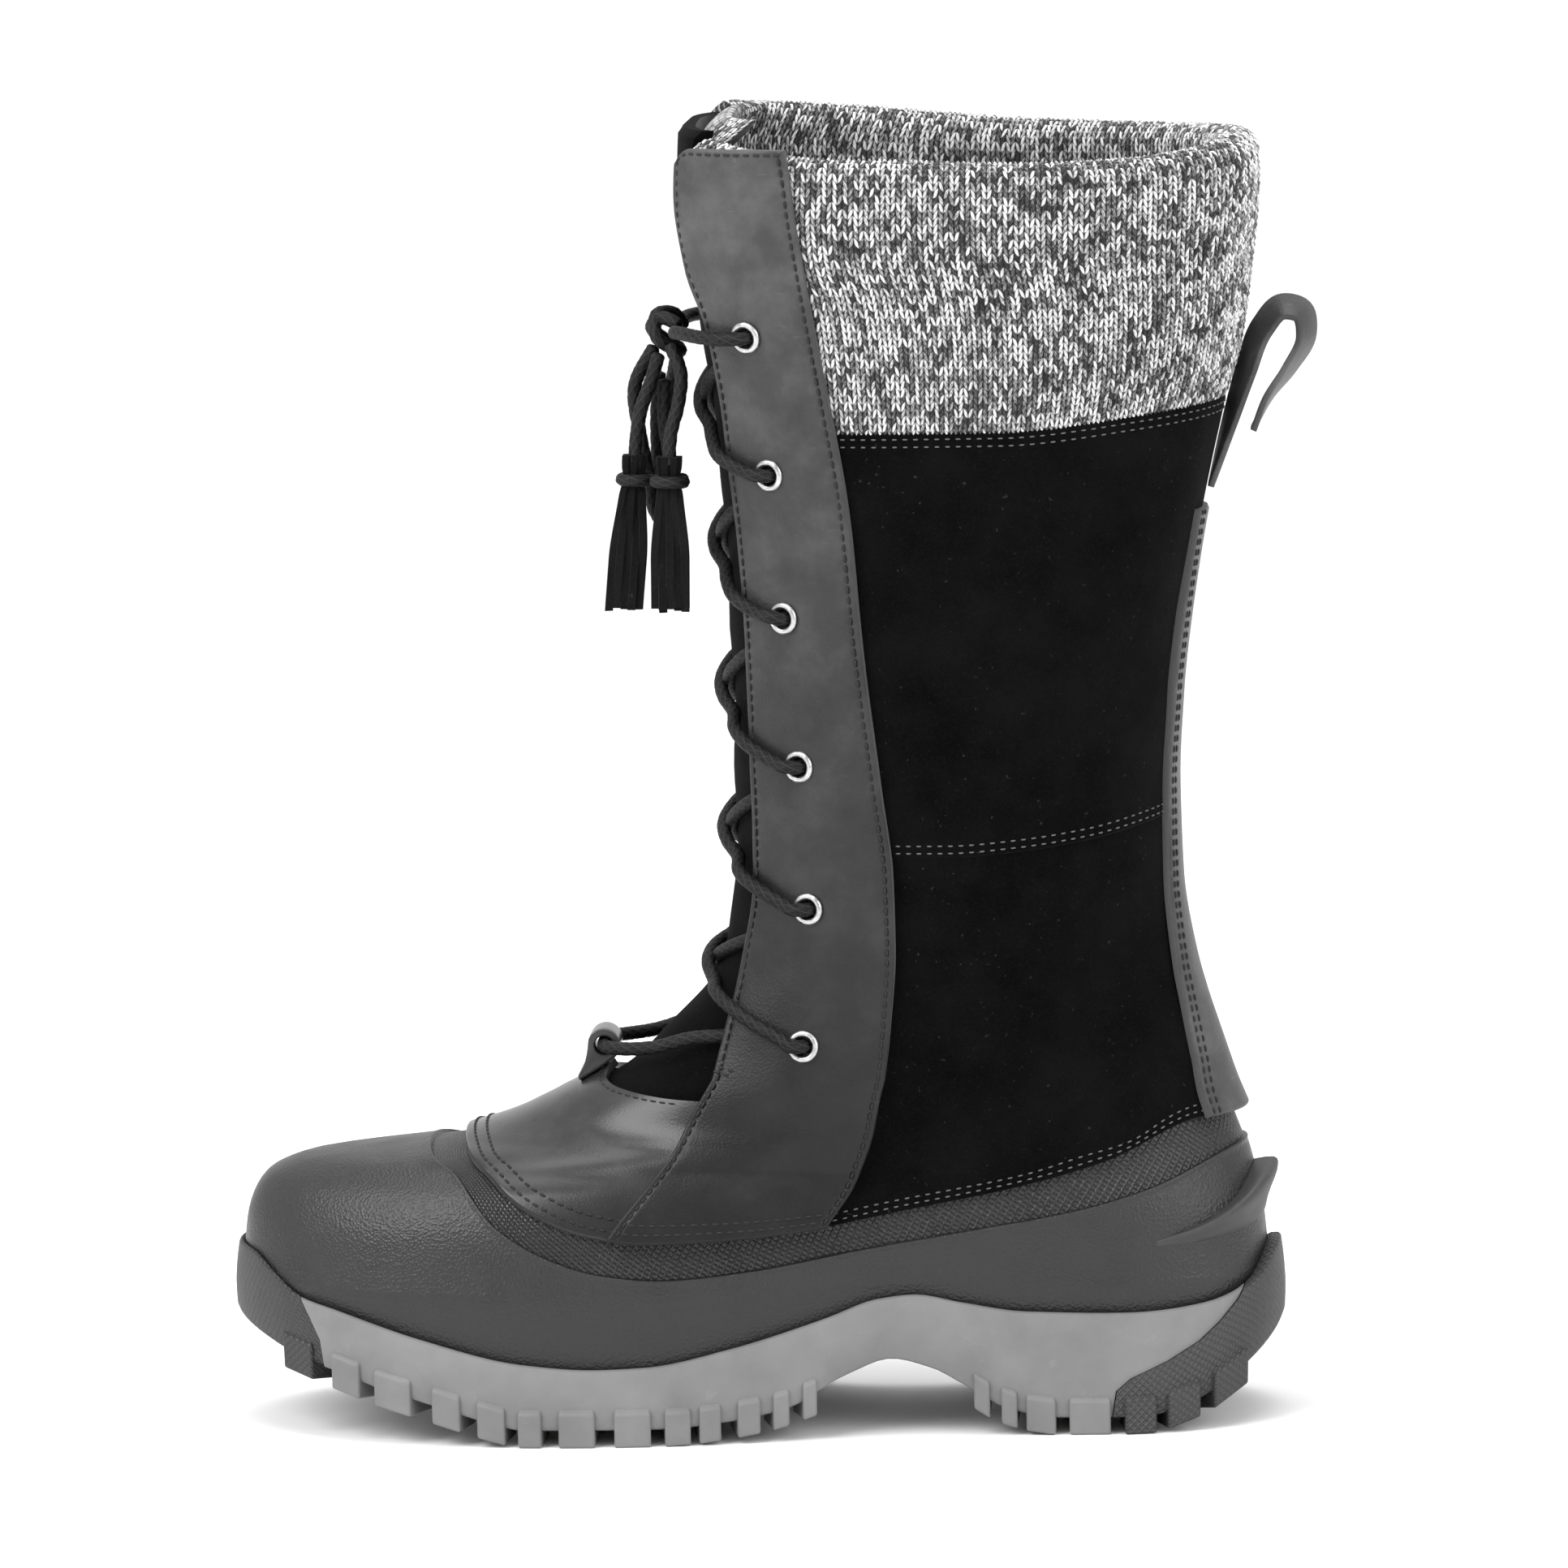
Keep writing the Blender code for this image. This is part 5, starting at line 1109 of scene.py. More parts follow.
def hide(name, tone, gloss, coat, painted_light_by_height=((0.0, 1.0), (1.0, 1.0)), rough_grain=1.0):
    """Waxed leather: mottled, with fine grain, scuffs, and pale raw edges, and painted light and shade that
    darken or lighten the tone by height, as the tone's share at heights given in shares of 0.4 m."""
    made, tree, shader = nodes_of(name)
    where = place(tree)
    mottle = noise(tree, 45, 5, where, 0.65)
    cloud = noise(tree, 14, 3, where)
    both = plus(tree, times(tree, mottle, 0.6), times(tree, cloud, 0.4))
    base = ramp(tree, both, (0.38, tone * 0.55), (0.5, tone), (0.62, tone * 1.8))
    stretch = add(tree, "Mapping", where)
    stretch.inputs["Scale"].default_value = (1.0, 1.0, 6.0)
    stretch.inputs["Rotation"].default_value = (0.3, 0.9, 0.0)
    scratch = mapped(tree, noise(tree, 95, 6, stretch.outputs[0], 0.7), 0.64, 0.72)
    base = mixed(tree, times(tree, scratch, 0.35), base, grey(tone * 3.0))
    specks = mapped(tree, noise(tree, 420, 3, where, 0.7), 0.66, 0.74)
    base = mixed(tree, times(tree, specks, 0.35), base, grey(tone * 2.6))
    # Painted light and shade: the tone is scaled by height, darker low down
    height = times(tree, add(tree, "SeparateXYZ", where).outputs[2], 2.5)
    level = ramp(tree, height, *painted_light_by_height)
    base = mixed(tree, level, grey(0.0), base)
    raw = mapped(tree, plus(tree, mark(tree, "edge"), times(tree, cloud, 0.25)),
                 0.99, 1.12)
    base = mixed(tree, raw, base, grey(0.075))
    put(tree, shader.inputs["Base Color"], base)
    rough = mapped(tree, both, 0.35, 0.65, gloss - 0.06, gloss + 0.1)
    put(tree, shader.inputs["Roughness"], plus(tree, rough, times(tree, raw, 0.3)))
    fix(shader, Specular_IOR_Level=0.26, Coat_Weight=coat, Coat_Roughness=0.25)
    pores = cells(tree, 1500, where=where)
    bumped(tree, shader, (mottle, 0.0003 * rough_grain), (pores, 0.00008 * rough_grain),
           (noise(tree, 2600, 2, where), 0.00003))
    return made


def nap(name, tone, bump=0.0002, sheen=0.06, shine=0.08):
    """Suede or felt: a soft nap with patches brushed lighter and darker."""
    made, tree, shader = nodes_of(name)
    where = place(tree)
    brushed = noise(tree, 38, 5, where, 0.65)
    fibre = noise(tree, 1800, 4, where, 0.7)
    base = ramp(tree, brushed, (0.35, tone * 0.6), (0.65, tone * 1.8))
    base = mixed(tree, times(tree, mapped(tree, fibre, 0.5, 0.75), 0.5), base,
                 grey(tone * 3.5 + 0.002))
    fleck = mapped(tree, noise(tree, 700, 2, where, 0.5), 0.70, 0.75)
    base = mixed(tree, times(tree, fleck, 0.5), base, grey(tone * 6 + 0.02))
    put(tree, shader.inputs["Base Color"], base)
    fix(shader, Roughness=0.95, Specular_IOR_Level=shine, Sheen_Weight=sheen, Sheen_Roughness=0.5)
    bumped(tree, shader, (noise(tree, 240, 4, where, 0.65), bump), (fibre, 0.00012))
    return made


def yarn(name):
    """Marled wool: dark, grey and pale strands twisted together, changing stitch by stitch,
    with shade between the stitches. The piece's map counts wales and rows."""
    made, tree, shader = nodes_of(name)
    x, y = uv_parts(tree)
    legs = times(tree, x, 2.0)
    leg = sums(tree, "FLOOR", legs)
    row = sums(tree, "FLOOR", y)
    chance = add(tree, "TexWhiteNoise", noise_dimensions="3D")
    put(tree, chance.inputs["Vector"], add(tree, "CombineXYZ", leg, row, 0.0))
    rise = minus(tree, sums(tree, "FRACT", y), 0.5)
    lean = times(tree, minus(tree, sums(tree, "MODULO", leg, 2.0), 0.5), -KNIT_SLANT)
    middle = minus(tree, sums(tree, "FRACT", legs), 0.5)
    across_leg = sums(tree, "ABSOLUTE", plus(tree, middle, times(tree, rise, lean)))
    along_leg = sums(tree, "ABSOLUTE", rise)
    hollow = plus(tree, sums(tree, "POWER", times(tree, across_leg, 2.0), 2.0),
                  times(tree, sums(tree, "POWER", times(tree, along_leg, 2.0), 3.0), 0.5))
    crown = mapped(tree, hollow, 1.0, 0.35)
    where = place(tree)
    streak = noise(tree, 1.0, 3, add(tree, "CombineXYZ", times(tree, x, 13.0),
                                     times(tree, y, 2.3), leg), 0.65)
    drift = noise(tree, 130, 3, where)
    value = plus(tree, times(tree, chance.outputs["Value"], 0.42),
                 times(tree, streak, 0.85))
    value = plus(tree, value, times(tree, minus(tree, drift, 0.5), 0.55))
    base = ramp(tree, value, (0.38, 0.02), (0.50, 0.09), (0.62, 0.34), (0.78, 0.88))
    base = mixed(tree, crown, grey(0.018), base)
    # Painted shade: the inside of the cuff is darkened
    base = mixed(tree, times(tree, mark(tree, "inside"), 0.35), base, grey(0.03))
    put(tree, shader.inputs["Base Color"], base)
    fix(shader, Roughness=0.95, Specular_IOR_Level=0.15, Sheen_Weight=0.15, Sheen_Roughness=0.5)
    bumped(tree, shader, (crown, 0.0007), (streak, 0.0003), (noise(tree, 3000, 2, where), 0.0001))
    return made


def braid(name, tone):
    made, tree, shader = nodes_of(name)
    where = place(tree)
    fibre = noise(tree, 2200, 3, where, 0.7)
    crown = mark(tree, "crown")
    # Painted shade in the hollows of the weave and painted highlights on its crowns
    base = ramp(tree, crown, (0.3, tone * 0.1), (0.7, tone), (1.0, tone * 3.5))
    base = mixed(tree, times(tree, mapped(tree, fibre, 0.52, 0.66), 0.35), base, grey(tone * 7))
    put(tree, shader.inputs["Base Color"], base)
    fix(shader, Roughness=0.6, Specular_IOR_Level=0.25)
    bumped(tree, shader, (fibre, 0.00015))
    return made


def metal(name):
    made, tree, shader = nodes_of(name)
    where = place(tree)
    wear = noise(tree, 700, 4, where)
    put(tree, shader.inputs["Base Color"], ramp(tree, wear, (0.3, 0.42), (0.7, 0.66)))
    fix(shader, Metallic=1.0)
    put(tree, shader.inputs["Roughness"], mapped(tree, wear, 0.3, 0.7, 0.22, 0.4))
    bumped(tree, shader, (noise(tree, 1500, 2, where), 0.00003))
    return made


def thread(name, tone):
    made, tree, shader = nodes_of(name)
    where = place(tree)
    fibre = noise(tree, 3500, 3, where)
    put(tree, shader.inputs["Base Color"], ramp(tree, fibre, (0.3, tone * 0.6), (0.7, tone * 1.3)))
    fix(shader, Roughness=0.6)
    bumped(tree, shader, (fibre, 0.0001))
    return made


def floor_finish(name):
    made, tree, shader = nodes_of(name)
    where = place(tree)
    put(tree, shader.inputs["Base Color"], ramp(tree, noise(tree, 3, 2, where), (0.3, 0.88), (0.7, 0.90)))
    fix(shader, Roughness=0.9)
    return made


# Painted light and shade: shares of the tone at heights, as shares of 0.4 m, darker low down and, on the
# facings, lighter at the top
FACING_PAINTED_LIGHT = ((0.14, 0.12), (0.28, 0.25), (0.50, 0.55), (0.72, 0.85), (0.86, 1.25))
VAMP_PAINTED_SHADE = ((0.13, 0.25), (0.17, 0.45), (0.22, 0.95), (0.27, 0.85))

# Each finish: its maker and the maker's values
FINISHES = {
    "light_rubber": (rubber, 0.168, 0.58, 0.0, None),
    "bumper_rubber": (rubber, 0.038, 0.52, 0.0, "all"),
    "shell_rubber": (rubber, 0.0130, 0.40, 0.00016, "band"),
    "ledge_rubber": (rubber, 0.030, 0.48, 0.0, None),
    "leather": (hide, 0.044, 0.42, 0.12, FACING_PAINTED_LIGHT),
    "stay_leather": (hide, 0.055, 0.45, 0.1),
    "vamp_leather": (hide, 0.022, 0.28, 0.40, VAMP_PAINTED_SHADE, 0.4),
    "suede": (nap, 0.0022, 0.0002, 0.03, 0.02),
    "tassel_suede": (nap, 0.004, 0.0003, 0.06, 0.12),
    "felt": (nap, 0.03, 0.0006, 0.2, 0.1),
    "knit": (yarn,),
    "lace": (braid, 0.007),
    "steel": (metal,),
    "dark_thread": (thread, 0.004),
    "grey_thread": (thread, 0.09),
    "floor": (floor_finish,),
}
MADE = {}


def finish_named(name):
    """A finish as a material, made when it is first asked for."""
    if name not in MADE:
        maker, *values = FINISHES[name]
        MADE[name] = maker("boot_" + name, *values)
    return MADE[name]


# Camera, light and floor

def make_camera():
    """The camera of the photograph: long lens, a little above, turned towards the heel."""
    lift, turn, roll = map(math.radians, (CAMERA_LIFT, CAMERA_TURN, CAMERA_ROLL))
    ahead = Vector((-math.sin(turn) * math.cos(lift), math.cos(turn) * math.cos(lift), -math.sin(lift)))
    level = Vector((math.cos(turn), math.sin(turn), 0))
    rise = level.cross(ahead)
    right = level * math.cos(roll) - rise * math.sin(roll)
    up = level * math.sin(roll) + rise * math.cos(roll)
    data = bpy.data.cameras.new("camera")
    data.sensor_width = 36.0
    data.lens = PIXELS_PER_MM * CAMERA_DISTANCE / IMAGE_PIXELS * 36.0
    data.clip_start, data.clip_end = 0.1, 50.0
    camera = placed("camera", data)
    target = Vector(CAMERA_TARGET)
    place_at = (target - ahead * CAMERA_DISTANCE) * MM
    matrix = np.eye(4)
    matrix[:3, 0], matrix[:3, 1], matrix[:3, 2], matrix[:3, 3] = right, up, -ahead, place_at
    camera.matrix_world = Matrix([list(row) for row in matrix])
    bpy.context.scene.camera = camera


def make_light(name, where, size, power, aim=(0, 0, 0.17)):
    data = bpy.data.lights.new(name, "AREA")
    data.shape = "RECTANGLE"
    data.size, data.size_y = size
    data.energy = power
    lamp = placed(name, data)
    lamp.location = where
    lamp.rotation_mode = "QUATERNION"
    lamp.rotation_quaternion = (Vector(where) - Vector(aim)).to_track_quat("Z", "Y")


def make_studio():
    world = bpy.data.worlds.new("studio")
    bpy.context.scene.world = world
    world.use_nodes = True
    ground = world.node_tree.nodes["Background"]
    ground.inputs["Color"].default_value = (1, 1, 1, 1)
    ground.inputs["Strength"].default_value = WORLD_LIGHT
    bpy.context.scene.view_settings.view_transform = "Standard"
    for name, where, size, power in LIGHTS:
        make_light(name, where, size, power)
    reach, rise, bend = 6.0, 5.0, 1.2
    profile = [(-reach, 0.0), (2.2, 0.0)]
    for step in range(1, 13):
        a = math.radians(90 * step / 12)
        profile.append((2.2 + bend * math.sin(a), bend * (1 - math.cos(a))))
    profile.append((2.2 + bend, rise))
    points = [(x, y, z) for y, z in profile for x in (-reach, reach)]
    faces = [(2 * k, 2 * k + 1, 2 * k + 3, 2 * k + 2) for k in range(len(profile) - 1)]
    mesh = bpy.data.meshes.new("floor")
    mesh.from_pydata(points, [], faces)
    mesh.shade_smooth()
    mesh.materials.append(finish_named("floor"))
    placed("floor", mesh)


# Lace

def smooth_line(points, spacing):
    """Evenly spaced points on the smooth curve through a few chosen points."""
    points = np.asarray(points, float)
    run = run_of(points)
    line = catmull(run, points, np.linspace(0, run[-1], LINE_SAMPLES))
    length = run_of(line)
    return read_line(line, length, np.linspace(0, length[-1], max(3, int(round(length[-1] / spacing)) + 1)))


def lace_tube(name, route, diameter=LACE_SHOWN):
    """A braided round cord along a route in mm of the last, with its ends rounded."""
    sides = LACE_SIDES
    line = smooth_line(route, LACE_SPACING)
    ahead = np.gradient(line, axis=0)
    ahead /= np.linalg.norm(ahead, axis=1)[:, None]
    side = np.cross(ahead[0], (0.0, 1.0, 0.0))
    if np.linalg.norm(side) < 0.2:
        side = np.cross(ahead[0], (0.0, 0.0, 1.0))
    run = run_of(line)
    turn = np.linspace(0, 2 * math.pi, sides, endpoint=False)
    points, crown, uv = [], [], []
    radius = diameter / 2
    for k, at in enumerate(line):
        side = side - ahead[k] * (side @ ahead[k])
        side /= np.linalg.norm(side)
        other = np.cross(ahead[k], side)
        lay = 2 * math.pi * run[k] / BRAID_PITCH
        weave = np.maximum(np.sin(BRAID_STRANDS * turn + lay), np.sin(math.pi + lay - BRAID_STRANDS * turn))
        weave = np.clip(weave, 0, 1) ** 0.7
        end = min(run[k], run[-1] - run[k])
        taper = math.sqrt(max(0.0, 1 - (1 - min(end / (radius * 0.6), 1)) ** 2)) * 0.75 + 0.25
        reach = radius * (0.90 + 0.10 * weave) * taper
        ring_points = at + np.cos(turn)[:, None] * side * reach[:, None]
        ring_points = ring_points + np.sin(turn)[:, None] * other * reach[:, None]
        points.append(ring_points)
        # The crown mark carries the braid's painted shade and highlights
        crown.append(weave)
        uv.append(np.stack([turn * radius, np.full(sides, run[k])], axis=1) * MM)
    obj = loft(name, points, "lace", uv=np.concatenate(uv), marks={"crown": np.concatenate(crown)}, smooth=60)
    return obj, moved(line)


def make_free_laces():
    """The knot, the two loops of the bow and the two ends that carry the tassels."""
    made = {}
    for name, route in (
        ("lace_knot", KNOT_ROUTE), ("lace_loop_outer", LEFT_LOOP), ("lace_loop_inner", RIGHT_LOOP),
        ("lace_end_left", LEFT_END), ("lace_end_right", RIGHT_END),
    ):
        points = [KNOT + np.array(p) for p in route]
        if name.startswith("lace_end"):
            points.append(points[-1] - [0.0, 0.0, END_IN_TASSEL])
        obj, line = lace_tube("cord_" + name, points)
        on_body(obj, "lace", name)
        made[name] = (obj, line)
    return made


def strand_route(low, high, side, lift):
    """A crossing from inside its eyelet, over the facing and tongue, to under the other
    facing, below the next eyelet. The strand with a lift humps over the other."""
    u, v = low[0] * side, low[1]
    toward = 0.35 * EYELET_BORE / girth_at(v)
    on_facing = FACING_OUTER + LACE_SHOWN / 2 + 0.2
    on_tongue = UPPER_INNER - LAYER_GAP + LACE_SHOWN / 2 - 0.8
    route = [
        skin(u, v, UPPER_INNER - 1.0),
        skin(u - math.copysign(toward * 0.3, u), v, FACING_OUTER + 1.4),
        skin(u - math.copysign(toward * 1.5, u), v + 0.01, on_facing + 0.4),
    ]
    z_low = float(skin(*low)[2])
    z_high = float(skin(*high)[2])
    start = abs(low[0]) - (EYELET_FLANGE / 2 + LACE_DIAMETER / 2 + CLEAR) / girth_at(low[1])
    z_end = z_low + (z_high - z_low) * 0.72
    end_v = height_row(z_end, -0.1)
    end = throat_at(end_v) - (LACE_DIAMETER / 2 + 2.0) / girth_at(end_v)
    for s in np.linspace(0, 1, 9):
        turn = -start + (start + end) * s
        z = z_low + 1.5 + (z_end - z_low - 1.5) * s
        v_at = height_row(z, turn)
        edge = throat_at(v_at)
        over = smooth_step((-turn - edge * 0.45) / (edge * 0.5))
        hump = lift * math.exp(-((turn / (edge * 0.5)) ** 2))
        route.append(skin(turn * side, v_at, on_facing * over + (on_tongue + hump) * (1 - over)))
    for past, sink, climb in ((3.0, -1.6, 2.0), (7.0, -2.4, 3.0)):
        v_end = height_row(z_end + climb, 0.1)
        edge = edge_turn(FACING_FRONT, v_end)
        route.append(skin(side * (edge + past / girth_at(v_end)), v_end, sink))
    return route


def make_crossings_dressed(places):
    """The five pairs of strands between the eyelets."""
    for order in range(len(places) - 1):
        strands = []
        for side, lift in ((1, LACE_SHOWN * 0.62), (-1, 0.0)):
            route = strand_route(places[order], places[order + 1], side, lift)
            obj, _ = lace_tube(f"strand_{order}_{side}", route)
            strands.append(obj)
        on_body(joined(f"laced_crossing_{order + 1}", strands), "lace", f"lace_crossing_{order + 1}")


def make_bar_dressed():
    """The lowest run of the lace, through the keeper to under both facings."""
    point, _, out, outside, lift = keeper_frame()
    centre = point + out * outside + lift
    reach = KEEPER_WIDTH / 2
    sides = []
    for side in (-1, 1):
        half = [
            (centre[0], side * reach * 0.5, centre[2]),
            (centre[0] + 0.4, side * (reach + 0.5), centre[2]),
        ]
        for share, climb, offset in BAR_ROUTE:
            drop = FAR_BAR_DROP * share if side > 0 else 0.0
            v = height_row(z_of(THROAT_EDGE[0][1]) + climb - drop, side * 0.12)
            edge = edge_turn(FACING_FRONT, v)
            half.append(tuple(skin(side * edge * share, v, offset)))
        sides.append(half)
    route = sides[0][::-1] + sides[1]
    bar, _ = lace_tube("laced_bar", route)
    on_body(bar, "lace", "lace_bar")


def make_tie_dressed(top):
    """The two runs from the top eyelets to the knot."""
    strands = []
    for side in (1, -1):
        u, v = top[0] * side, top[1]
        toward = 0.35 * EYELET_BORE / girth_at(v)
        edge = skin(u * 0.45, v, FACING_OUTER + 2.9)
        route = [
            skin(u, v, UPPER_INNER - 1.0),
            skin(u - math.copysign(toward * 0.3, u), v, FACING_OUTER + 1.6),
            skin(u - math.copysign(toward * 1.8, u), v, FACING_OUTER + LACE_SHOWN / 2 + 0.5),
            edge,
            KNOT + [2.6, -1.5 * side, 0.5],
        ]
        obj, _ = lace_tube(f"tie_{side}", route)
        strands.append(obj)
    on_body(joined("laced_tie", strands), "lace")


# Eyelets

def make_eyelets_dressed():
    profile = []
    bore, edge = EYELET_BORE / 2, EYELET_FLANGE / 2
    middle, half = (bore + edge) / 2, (edge - bore) / 2
    depth = EYELET_LIFT + 2 * LEATHER + FACING_GAP
    profile.append((bore, -depth))
    for angle in np.linspace(180, 0, 11):
        a = math.radians(angle)
        profile.append((middle + half * math.cos(a), EYELET_ROLL * math.sin(a) * 1.05))
    profile += [(edge - 0.1, -0.25), (bore + EYELET_BARREL, -0.2), (bore + EYELET_BARREL, -depth)]
    turns = 32
    for order, (u, v) in enumerate(eyelet_places(), start=1):
        for side, name in ((1, "outer"), (-1, "inner")):
            seat = FACING_OUTER + flange_rise(u * side, v) + EYELET_LIFT
            point, _, up, out = place_on(u * side, v, seat)
            turn = out.to_track_quat("Z", "Y")
            sections = []
            for k in range(turns):
                a = 2 * math.pi * k / turns
                ring_points = []
                for r, z in profile:
                    local = Vector((r * math.cos(a), r * math.sin(a), z))
                    ring_points.append(point + turn @ local)
                sections.append(ring_points)
            obj = loft(f"rolled_eyelet_{name}_{order}", sections, "steel", around=True, smooth=50)
            on_body(obj, "steel", f"eyelet_{name}_{order}")


# Stitches

STITCHES = {"dark_thread": [], "grey_thread": []}


def stitch_row(kind, u, v, offset, length=STITCH_LENGTH, radius=STITCH_RADIUS):
    """A row of stitches along a line of (u, v) places."""
    line = skin(np.asarray(u, float), np.asarray(v, float), offset)
    run = run_of(line)
    if run[-1] < STITCH_PITCH:
        return
    at = np.arange(STITCH_PITCH / 2, run[-1], STITCH_PITCH)
    ends = []
    for sign in (-0.5, 0.5):
        place_on_line = np.clip(at + sign * length, 0, run[-1])
        ends.append(read_line(line, run, place_on_line))
    uu = np.interp(at, run, u)
    vv = np.interp(at, run, v)
    out = read_grid(SKIN_NORMALS, uu, vv)
    for low, high, normal in zip(ends[0], ends[1], out):
        STITCHES[kind].append((low, high, normal / np.linalg.norm(normal), radius))


def make_stitches():
    """All stitches of a kind as one piece, each a short thread that sinks in at its ends."""
    for kind, found in STITCHES.items():
        points, faces = [], []
        for low, high, normal, radius in found:
            length = np.linalg.norm(high - low)
            if length < SHORTEST_STITCH:
                continue
            ahead = (high - low) / length
            across_thread = np.cross(ahead, normal)
            start = len(points)
            for share, size, rise in STITCH_STATIONS:
                middle = low + ahead * (length * share) + normal * (rise * radius)
                for k in range(THREAD_SIDES):
                    a = 2 * math.pi * k / THREAD_SIDES
                    away = across_thread * math.cos(a) + normal * math.sin(a)
                    points.append(middle + away * (radius * size))
            faces += tube_faces(len(STITCH_STATIONS), THREAD_SIDES, start)
            faces += end_faces(len(STITCH_STATIONS), THREAD_SIDES, start)
        if points:
            obj = new_object("stitches_" + kind, moved(points), faces, [kind], smooth=80)
            on_body(obj, "lace")


# Rubber lower

def round_turns(count):
    """Places all the way round the boot, from the middle of the front both ways."""
    half = np.linspace(0, 1, count // 2 + 1)
    return np.concatenate([-half[::-1], half[1:-1]])


def make_shell_dressed():
    """The moulded shell with its textured band and the ledge round the heel."""
    u = round_turns(260)
    band = row_at_line(BAND_LINE, u)
    top = shell_top(u)
    edge = row_at_line(LEATHER_LINE, u)
    pitch = np.array([pitch_at(a, b) for a, b in zip(u, band)])
    # Rows as (v, offset, whether the net lies on them)
    start, stop = band + 0.3 / pitch, edge + 1.0 / pitch
    found = [(share * np.ones_like(u), 0.0, 0.0) for share in np.linspace(0, 1, 9)]
    found += [(1 + (band - 1.3 / pitch - 1) * share, 0.0, 0.0) for share in np.linspace(0, 1, 22)[1:]]
    found += [(band + drop / pitch, offset, 0.0) for drop, offset in (*BAND_LIP, (0.15, -BAND_STEP))]
    found += [(start + (stop - start) * share, -BAND_STEP, 1.0) for share in np.linspace(0, 1, 12)]
    found += [(stop + (top - stop) * share, -BAND_STEP - TUCK_STEP, 0.0) for share in (0.3, 0.6, 1.0)]
    rows, offsets, zone = zip(*found)
    v = np.array(rows)
    v = np.maximum.accumulate(v, axis=0)
    outer = np.array(offsets)[:, None] + np.zeros_like(v)
    shell = panel("rubber_shell", u[None, :], v, outer, -SHELL_WALL, ["shell_rubber", "felt"],
                  around=True, marks={"band": np.array(zone)[:, None] + np.zeros_like(v)})
    on_body(shell, "black_rubber", "shell")
    ledge = make_ledge_dressed()
    on_body(ledge, "black_rubber")


def make_ledge_dressed():
    tip = turn_at_edge([(0.0, LEDGE_TIP_X), (2.0, LEDGE_TIP_X)], row_at_height(z_of(0.53), -0.8))[0]
    places = np.linspace(-1, 1, 121)
    share = 1 - np.abs(places)
    table = np.array(LEDGE_REACH_TABLE)
    top, foot, reach = smooth_through(table[:, 0], table[:, 1:], share).T
    u = np.where(places < 0, -1, 1) * (1 - (1 - tip) * np.abs(places))
    # Shares of the way down from the top, and of the reach
    section = [(-0.10, -0.5), (0.0, 0.10), (0.02, 0.55), (0.06, 0.86), (0.12, 0.98), (0.20, 1.0),
               (0.30, 0.93), (0.42, 0.76), (0.56, 0.52), (0.72, 0.28), (0.88, 0.10), (1.0, -0.02),
               (1.0, -0.4)]
    sections = []
    for turn, high, low, out in zip(u, top, foot, reach):
        v_high = row_at_height(z_of(high), turn)[0]
        v_low = row_at_height(z_of(low), turn)[0]
        offset = max(out * LEDGE_REACH, 0.15)
        sections.append([
            skin(turn, v_high + (v_low - v_high) * max(down, 0.0), away * offset if away > 0 else -LEDGE_BITE)
            for down, away in section
        ])
    return loft("heel_ledge", sections, "ledge_rubber")


def sole_form(name, flare, finish):
    """The sole's cup in fine steps, with a rounded lip and edge."""
    u = round_turns(240)
    lip = row_at_line(LIP_LINE, u)
    base = sole_base(skin(u, 1.0)[:, 0])
    z_lip = skin(u, lip)[:, 2]
    out = SOLE_FLARE + flare
    outer = SHELL_GAP + RIM_WALL + flare

    def lip_ring(offset, drop):
        ring_points = skin(u, lip, offset)
        ring_points[:, 2] = z_lip - drop
        return ring_points

    def wall_ring(away, share):
        """Between the foot of the wall and its lip, bulging a little."""
        low = beside(u, 1.0, out, base + 2.0)
        high = lip_ring(outer, 1.0)
        ring_points = low * (1 - share) + high * share
        level = read_grid(SKIN_NORMALS, u, np.ones_like(u)) * [1, 1, 0]
        return ring_points + level / np.linalg.norm(level, axis=1)[:, None] * away

    rings = [
        beside(u, 1.0, out - 9.0, base),
        beside(u, 1.0, out - 1.6, base),
        beside(u, 1.0, out - 0.5, base + 0.5),
        beside(u, 1.0, out, base + 1.8),
        wall_ring(0.35, 0.2), wall_ring(0.55, 0.4), wall_ring(0.5, 0.6), wall_ring(0.3, 0.8),
        lip_ring(outer, 1.0), lip_ring(outer - 0.25, 0.35), lip_ring(outer - 0.8, 0.0),
        lip_ring(min(SHELL_GAP + 0.5, outer - 1.0), 0.0), skin(u, lip, SHELL_GAP * 0.2) - [0, 0, 0.6],
        skin(u, np.minimum(lip * 0.8, 1.0), SHELL_GAP * 0.5),
        skin(u, np.minimum(lip * 0.4, 0.5), SHELL_GAP * 0.5),
        skin(u, 0.0, SHELL_GAP * 0.5) - [0, 0, FLOOR_GAP],
    ]
    size = len(u)
    return loft(name, rings, finish, caps=across(0, size) + across((len(rings) - 1) * size, size))


def lug_forms(name, flare, finish, low_share, high_share):
    """The lugs whose middle lies between two shares of the length, with softened edges."""
    blocks = []
    for middle, length in SIDE_LUGS:
        if low_share <= middle < high_share:
            for side in (-1, 1):
                blocks.append(side_lug(middle, length, side, flare))
    for order, share in enumerate(CENTRE_LUGS):
        if low_share <= share < high_share:
            blocks.append(centre_lug(share, order))
    made = []
    for order, sections in enumerate(blocks):
        made.append(loft(f"{name}_{order}", sections, finish))
    return softened(joined(name, made), 0.7 * MM, 3, 35)


def region(name, edge, shift):
    """The cutter for a bumper: its side edge, closed high above the sole."""
    outline = [(x + shift, level) for x, level in edge]
    outline[0] = (outline[0][0], 1.0)
    outline.insert(1, (outline[1][0], 1.0))
    flat = [(float(x_of(x)), level * INSTEP_HEIGHT) for x, level in outline]
    sections = [[(x, y, z) for x, z in flat] for y in (-BALL_WIDTH, BALL_WIDTH)]
    return loft(name, sections, "light_rubber")


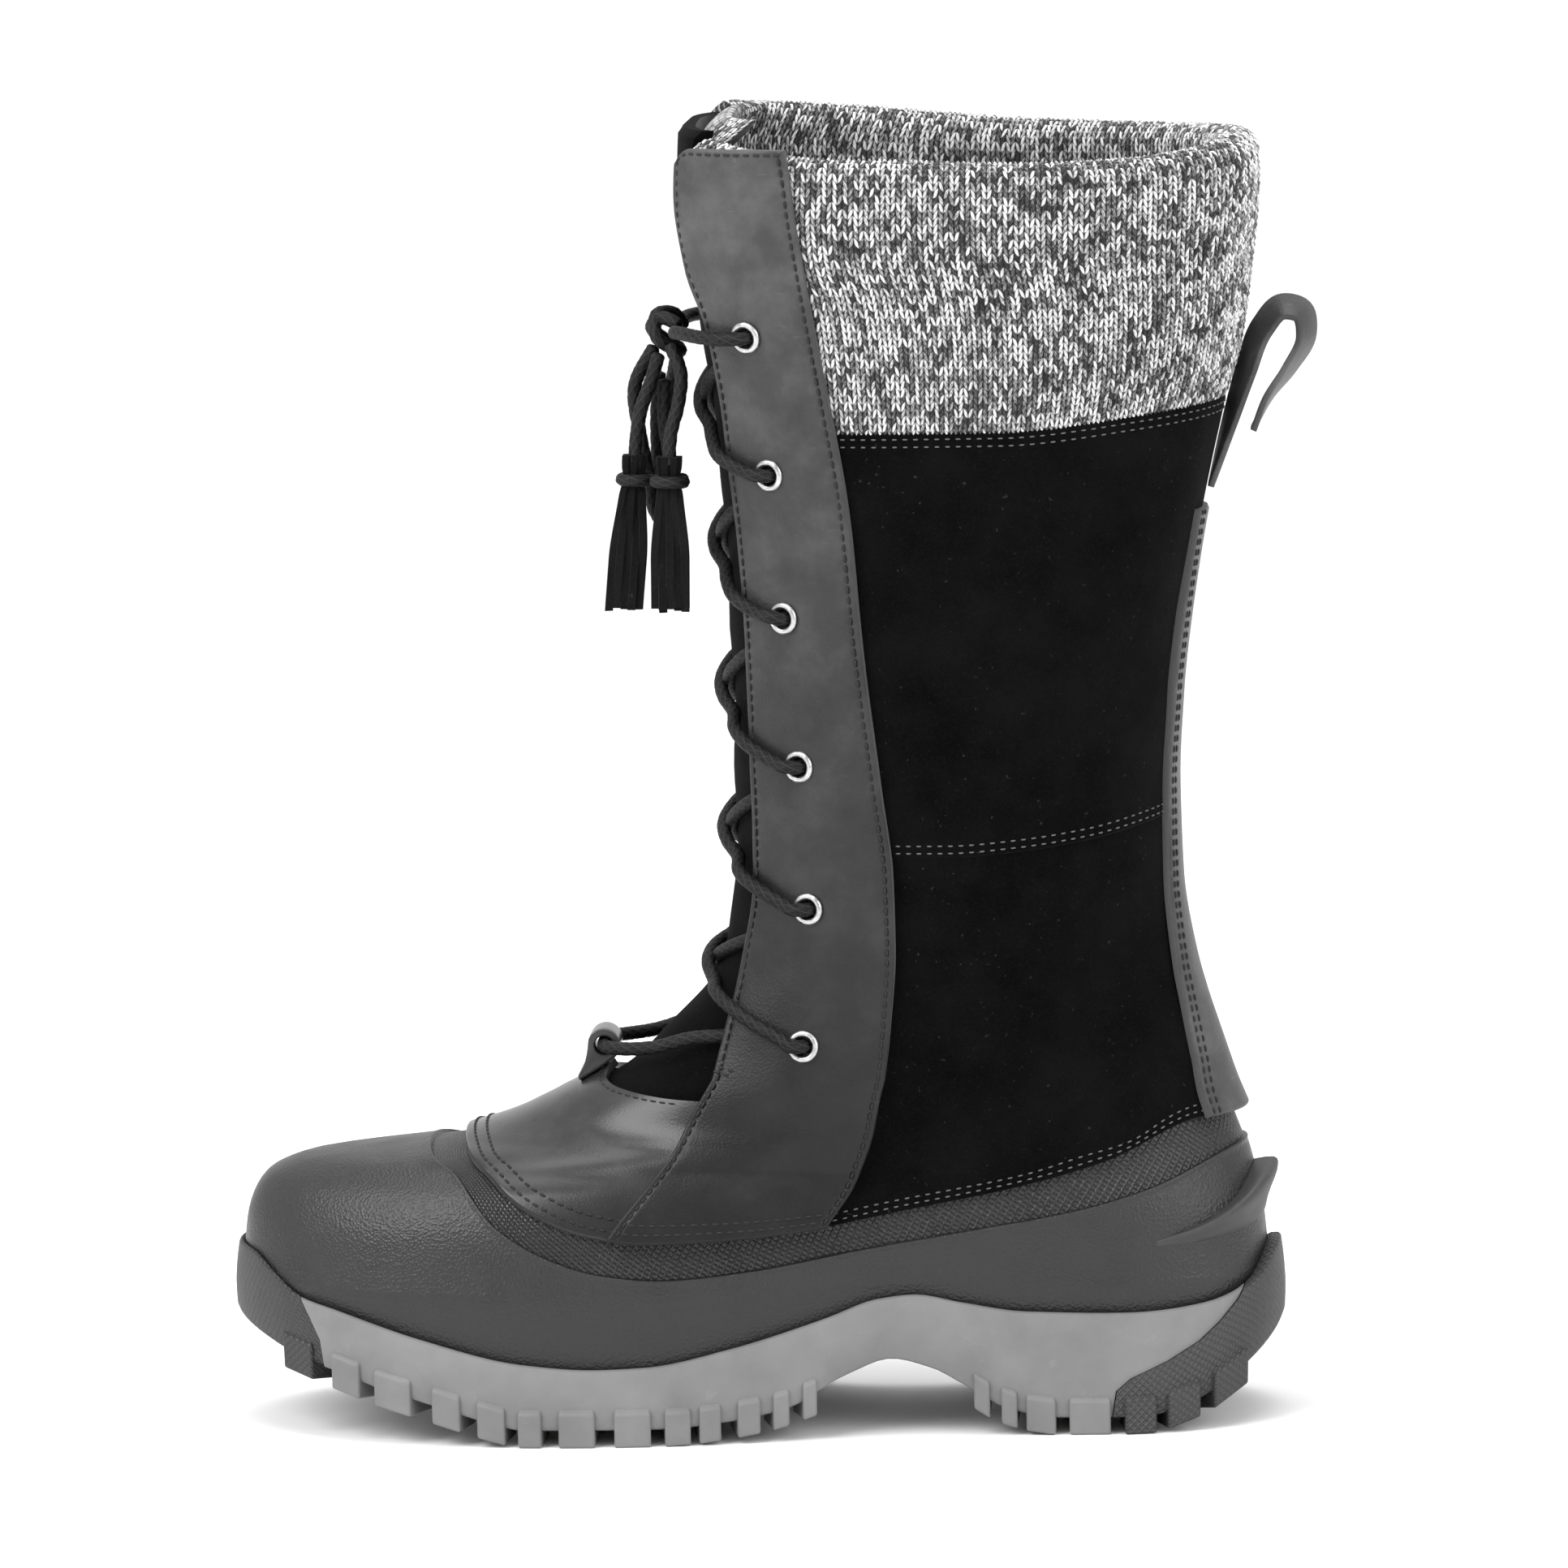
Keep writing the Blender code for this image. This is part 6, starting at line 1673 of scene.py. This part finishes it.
def make_soles_dressed():
    gap = CLEAR / SOLE_LENGTH
    body = sole_form("sole_unit", 0.0, "light_rubber")
    boolean(body, region("toe_cut", TOE_EDGE, gap), "DIFFERENCE")
    boolean(body, region("heel_cut", HEEL_EDGE, -gap), "DIFFERENCE")
    tidy_shading(body)
    on_body(body, "light_rubber", "outsole")
    lugs = lug_forms("sole_lugs", 0.0, "light_rubber", 0.10, 0.846)
    on_body(lugs, "light_rubber")
    for name, edge, node, low, high, proud in (
        ("toe_guard", TOE_EDGE, "toe_bumper", 0.0, 0.10, TOE_GUARD_PROUD),
        ("heel_guard", HEEL_EDGE, "heel_bumper", 0.846, 1.0, BUMPER_PROUD),
    ):
        guard = sole_form(name, proud, "bumper_rubber")
        boolean(guard, region("keep", edge, 0.0), "INTERSECT")
        tidy_shading(guard)
        on_body(guard, "black_rubber", node)
        lugs = lug_forms(name + "_lugs", proud, "bumper_rubber", low, high)
        on_body(lugs, "black_rubber")


def tidy_shading(obj):
    for slot_of in range(len(obj.data.materials) - 1, 0, -1):
        obj.data.materials.pop(index=slot_of)
    obj.data.polygons.foreach_set("material_index", [0] * len(obj.data.polygons))
    obj.data.shade_smooth()
    obj.data.set_sharp_from_angle(angle=math.radians(35))


# Upper

def make_vamp():
    """The smooth leather over the instep, up to the throat and under the facings."""
    front, side = 46, 40
    side_v = float(throat_row(-0.24)[0])
    table_u = np.linspace(0, 0.3, 61)
    table_v = throat_row(table_u)
    below = border_samples(26, 40.0)
    above = np.linspace(0, 1, 16)[1:]
    fractions = np.concatenate([below, 1 + above])
    stop_v = height_row(z_of(1.06), -0.3)
    across_front = np.linspace(-1, 1, 2 * front + 1)
    along_side = np.linspace(0, 1, side + 1)[1:]
    u_rows, v_rows = [], []
    for f in fractions:
        nominal = side_v + max(f - 1, 0) * (stop_v - side_v)
        edge = throat_at(nominal)
        reach = meeting_turn(nominal)
        for _ in range(5):
            low = line_row(LEATHER_LINE, -reach)
            there = low + (side_v - low) * f if f <= 1 else nominal
            reach = meeting_turn(there)
        right = edge + (reach - edge) * along_side
        u = np.concatenate([-right[::-1], across_front * edge, right])
        bottom = row_at_line(LEATHER_LINE, u)
        throat_v = np.interp(np.abs(u), table_u, table_v)
        low = bottom + (throat_v - bottom) * min(f, 1)
        u_rows.append(u)
        v_rows.append(np.where(f <= 1, low, throat_v + (stop_v - throat_v) * max(f - 1, 0)))
    u, v = np.array(u_rows), np.array(v_rows)
    split = len(below) - 1

    def in_throat(i, j):
        return i >= split and side <= j < side + 2 * front

    vamp = panel("vamp", u, v, VAMP_OUTER, UPPER_INNER, ["vamp_leather", "felt"],
                 rounded="b", open_cells=in_throat, relief=vamp_creases)
    on_body(vamp, "leather", "upper")
    middle = np.linspace(0.0, 1.0, 300)
    for away in VAMP_ROWS:
        for sign in (-1, 1):
            line_u = sign * middle * 0.44
            edge_v = row_at_line(LEATHER_LINE, line_u)
            climb = edge_v[:, None] + np.linspace(0, 2.5, 60)[None, :]
            steps = np.linalg.norm(np.diff(skin(line_u[:, None], climb, UPPER_OUTER), axis=1), axis=-1)
            far = np.concatenate([np.zeros((len(line_u), 1)), np.cumsum(steps, axis=1)], axis=1)
            line_v = np.array([np.interp(away, a, b) for a, b in zip(far, climb)])
            line_v = np.convolve(np.pad(line_v, 6, "edge"), np.full(13, 1 / 13), "valid")
            stitch_row("dark_thread", line_u, line_v, VAMP_OUTER)
    line_u = np.linspace(-0.24, 0.24, 90)
    line_v = np.interp(np.abs(line_u), table_u, table_v)
    stitch_row("dark_thread", line_u, line_v - THROAT_INSET / pitch_at(0.05, side_v), VAMP_OUTER, radius=0.28)
    return vamp


def top_corner(column, row, sign):
    """How far a facing's top corners are rounded down, in rows."""
    if sign > 0:
        drop = 4.5 * np.clip(1 - column / 0.18, 0, 1) ** 2
    else:
        drop = 16.0 * np.clip(1 - column / 0.42, 0, 1) ** 2 + 5.0 * smooth_step((column - 0.45) / 0.3)
    return drop / pitch_at(-0.3, 16.5) * smooth_step((row - 0.8) / 0.2)


def meeting_turn(v):
    """The share of the half girth, from the front, where the vamp and the suede meet under
    the facing."""
    front = edge_turn(FACING_FRONT, v)
    rear = edge_turn(FACING_REAR, v)
    return front * 0.45 + rear * 0.55


def vamp_creases(across_run, up):
    """Soft walking creases over the instep."""
    wave = np.zeros_like(up)
    middle = across_run / np.maximum(across_run[:, -1:], 1) - 0.5
    for height, depth, wide, lean in VAMP_CREASES:
        trough = np.exp(-(((up - height - lean * middle) / wide) ** 2))
        wave = wave - depth * trough * np.exp(-((middle / 0.3) ** 2))
    return wave


def quarter_panel(name, low_line, high_line, outer, rounded, relief=None):
    """A band of suede between two lines, from one facing round the back to the other."""
    side = 84
    share = border_samples(46, 90.0, 1.1)
    columns = np.linspace(0, 1, side + 1)
    u_rows, v_rows = [], []
    for f in share:
        reach = 0.4
        for _ in range(6):
            low = line_row(low_line, -reach)
            high = line_row(high_line, -reach)
            reach = meeting_turn(low + (high - low) * f)
        half = reach + (1 - reach) * columns
        u = np.concatenate([-half, half[::-1][1:]])
        low = row_at_line(low_line, u)
        high = row_at_line(high_line, u)
        u_rows.append(u)
        v_rows.append(low + (high - low) * f)
    return panel(name, np.array(u_rows), np.array(v_rows), outer, UPPER_INNER, ["suede", "felt"],
                 rounded=rounded, radius=1.0, relief=relief)


def quarter_relief(across_run, up):
    """Slow dents where the soft shaft slumps."""
    share = across_run / np.maximum(across_run[:, -1:], 1)
    slump = np.sin(share * 21 + up * 0.05) * 0.25 + np.sin(share * 9 - up * 0.11) * 0.25
    fade = np.clip(up / 20, 0, 1) * np.clip((up[-1:] - up) / 20, 0, 1)
    return slump * fade


def make_suede():
    lower = quarter_panel("quarter_lower", LEATHER_LINE, [(x, z + 0.02) for x, z in MID_SEAM_LINE],
                          LOWER_SUEDE, "b", quarter_relief)
    upper = quarter_panel("quarter_upper", MID_SEAM_LINE, SUEDE_TOP_LINE,
                          UPPER_SUEDE, "bt", quarter_relief)
    on_body(lower, "suede")
    on_body(upper, "suede")
    reach = np.linspace(0.30, 0.995, 300)
    for line, ways, offset, kind in (
        (LEATHER_LINE, (1.6, 3.6), LOWER_SUEDE, "grey_thread"),
        (MID_SEAM_LINE, (1.5, 3.5), UPPER_SUEDE, "grey_thread"),
        (SUEDE_TOP_LINE, (-1.8, -4.0), UPPER_SUEDE, "grey_thread"),
    ):
        for sign in (-1, 1):
            u = sign * reach
            v = row_at_line(line, u)
            turn = turn_at_edge(FACING_REAR, v, FACING_OUTER)
            seen = (reach > turn) & (reach < stay_turn(v) + 0.02)
            if line is SUEDE_TOP_LINE:
                seen = reach > turn
            u, v = u[seen], v[seen]
            pitch = np.array([pitch_at(a, b) for a, b in zip(u, v)])
            for away in ways:
                stitch_row(kind, u, v + away / pitch, offset, FINE_LENGTH, FINE_RADIUS)


def make_facings_dressed():
    for sign, name, rise in ((1, "outer", FACING_RISE_OUTER), (-1, "inner", FACING_RISE_INNER)):
        columns = border_samples(22, 34.0, 1.2)
        rows = border_samples(130, 290.0, 1.2)
        u, v = facing_places(columns, rows, rise)
        v = v - top_corner(columns[None, :], rows[:, None], sign)
        strip = panel("facing_strip_" + name, u * sign, v, FACING_OUTER, FACING_INNER - FACING_GAP,
                      ["leather", "felt"], rounded="lrbt", radius=0.8, relief=facing_relief)
        bore_holes(strip, sign)
        on_body(strip, "leather", "facing_" + name)
        line = np.linspace(0.006, 0.994, 400)
        wide_u, wide_v = facing_places(np.array([0.0, 1.0]), line, rise)
        ends = skin(wide_u, wide_v, FACING_OUTER)
        width = np.linalg.norm(ends[:, 1] - ends[:, 0], axis=1)
        for inset in (STITCH_INSET / width, 1 - STITCH_INSET / width):
            uu, vv = facing_places(inset[:, None], line, rise)
            vv = vv - top_corner(inset[:, None], line[:, None], sign)
            stitch_row("dark_thread", uu[:, 0] * sign, vv[:, 0], FACING_OUTER - 0.1)
        for share in FACING_ROWS:
            across_share = np.linspace(0.04, 0.96, 120)
            uu, vv = facing_places(across_share, np.array([share]), rise)
            vv = vv - top_corner(across_share[None, :], np.full((1, 1), share), sign)
            stitch_row("dark_thread", uu[0] * sign, vv[0], FACING_OUTER - 0.1)
        tack_v = height_row(BARTACK_HEIGHT, -0.2)
        girth = girth_at(tack_v)
        from_u = edge_turn(FACING_FRONT, tack_v)
        for drop in BARTACK_ROWS:
            run = np.linspace(1.0, 9.5, 20)
            pitch = pitch_at(0.2, tack_v)
            stitch_row("dark_thread", -sign * (from_u + run / girth), tack_v - (drop + run * 0.35) / pitch,
                       FACING_OUTER - 0.1)


def facing_relief(across_run, up):
    """Slow waves in the leather, and the groove that the stitches pull in along its edges."""
    inset = np.minimum(across_run, across_run[:, -1:] - across_run)
    groove = 0.3 * np.exp(-(((inset - STITCH_INSET) / 0.5) ** 2))
    wave = 0.12 * np.sin(up * 0.09 + across_run * 0.05) + 0.08 * np.sin(up * 0.23 - across_run * 0.2)
    return wave - groove


def facing_places(columns, rows, rise):
    """(u, v) of the outer facing at shares across and along it. columns holds one row of
    shares for all rows, or one for each. rise is its top's height over the knit's line."""
    top_v = line_row(COLLAR_LINE, [-0.3]) - 0.05
    low_v = edge_foot(FACING_FRONT)
    rear_low_v = edge_foot(FACING_REAR)
    front_v = low_v + (top_v - low_v) * rows
    rear_v = rear_low_v + (top_v - rear_low_v) * rows
    front_u = turn_at_edge(FACING_FRONT, front_v, FACING_OUTER)
    rear_u = turn_at_edge(FACING_REAR, rear_v, FACING_OUTER)
    s = np.atleast_2d(columns)
    u = front_u[:, None] * (1 - s) + rear_u[:, None] * s
    v = front_v[:, None] * (1 - s) + rear_v[:, None] * s
    bottom_u = edge_turn(FACING_FRONT, low_v) * (1 - s)
    bottom_u = bottom_u + edge_turn(FACING_REAR, rear_low_v) * s
    bottom_v = row_at_line(LEATHER_LINE, -bottom_u.reshape(-1)).reshape(s.shape)
    foot = bottom_v - (low_v * (1 - s) + rear_low_v * s)
    v = v + foot * ((1 - rows) ** 3)[:, None]
    v = v + rise / pitch_at(-0.3, top_v - 0.25) * smooth_step((rows - 0.87) / 0.13)[:, None]
    return -u, v


def bore_holes(strip, sign):
    for u, v in eyelet_places():
        point, _, _, out = place_on(u * sign, v, FACING_OUTER)
        turn = out.to_track_quat("Z", "Y")
        radius = EYELET_BORE / 2 + 0.1
        sections = []
        for depth in (-6.0, 6.0):
            sections.append([
                point + turn @ Vector((radius * math.cos(a), radius * math.sin(a), depth))
                for a in np.linspace(0, 2 * math.pi, 20, endpoint=False)
            ])
        boolean(strip, loft("drill", sections, "leather"), "DIFFERENCE")
    strip.data.shade_smooth()
    strip.data.set_sharp_from_angle(angle=math.radians(40))


def make_stay():
    low_v = line_row(LEATHER_LINE, [-0.97])
    high_v = height_row(z_of(STAY_TOP_LEVEL), -1.0)
    v = low_v + (high_v - low_v) * border_samples(90, 170.0, 1.1)
    half = 1 - stay_turn(v)
    s = border_samples(26, 26.0, 1.1) * 2 - 1
    offset = s[None, :] * half[:, None]
    u = np.where(offset < 0, -1 - offset, 1 - offset)
    stay = panel("stay_strip", u, v[:, None], FACING_OUTER - 0.4, FACING_INNER - FACING_GAP,
                 ["stay_leather", "felt"], rounded="lrbt", radius=0.8)
    on_body(stay, "leather", "back_stay")
    line = np.linspace(low_v, high_v, 300)
    width = 1 - stay_turn(line)
    girth = half_girth(line)
    for sign in (-1, 1):
        for inset in STAY_ROWS:
            u_line = sign * (1 - width + inset / girth)
            stitch_row("dark_thread", u_line, line, FACING_OUTER - 0.4)


def make_tongue_dressed():
    """The suede tongue and the knit that covers its padded top."""
    foot_v = height_row(z_of(TONGUE_FOOT_LEVEL), -0.10)
    top_v = line_row(COLLAR_LINE, [-0.05])
    top_v = top_v + TONGUE_RISE / pitch_at(-0.05, top_v - 0.25)
    hem_v = line_row(SUEDE_TOP_LINE, [-0.3])
    tuck_v = hem_v - CUFF_TUCK / pitch_at(-0.3, hem_v)
    outer = UPPER_INNER - LAYER_GAP

    def half_turn(v):
        edge = np.maximum(throat_turn(v), 0.06)
        girth = half_girth(v)
        return np.where(v < tuck_v - 0.08, edge + TONGUE_TUCK / girth, edge - TONGUE_SLACK / girth)

    v = np.concatenate([np.linspace(foot_v, tuck_v - 0.12, 60), np.linspace(tuck_v - 0.03, top_v - 0.1, 30)])
    s = np.linspace(-1, 1, 41)[None, :]
    tongue = panel("tongue_pad", s * half_turn(v)[:, None], v[:, None], outer, outer - TONGUE_WALL,
                   ["suede", "felt"], rounded="lrt", radius=2.0, relief=tongue_relief)
    on_body(tongue, "suede", "tongue")
    # The knit runs up the front, over the rim and down the inside
    face, back = outer + 0.5, outer - TONGUE_WALL - 1.5
    middle, reach = (face + back) / 2, (face - back) / 2
    low_v = top_v - 26.0 / pitch_at(-0.05, top_v - 1.0)
    rim_v = top_v - reach / pitch_at(-0.05, top_v - 0.25)
    track = [(low_v, outer - 0.4)] + [(low_v + (rim_v - low_v) * f, face) for f in np.linspace(0.05, 1, 24)]
    for angle in np.linspace(12, 168, 13):
        a = math.radians(angle)
        track.append((rim_v + (top_v + 0.1 - rim_v) * math.sin(a), middle + reach * math.cos(a)))
    track += [(rim_v + (low_v - rim_v) * f, back) for f in np.linspace(0, 1, 20)]
    share = np.linspace(-1, 1, 65)
    sections = []
    for place_along in share:
        ring_points = []
        for v_at, offset in track:
            turn = float(half_turn(np.array([v_at]))[0]) * 1.04 * place_along
            ends = 1.6 * (1 - math.sqrt(1 - min(abs(place_along), 1) ** 6))
            at = skin(turn, v_at, middle + (offset - middle) * (1 - 0.3 * ends))
            ring_points.append(at + [TONGUE_LEAN * smooth_step((at[2] - 347.0) / 22.0), 0, 0])
        sections.append(ring_points)
    grid = np.array(sections)
    run = run_lengths(grid, 1)
    uv = np.stack([run_lengths(grid, 0) / 2.7, run / 2.1], axis=-1).reshape(-1, 2)
    cover = loft("tongue_knit", grid, "knit", uv=uv)
    on_body(cover, "knit")


def tongue_relief(across_run, up):
    middle = across_run / np.maximum(across_run[:, -1:], 1) - 0.5
    return 0.5 * np.cos(middle * 3.1) * np.sin(up * 0.16) * np.exp(-((middle / 0.4) ** 2))


# Knitted collar

def make_knit():
    """The knitted cuff as real knit: columns of V stitches over the rolled collar."""
    columns, rows = KNIT_WALES * WALE_POINTS, KNIT_ROWS * ROW_POINTS
    section_at = cuff_profile_places()
    grid = np.zeros((rows + 1, columns + 1, 3))
    for j in range(columns + 1):
        line = section_at(j / columns)
        run = run_of(line)
        grid[:, j] = read_line(line, run, np.linspace(0, 1, rows + 1) * run[-1])
    up = np.gradient(grid, axis=0)
    normal = np.cross(np.gradient(grid, axis=1), up)
    length = np.linalg.norm(normal, axis=2)[:, :, None]
    normal = normal / np.where(length == 0, 1, length)
    outwards_there = skin(-0.6, 15.0, 5.0) - skin(-0.6, 15.0, 0.0)
    if normal[rows // 4, columns // 4] @ outwards_there < 0:
        normal = -normal
    # Each stitch has a leg on each side of its middle, and its rows run down to the middle
    share = (np.arange(columns + 1) % WALE_POINTS) / WALE_POINTS
    ridge = np.where(share % 0.5 == 0.25, 1.0, 0.0)
    slant = np.abs(share - 0.5) * 2.0
    counted = np.arange(rows + 1)[:, None] / ROW_POINTS
    bead = 0.5 + 0.5 * np.cos(2 * math.pi * (counted - 0.5))
    height = ridge[None, :] * (0.55 + 0.45 * bead) * KNIT_DEPTH
    sheared = grid + up * ROW_POINTS * (slant[None, :, None] - 0.5) * KNIT_SHEAR
    random = np.random.default_rng(7)
    wobble = random.normal(0, KNIT_WOBBLE, (rows + 1, columns + 1, 1))
    wobble[:, -1] = wobble[:, 0]
    outer = sheared + normal * (height[:, :, None] + wobble - KNIT_DEPTH * 0.6)
    # The section's ends lie inside the shaft, where the last row joins the first
    wide = columns + 1
    last = rows * wide
    faces = []
    for i in range(rows):
        for j in range(columns):
            k = i * wide + j
            faces.append((k, k + 1, k + wide + 1, k + wide))
    faces += [(j + 1, j, last + j, last + j + 1) for j in range(columns)]
    faces.append(tuple(range(0, last + 1, wide)))
    faces.append(tuple(range(columns, last + wide, wide))[::-1])
    wales = np.arange(wide)[None, :] / WALE_POINTS
    uv = np.stack(np.broadcast_arrays(wales, counted), axis=-1).reshape(-1, 2)
    # The inside mark sets where the knit's colour is darkened as painted shade
    inside = smooth_step((np.arange(rows + 1) / rows - 0.52) / 0.12)
    cuff = new_object("knitted_cuff", moved(outer.reshape(-1, 3)), faces, ["knit"], uv=uv,
                      marks={"inside": np.repeat(inside, wide)}, smooth=180)
    on_body(cuff, "knit", "knit_cuff")


def cuff_profile_places():
    """A function from the way round the collar, 0 to 1, to the cuff's closed section, which
    runs from the hem up the outside, over the rim and down the inside."""
    count = 49
    sections = [cuff_line(p) for p in np.linspace(0, 1, count)]

    def at(place_round):
        x = place_round * (count - 1)
        k = min(int(x), count - 2)
        s = x - k
        return sections[k] * (1 - s) + sections[k + 1] * s

    return at


def cuff_line(place_round):
    side = -1 if place_round <= 0.5 else 1
    share = 1 - abs(2 * place_round - 1)

    def turn(v):
        edge = throat_at(v)
        return side * (edge + (1 - edge) * share)

    hem_v = collar_v = float(TOP_ROW)
    for _ in range(3):
        hem_v = line_row(SUEDE_TOP_LINE, turn(hem_v))
        collar_v = collar_row(turn(collar_v))
    rear = edge_turn(FACING_REAR, (collar_v + hem_v) / 2)
    free = smooth_step((abs(turn(collar_v)) - rear - 0.02) / 0.08)
    outer = UPPER_OUTER + KNIT_BULGE * free + 0.8
    inner = UPPER_INNER - LAYER_GAP - KNIT_WALL
    bottom_v = hem_v - 3.0 / pitch_at(turn(hem_v), hem_v)
    inside_v = hem_v - CUFF_TUCK / pitch_at(turn(hem_v), hem_v)
    rim = (outer - inner) / 2
    rim_v = rim / pitch_at(turn(collar_v), collar_v)
    points = []
    for v, offset in (
        (bottom_v, UPPER_OUTER - 1.6), (hem_v + 0.01, UPPER_OUTER + 0.3),
        (hem_v + (collar_v - hem_v) * 0.10, outer - 0.2),
    ):
        points.append(skin(turn(v), v, offset))
    for f in np.linspace(0.2, 1.0, 12):
        v = hem_v + (collar_v - rim_v - hem_v) * f
        points.append(skin(turn(v), v, outer))
    for angle in np.linspace(15, 165, 11):
        a = math.radians(angle)
        v = collar_v - rim_v + rim_v * math.sin(a)
        points.append(skin(turn(v), v, inner + rim + rim * math.cos(a)))
    for f in np.linspace(0, 1, 12):
        v = collar_v - rim_v + (inside_v - collar_v + rim_v) * f
        points.append(skin(turn(v), v, inner))
    return np.array(points)


# Keeper, pull loop and tassels

def keeper_frame():
    """Where the keeper's fold sits on the throat's lower edge: its foot, the directions up
    and outwards, its outer radius, and the middle of the fold."""
    point, _, up, out = place_on(0.0, float(throat_row(0.0)[0]), UPPER_OUTER + 2 * CLEAR)
    outside = LACE_DIAMETER / 2 + CLEAR + LEATHER
    lift = Vector((0, 0, KEEPER_LIFT))
    return point, up, out, outside, lift


def make_keeper_dressed():
    """A leather tab folded over the lowest run of the lace, its two layers sewn together."""
    point, up, out, outside, lift = keeper_frame()
    profile = []
    for angle in np.linspace(-90, 128, 26):
        a = math.radians(angle)
        profile.append((outside * math.cos(a), outside + outside * math.sin(a)))
    start, end = profile[-1], (-KEEPER_TAIL, LEATHER * 0.5)
    for share in np.linspace(0.2, 1.0, 6):
        sag = -1.1 * math.sin(math.pi * share)
        profile.append((start[0] + (end[0] - start[0]) * share, start[1] + (end[1] - start[1]) * share + sag))
    profile += [(-KEEPER_TAIL, -0.4), (-KEEPER_TAIL / 2, -0.3)]
    corners = [point + up * a + out * b + lift for a, b in profile]
    across_tab = np.linspace(-KEEPER_WIDTH / 2, KEEPER_WIDTH / 2, 5)
    sections = [[(c.x, y, c.z) for c in corners] for y in across_tab]
    keeper = loft("keeper_tab", sections, "vamp_leather", smooth=35)
    centre = point + out * outside + lift
    radius = LACE_DIAMETER / 2 + CLEAR
    turns = np.linspace(0, 2 * math.pi, 28, endpoint=False)
    bore = [
        [(centre.x + radius * math.cos(a), y, centre.z + radius * math.sin(a)) for a in turns]
        for y in (-KEEPER_WIDTH, KEEPER_WIDTH)
    ]
    boolean(keeper, loft("keeper_bore", bore, "vamp_leather"), "DIFFERENCE")
    keeper = softened(keeper, 0.6 * MM, 2, 50)
    tidy_shading(keeper)
    on_body(keeper, "leather", "lace_keeper")


def make_pull_loop_dressed():
    line = smooth_line([(float(x_of(x)), 0.0, float(z_of(z))) for x, z in LOOP_ROUTE], 0.8)
    count = len(line)
    sections = []
    half, deep = LOOP_WIDTH / 2, LOOP_THICK / 2
    rim = [(-1, -0.5), (-0.97, -0.85), (-0.9, -1), (0, -1.0), (0.9, -1), (0.97, -0.85), (1, -0.5),
           (1, 0.5), (0.97, 0.85), (0.9, 1), (0, 1.0), (-0.9, 1), (-0.97, 0.85), (-1, 0.5)]
    for k, point in enumerate(line):
        low, high = line[max(k - 1, 0)], line[min(k + 1, count - 1)]
        ahead = Vector(high - low).normalized()
        across_strip = Vector((0, 1, 0))
        lean = math.radians(LOOP_TWIST) * math.sin(math.pi * k / (count - 1))
        across_strip.rotate(Quaternion(ahead, lean))
        thick = ahead.cross(across_strip).normalized()
        sections.append([
            Vector(point) + across_strip * (a * half) + thick * (b * deep) for a, b in rim
        ])
    loop = loft("pull_strap", sections, "stay_leather", smooth=50)
    on_body(loop, "leather", "pull_loop")


def make_tassels():
    """Strips of suede cut from one piece, rolled, and bound round the top with cord."""
    random = np.random.default_rng(3)
    made = {}
    for end, node, route, lean in (
        ("lace_end_left", "tassel_left", LEFT_END, 4.0), ("lace_end_right", "tassel_right", RIGHT_END, 0.5),
    ):
        top = KNOT + np.array(route[-1])
        strips = []
        for k in range(TASSEL_STRIPS * 2):
            front = -1 if k % 2 else 1
            spread = ((k // 2) + 0.5) / TASSEL_STRIPS * 2 - 1
            length = TASSEL_LENGTH + random.uniform(-2.5, -0.2)
            phase = random.uniform(0, 6.28)
            sections = []
            for s in np.linspace(0, 1, 26):
                drop = length * s
                pinch = math.exp(-(((drop - WRAP_DROP) / 2.6) ** 2))
                wide = 0.66 + 0.40 * smooth_step((drop - 7) / 22) - 0.16 * pinch
                x = spread * TASSEL_WIDTH / 2 * wide * 0.82
                y = front * (1.5 - 0.5 * s - 0.5 * pinch) + 0.35 * math.sin(phase + s * 6)
                middle = top + np.array([x - lean * s, y, -drop])
                half_w = TASSEL_WIDTH / TASSEL_STRIPS * 0.46 * (0.55 + 0.45 * wide)
                thick = 0.42
                twist = 0.25 * math.sin(phase + s * 4)
                ring_points = []
                for a, b in ((-1, -0.5), (-0.9, -1), (0.9, -1), (1, -0.5), (1, 0.5), (0.9, 1),
                             (-0.9, 1), (-1, 0.5)):
                    dx, dy = a * half_w, b * thick
                    ring_points.append(middle + np.array([
                        dx * math.cos(twist) - dy * math.sin(twist),
                        dx * math.sin(twist) + dy * math.cos(twist), 0]))
                sections.append(ring_points)
            strips.append(loft(f"strip_{node}_{k}", sections, "tassel_suede"))
        bundle = joined("fringe_" + node, strips)
        on_body(bundle, "suede", node)
        wrap = []
        for a in np.linspace(0, 2 * math.pi * 1.04, 40):
            wrap.append(top + np.array([3.9 * math.cos(a), 2.9 * math.sin(a), -WRAP_DROP - a * 0.1]))
        ring_piece, _ = lace_tube("binding_" + node, wrap, WRAP_THICK)
        on_body(ring_piece, "lace")
        made[end] = [bundle, ring_piece]
    return made


def dress_insole():
    """The insole stays as it is in the solid model, with a finish of its own."""
    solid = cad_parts["insole"]
    solid.data.materials.clear()
    solid.data.materials.append(finish_named("felt"))


make_camera()
make_studio()
laces = make_free_laces()
tassels = make_tassels()
make_soles_dressed()
make_shell_dressed()
make_vamp()
make_suede()
make_facings_dressed()
make_stay()
make_knit()
make_tongue_dressed()
make_eyelets_dressed()
make_crossings_dressed(eyelet_places())
make_bar_dressed()
make_tie_dressed(eyelet_places()[-1])
make_keeper_dressed()
make_pull_loop_dressed()
make_stitches()
dress_insole()
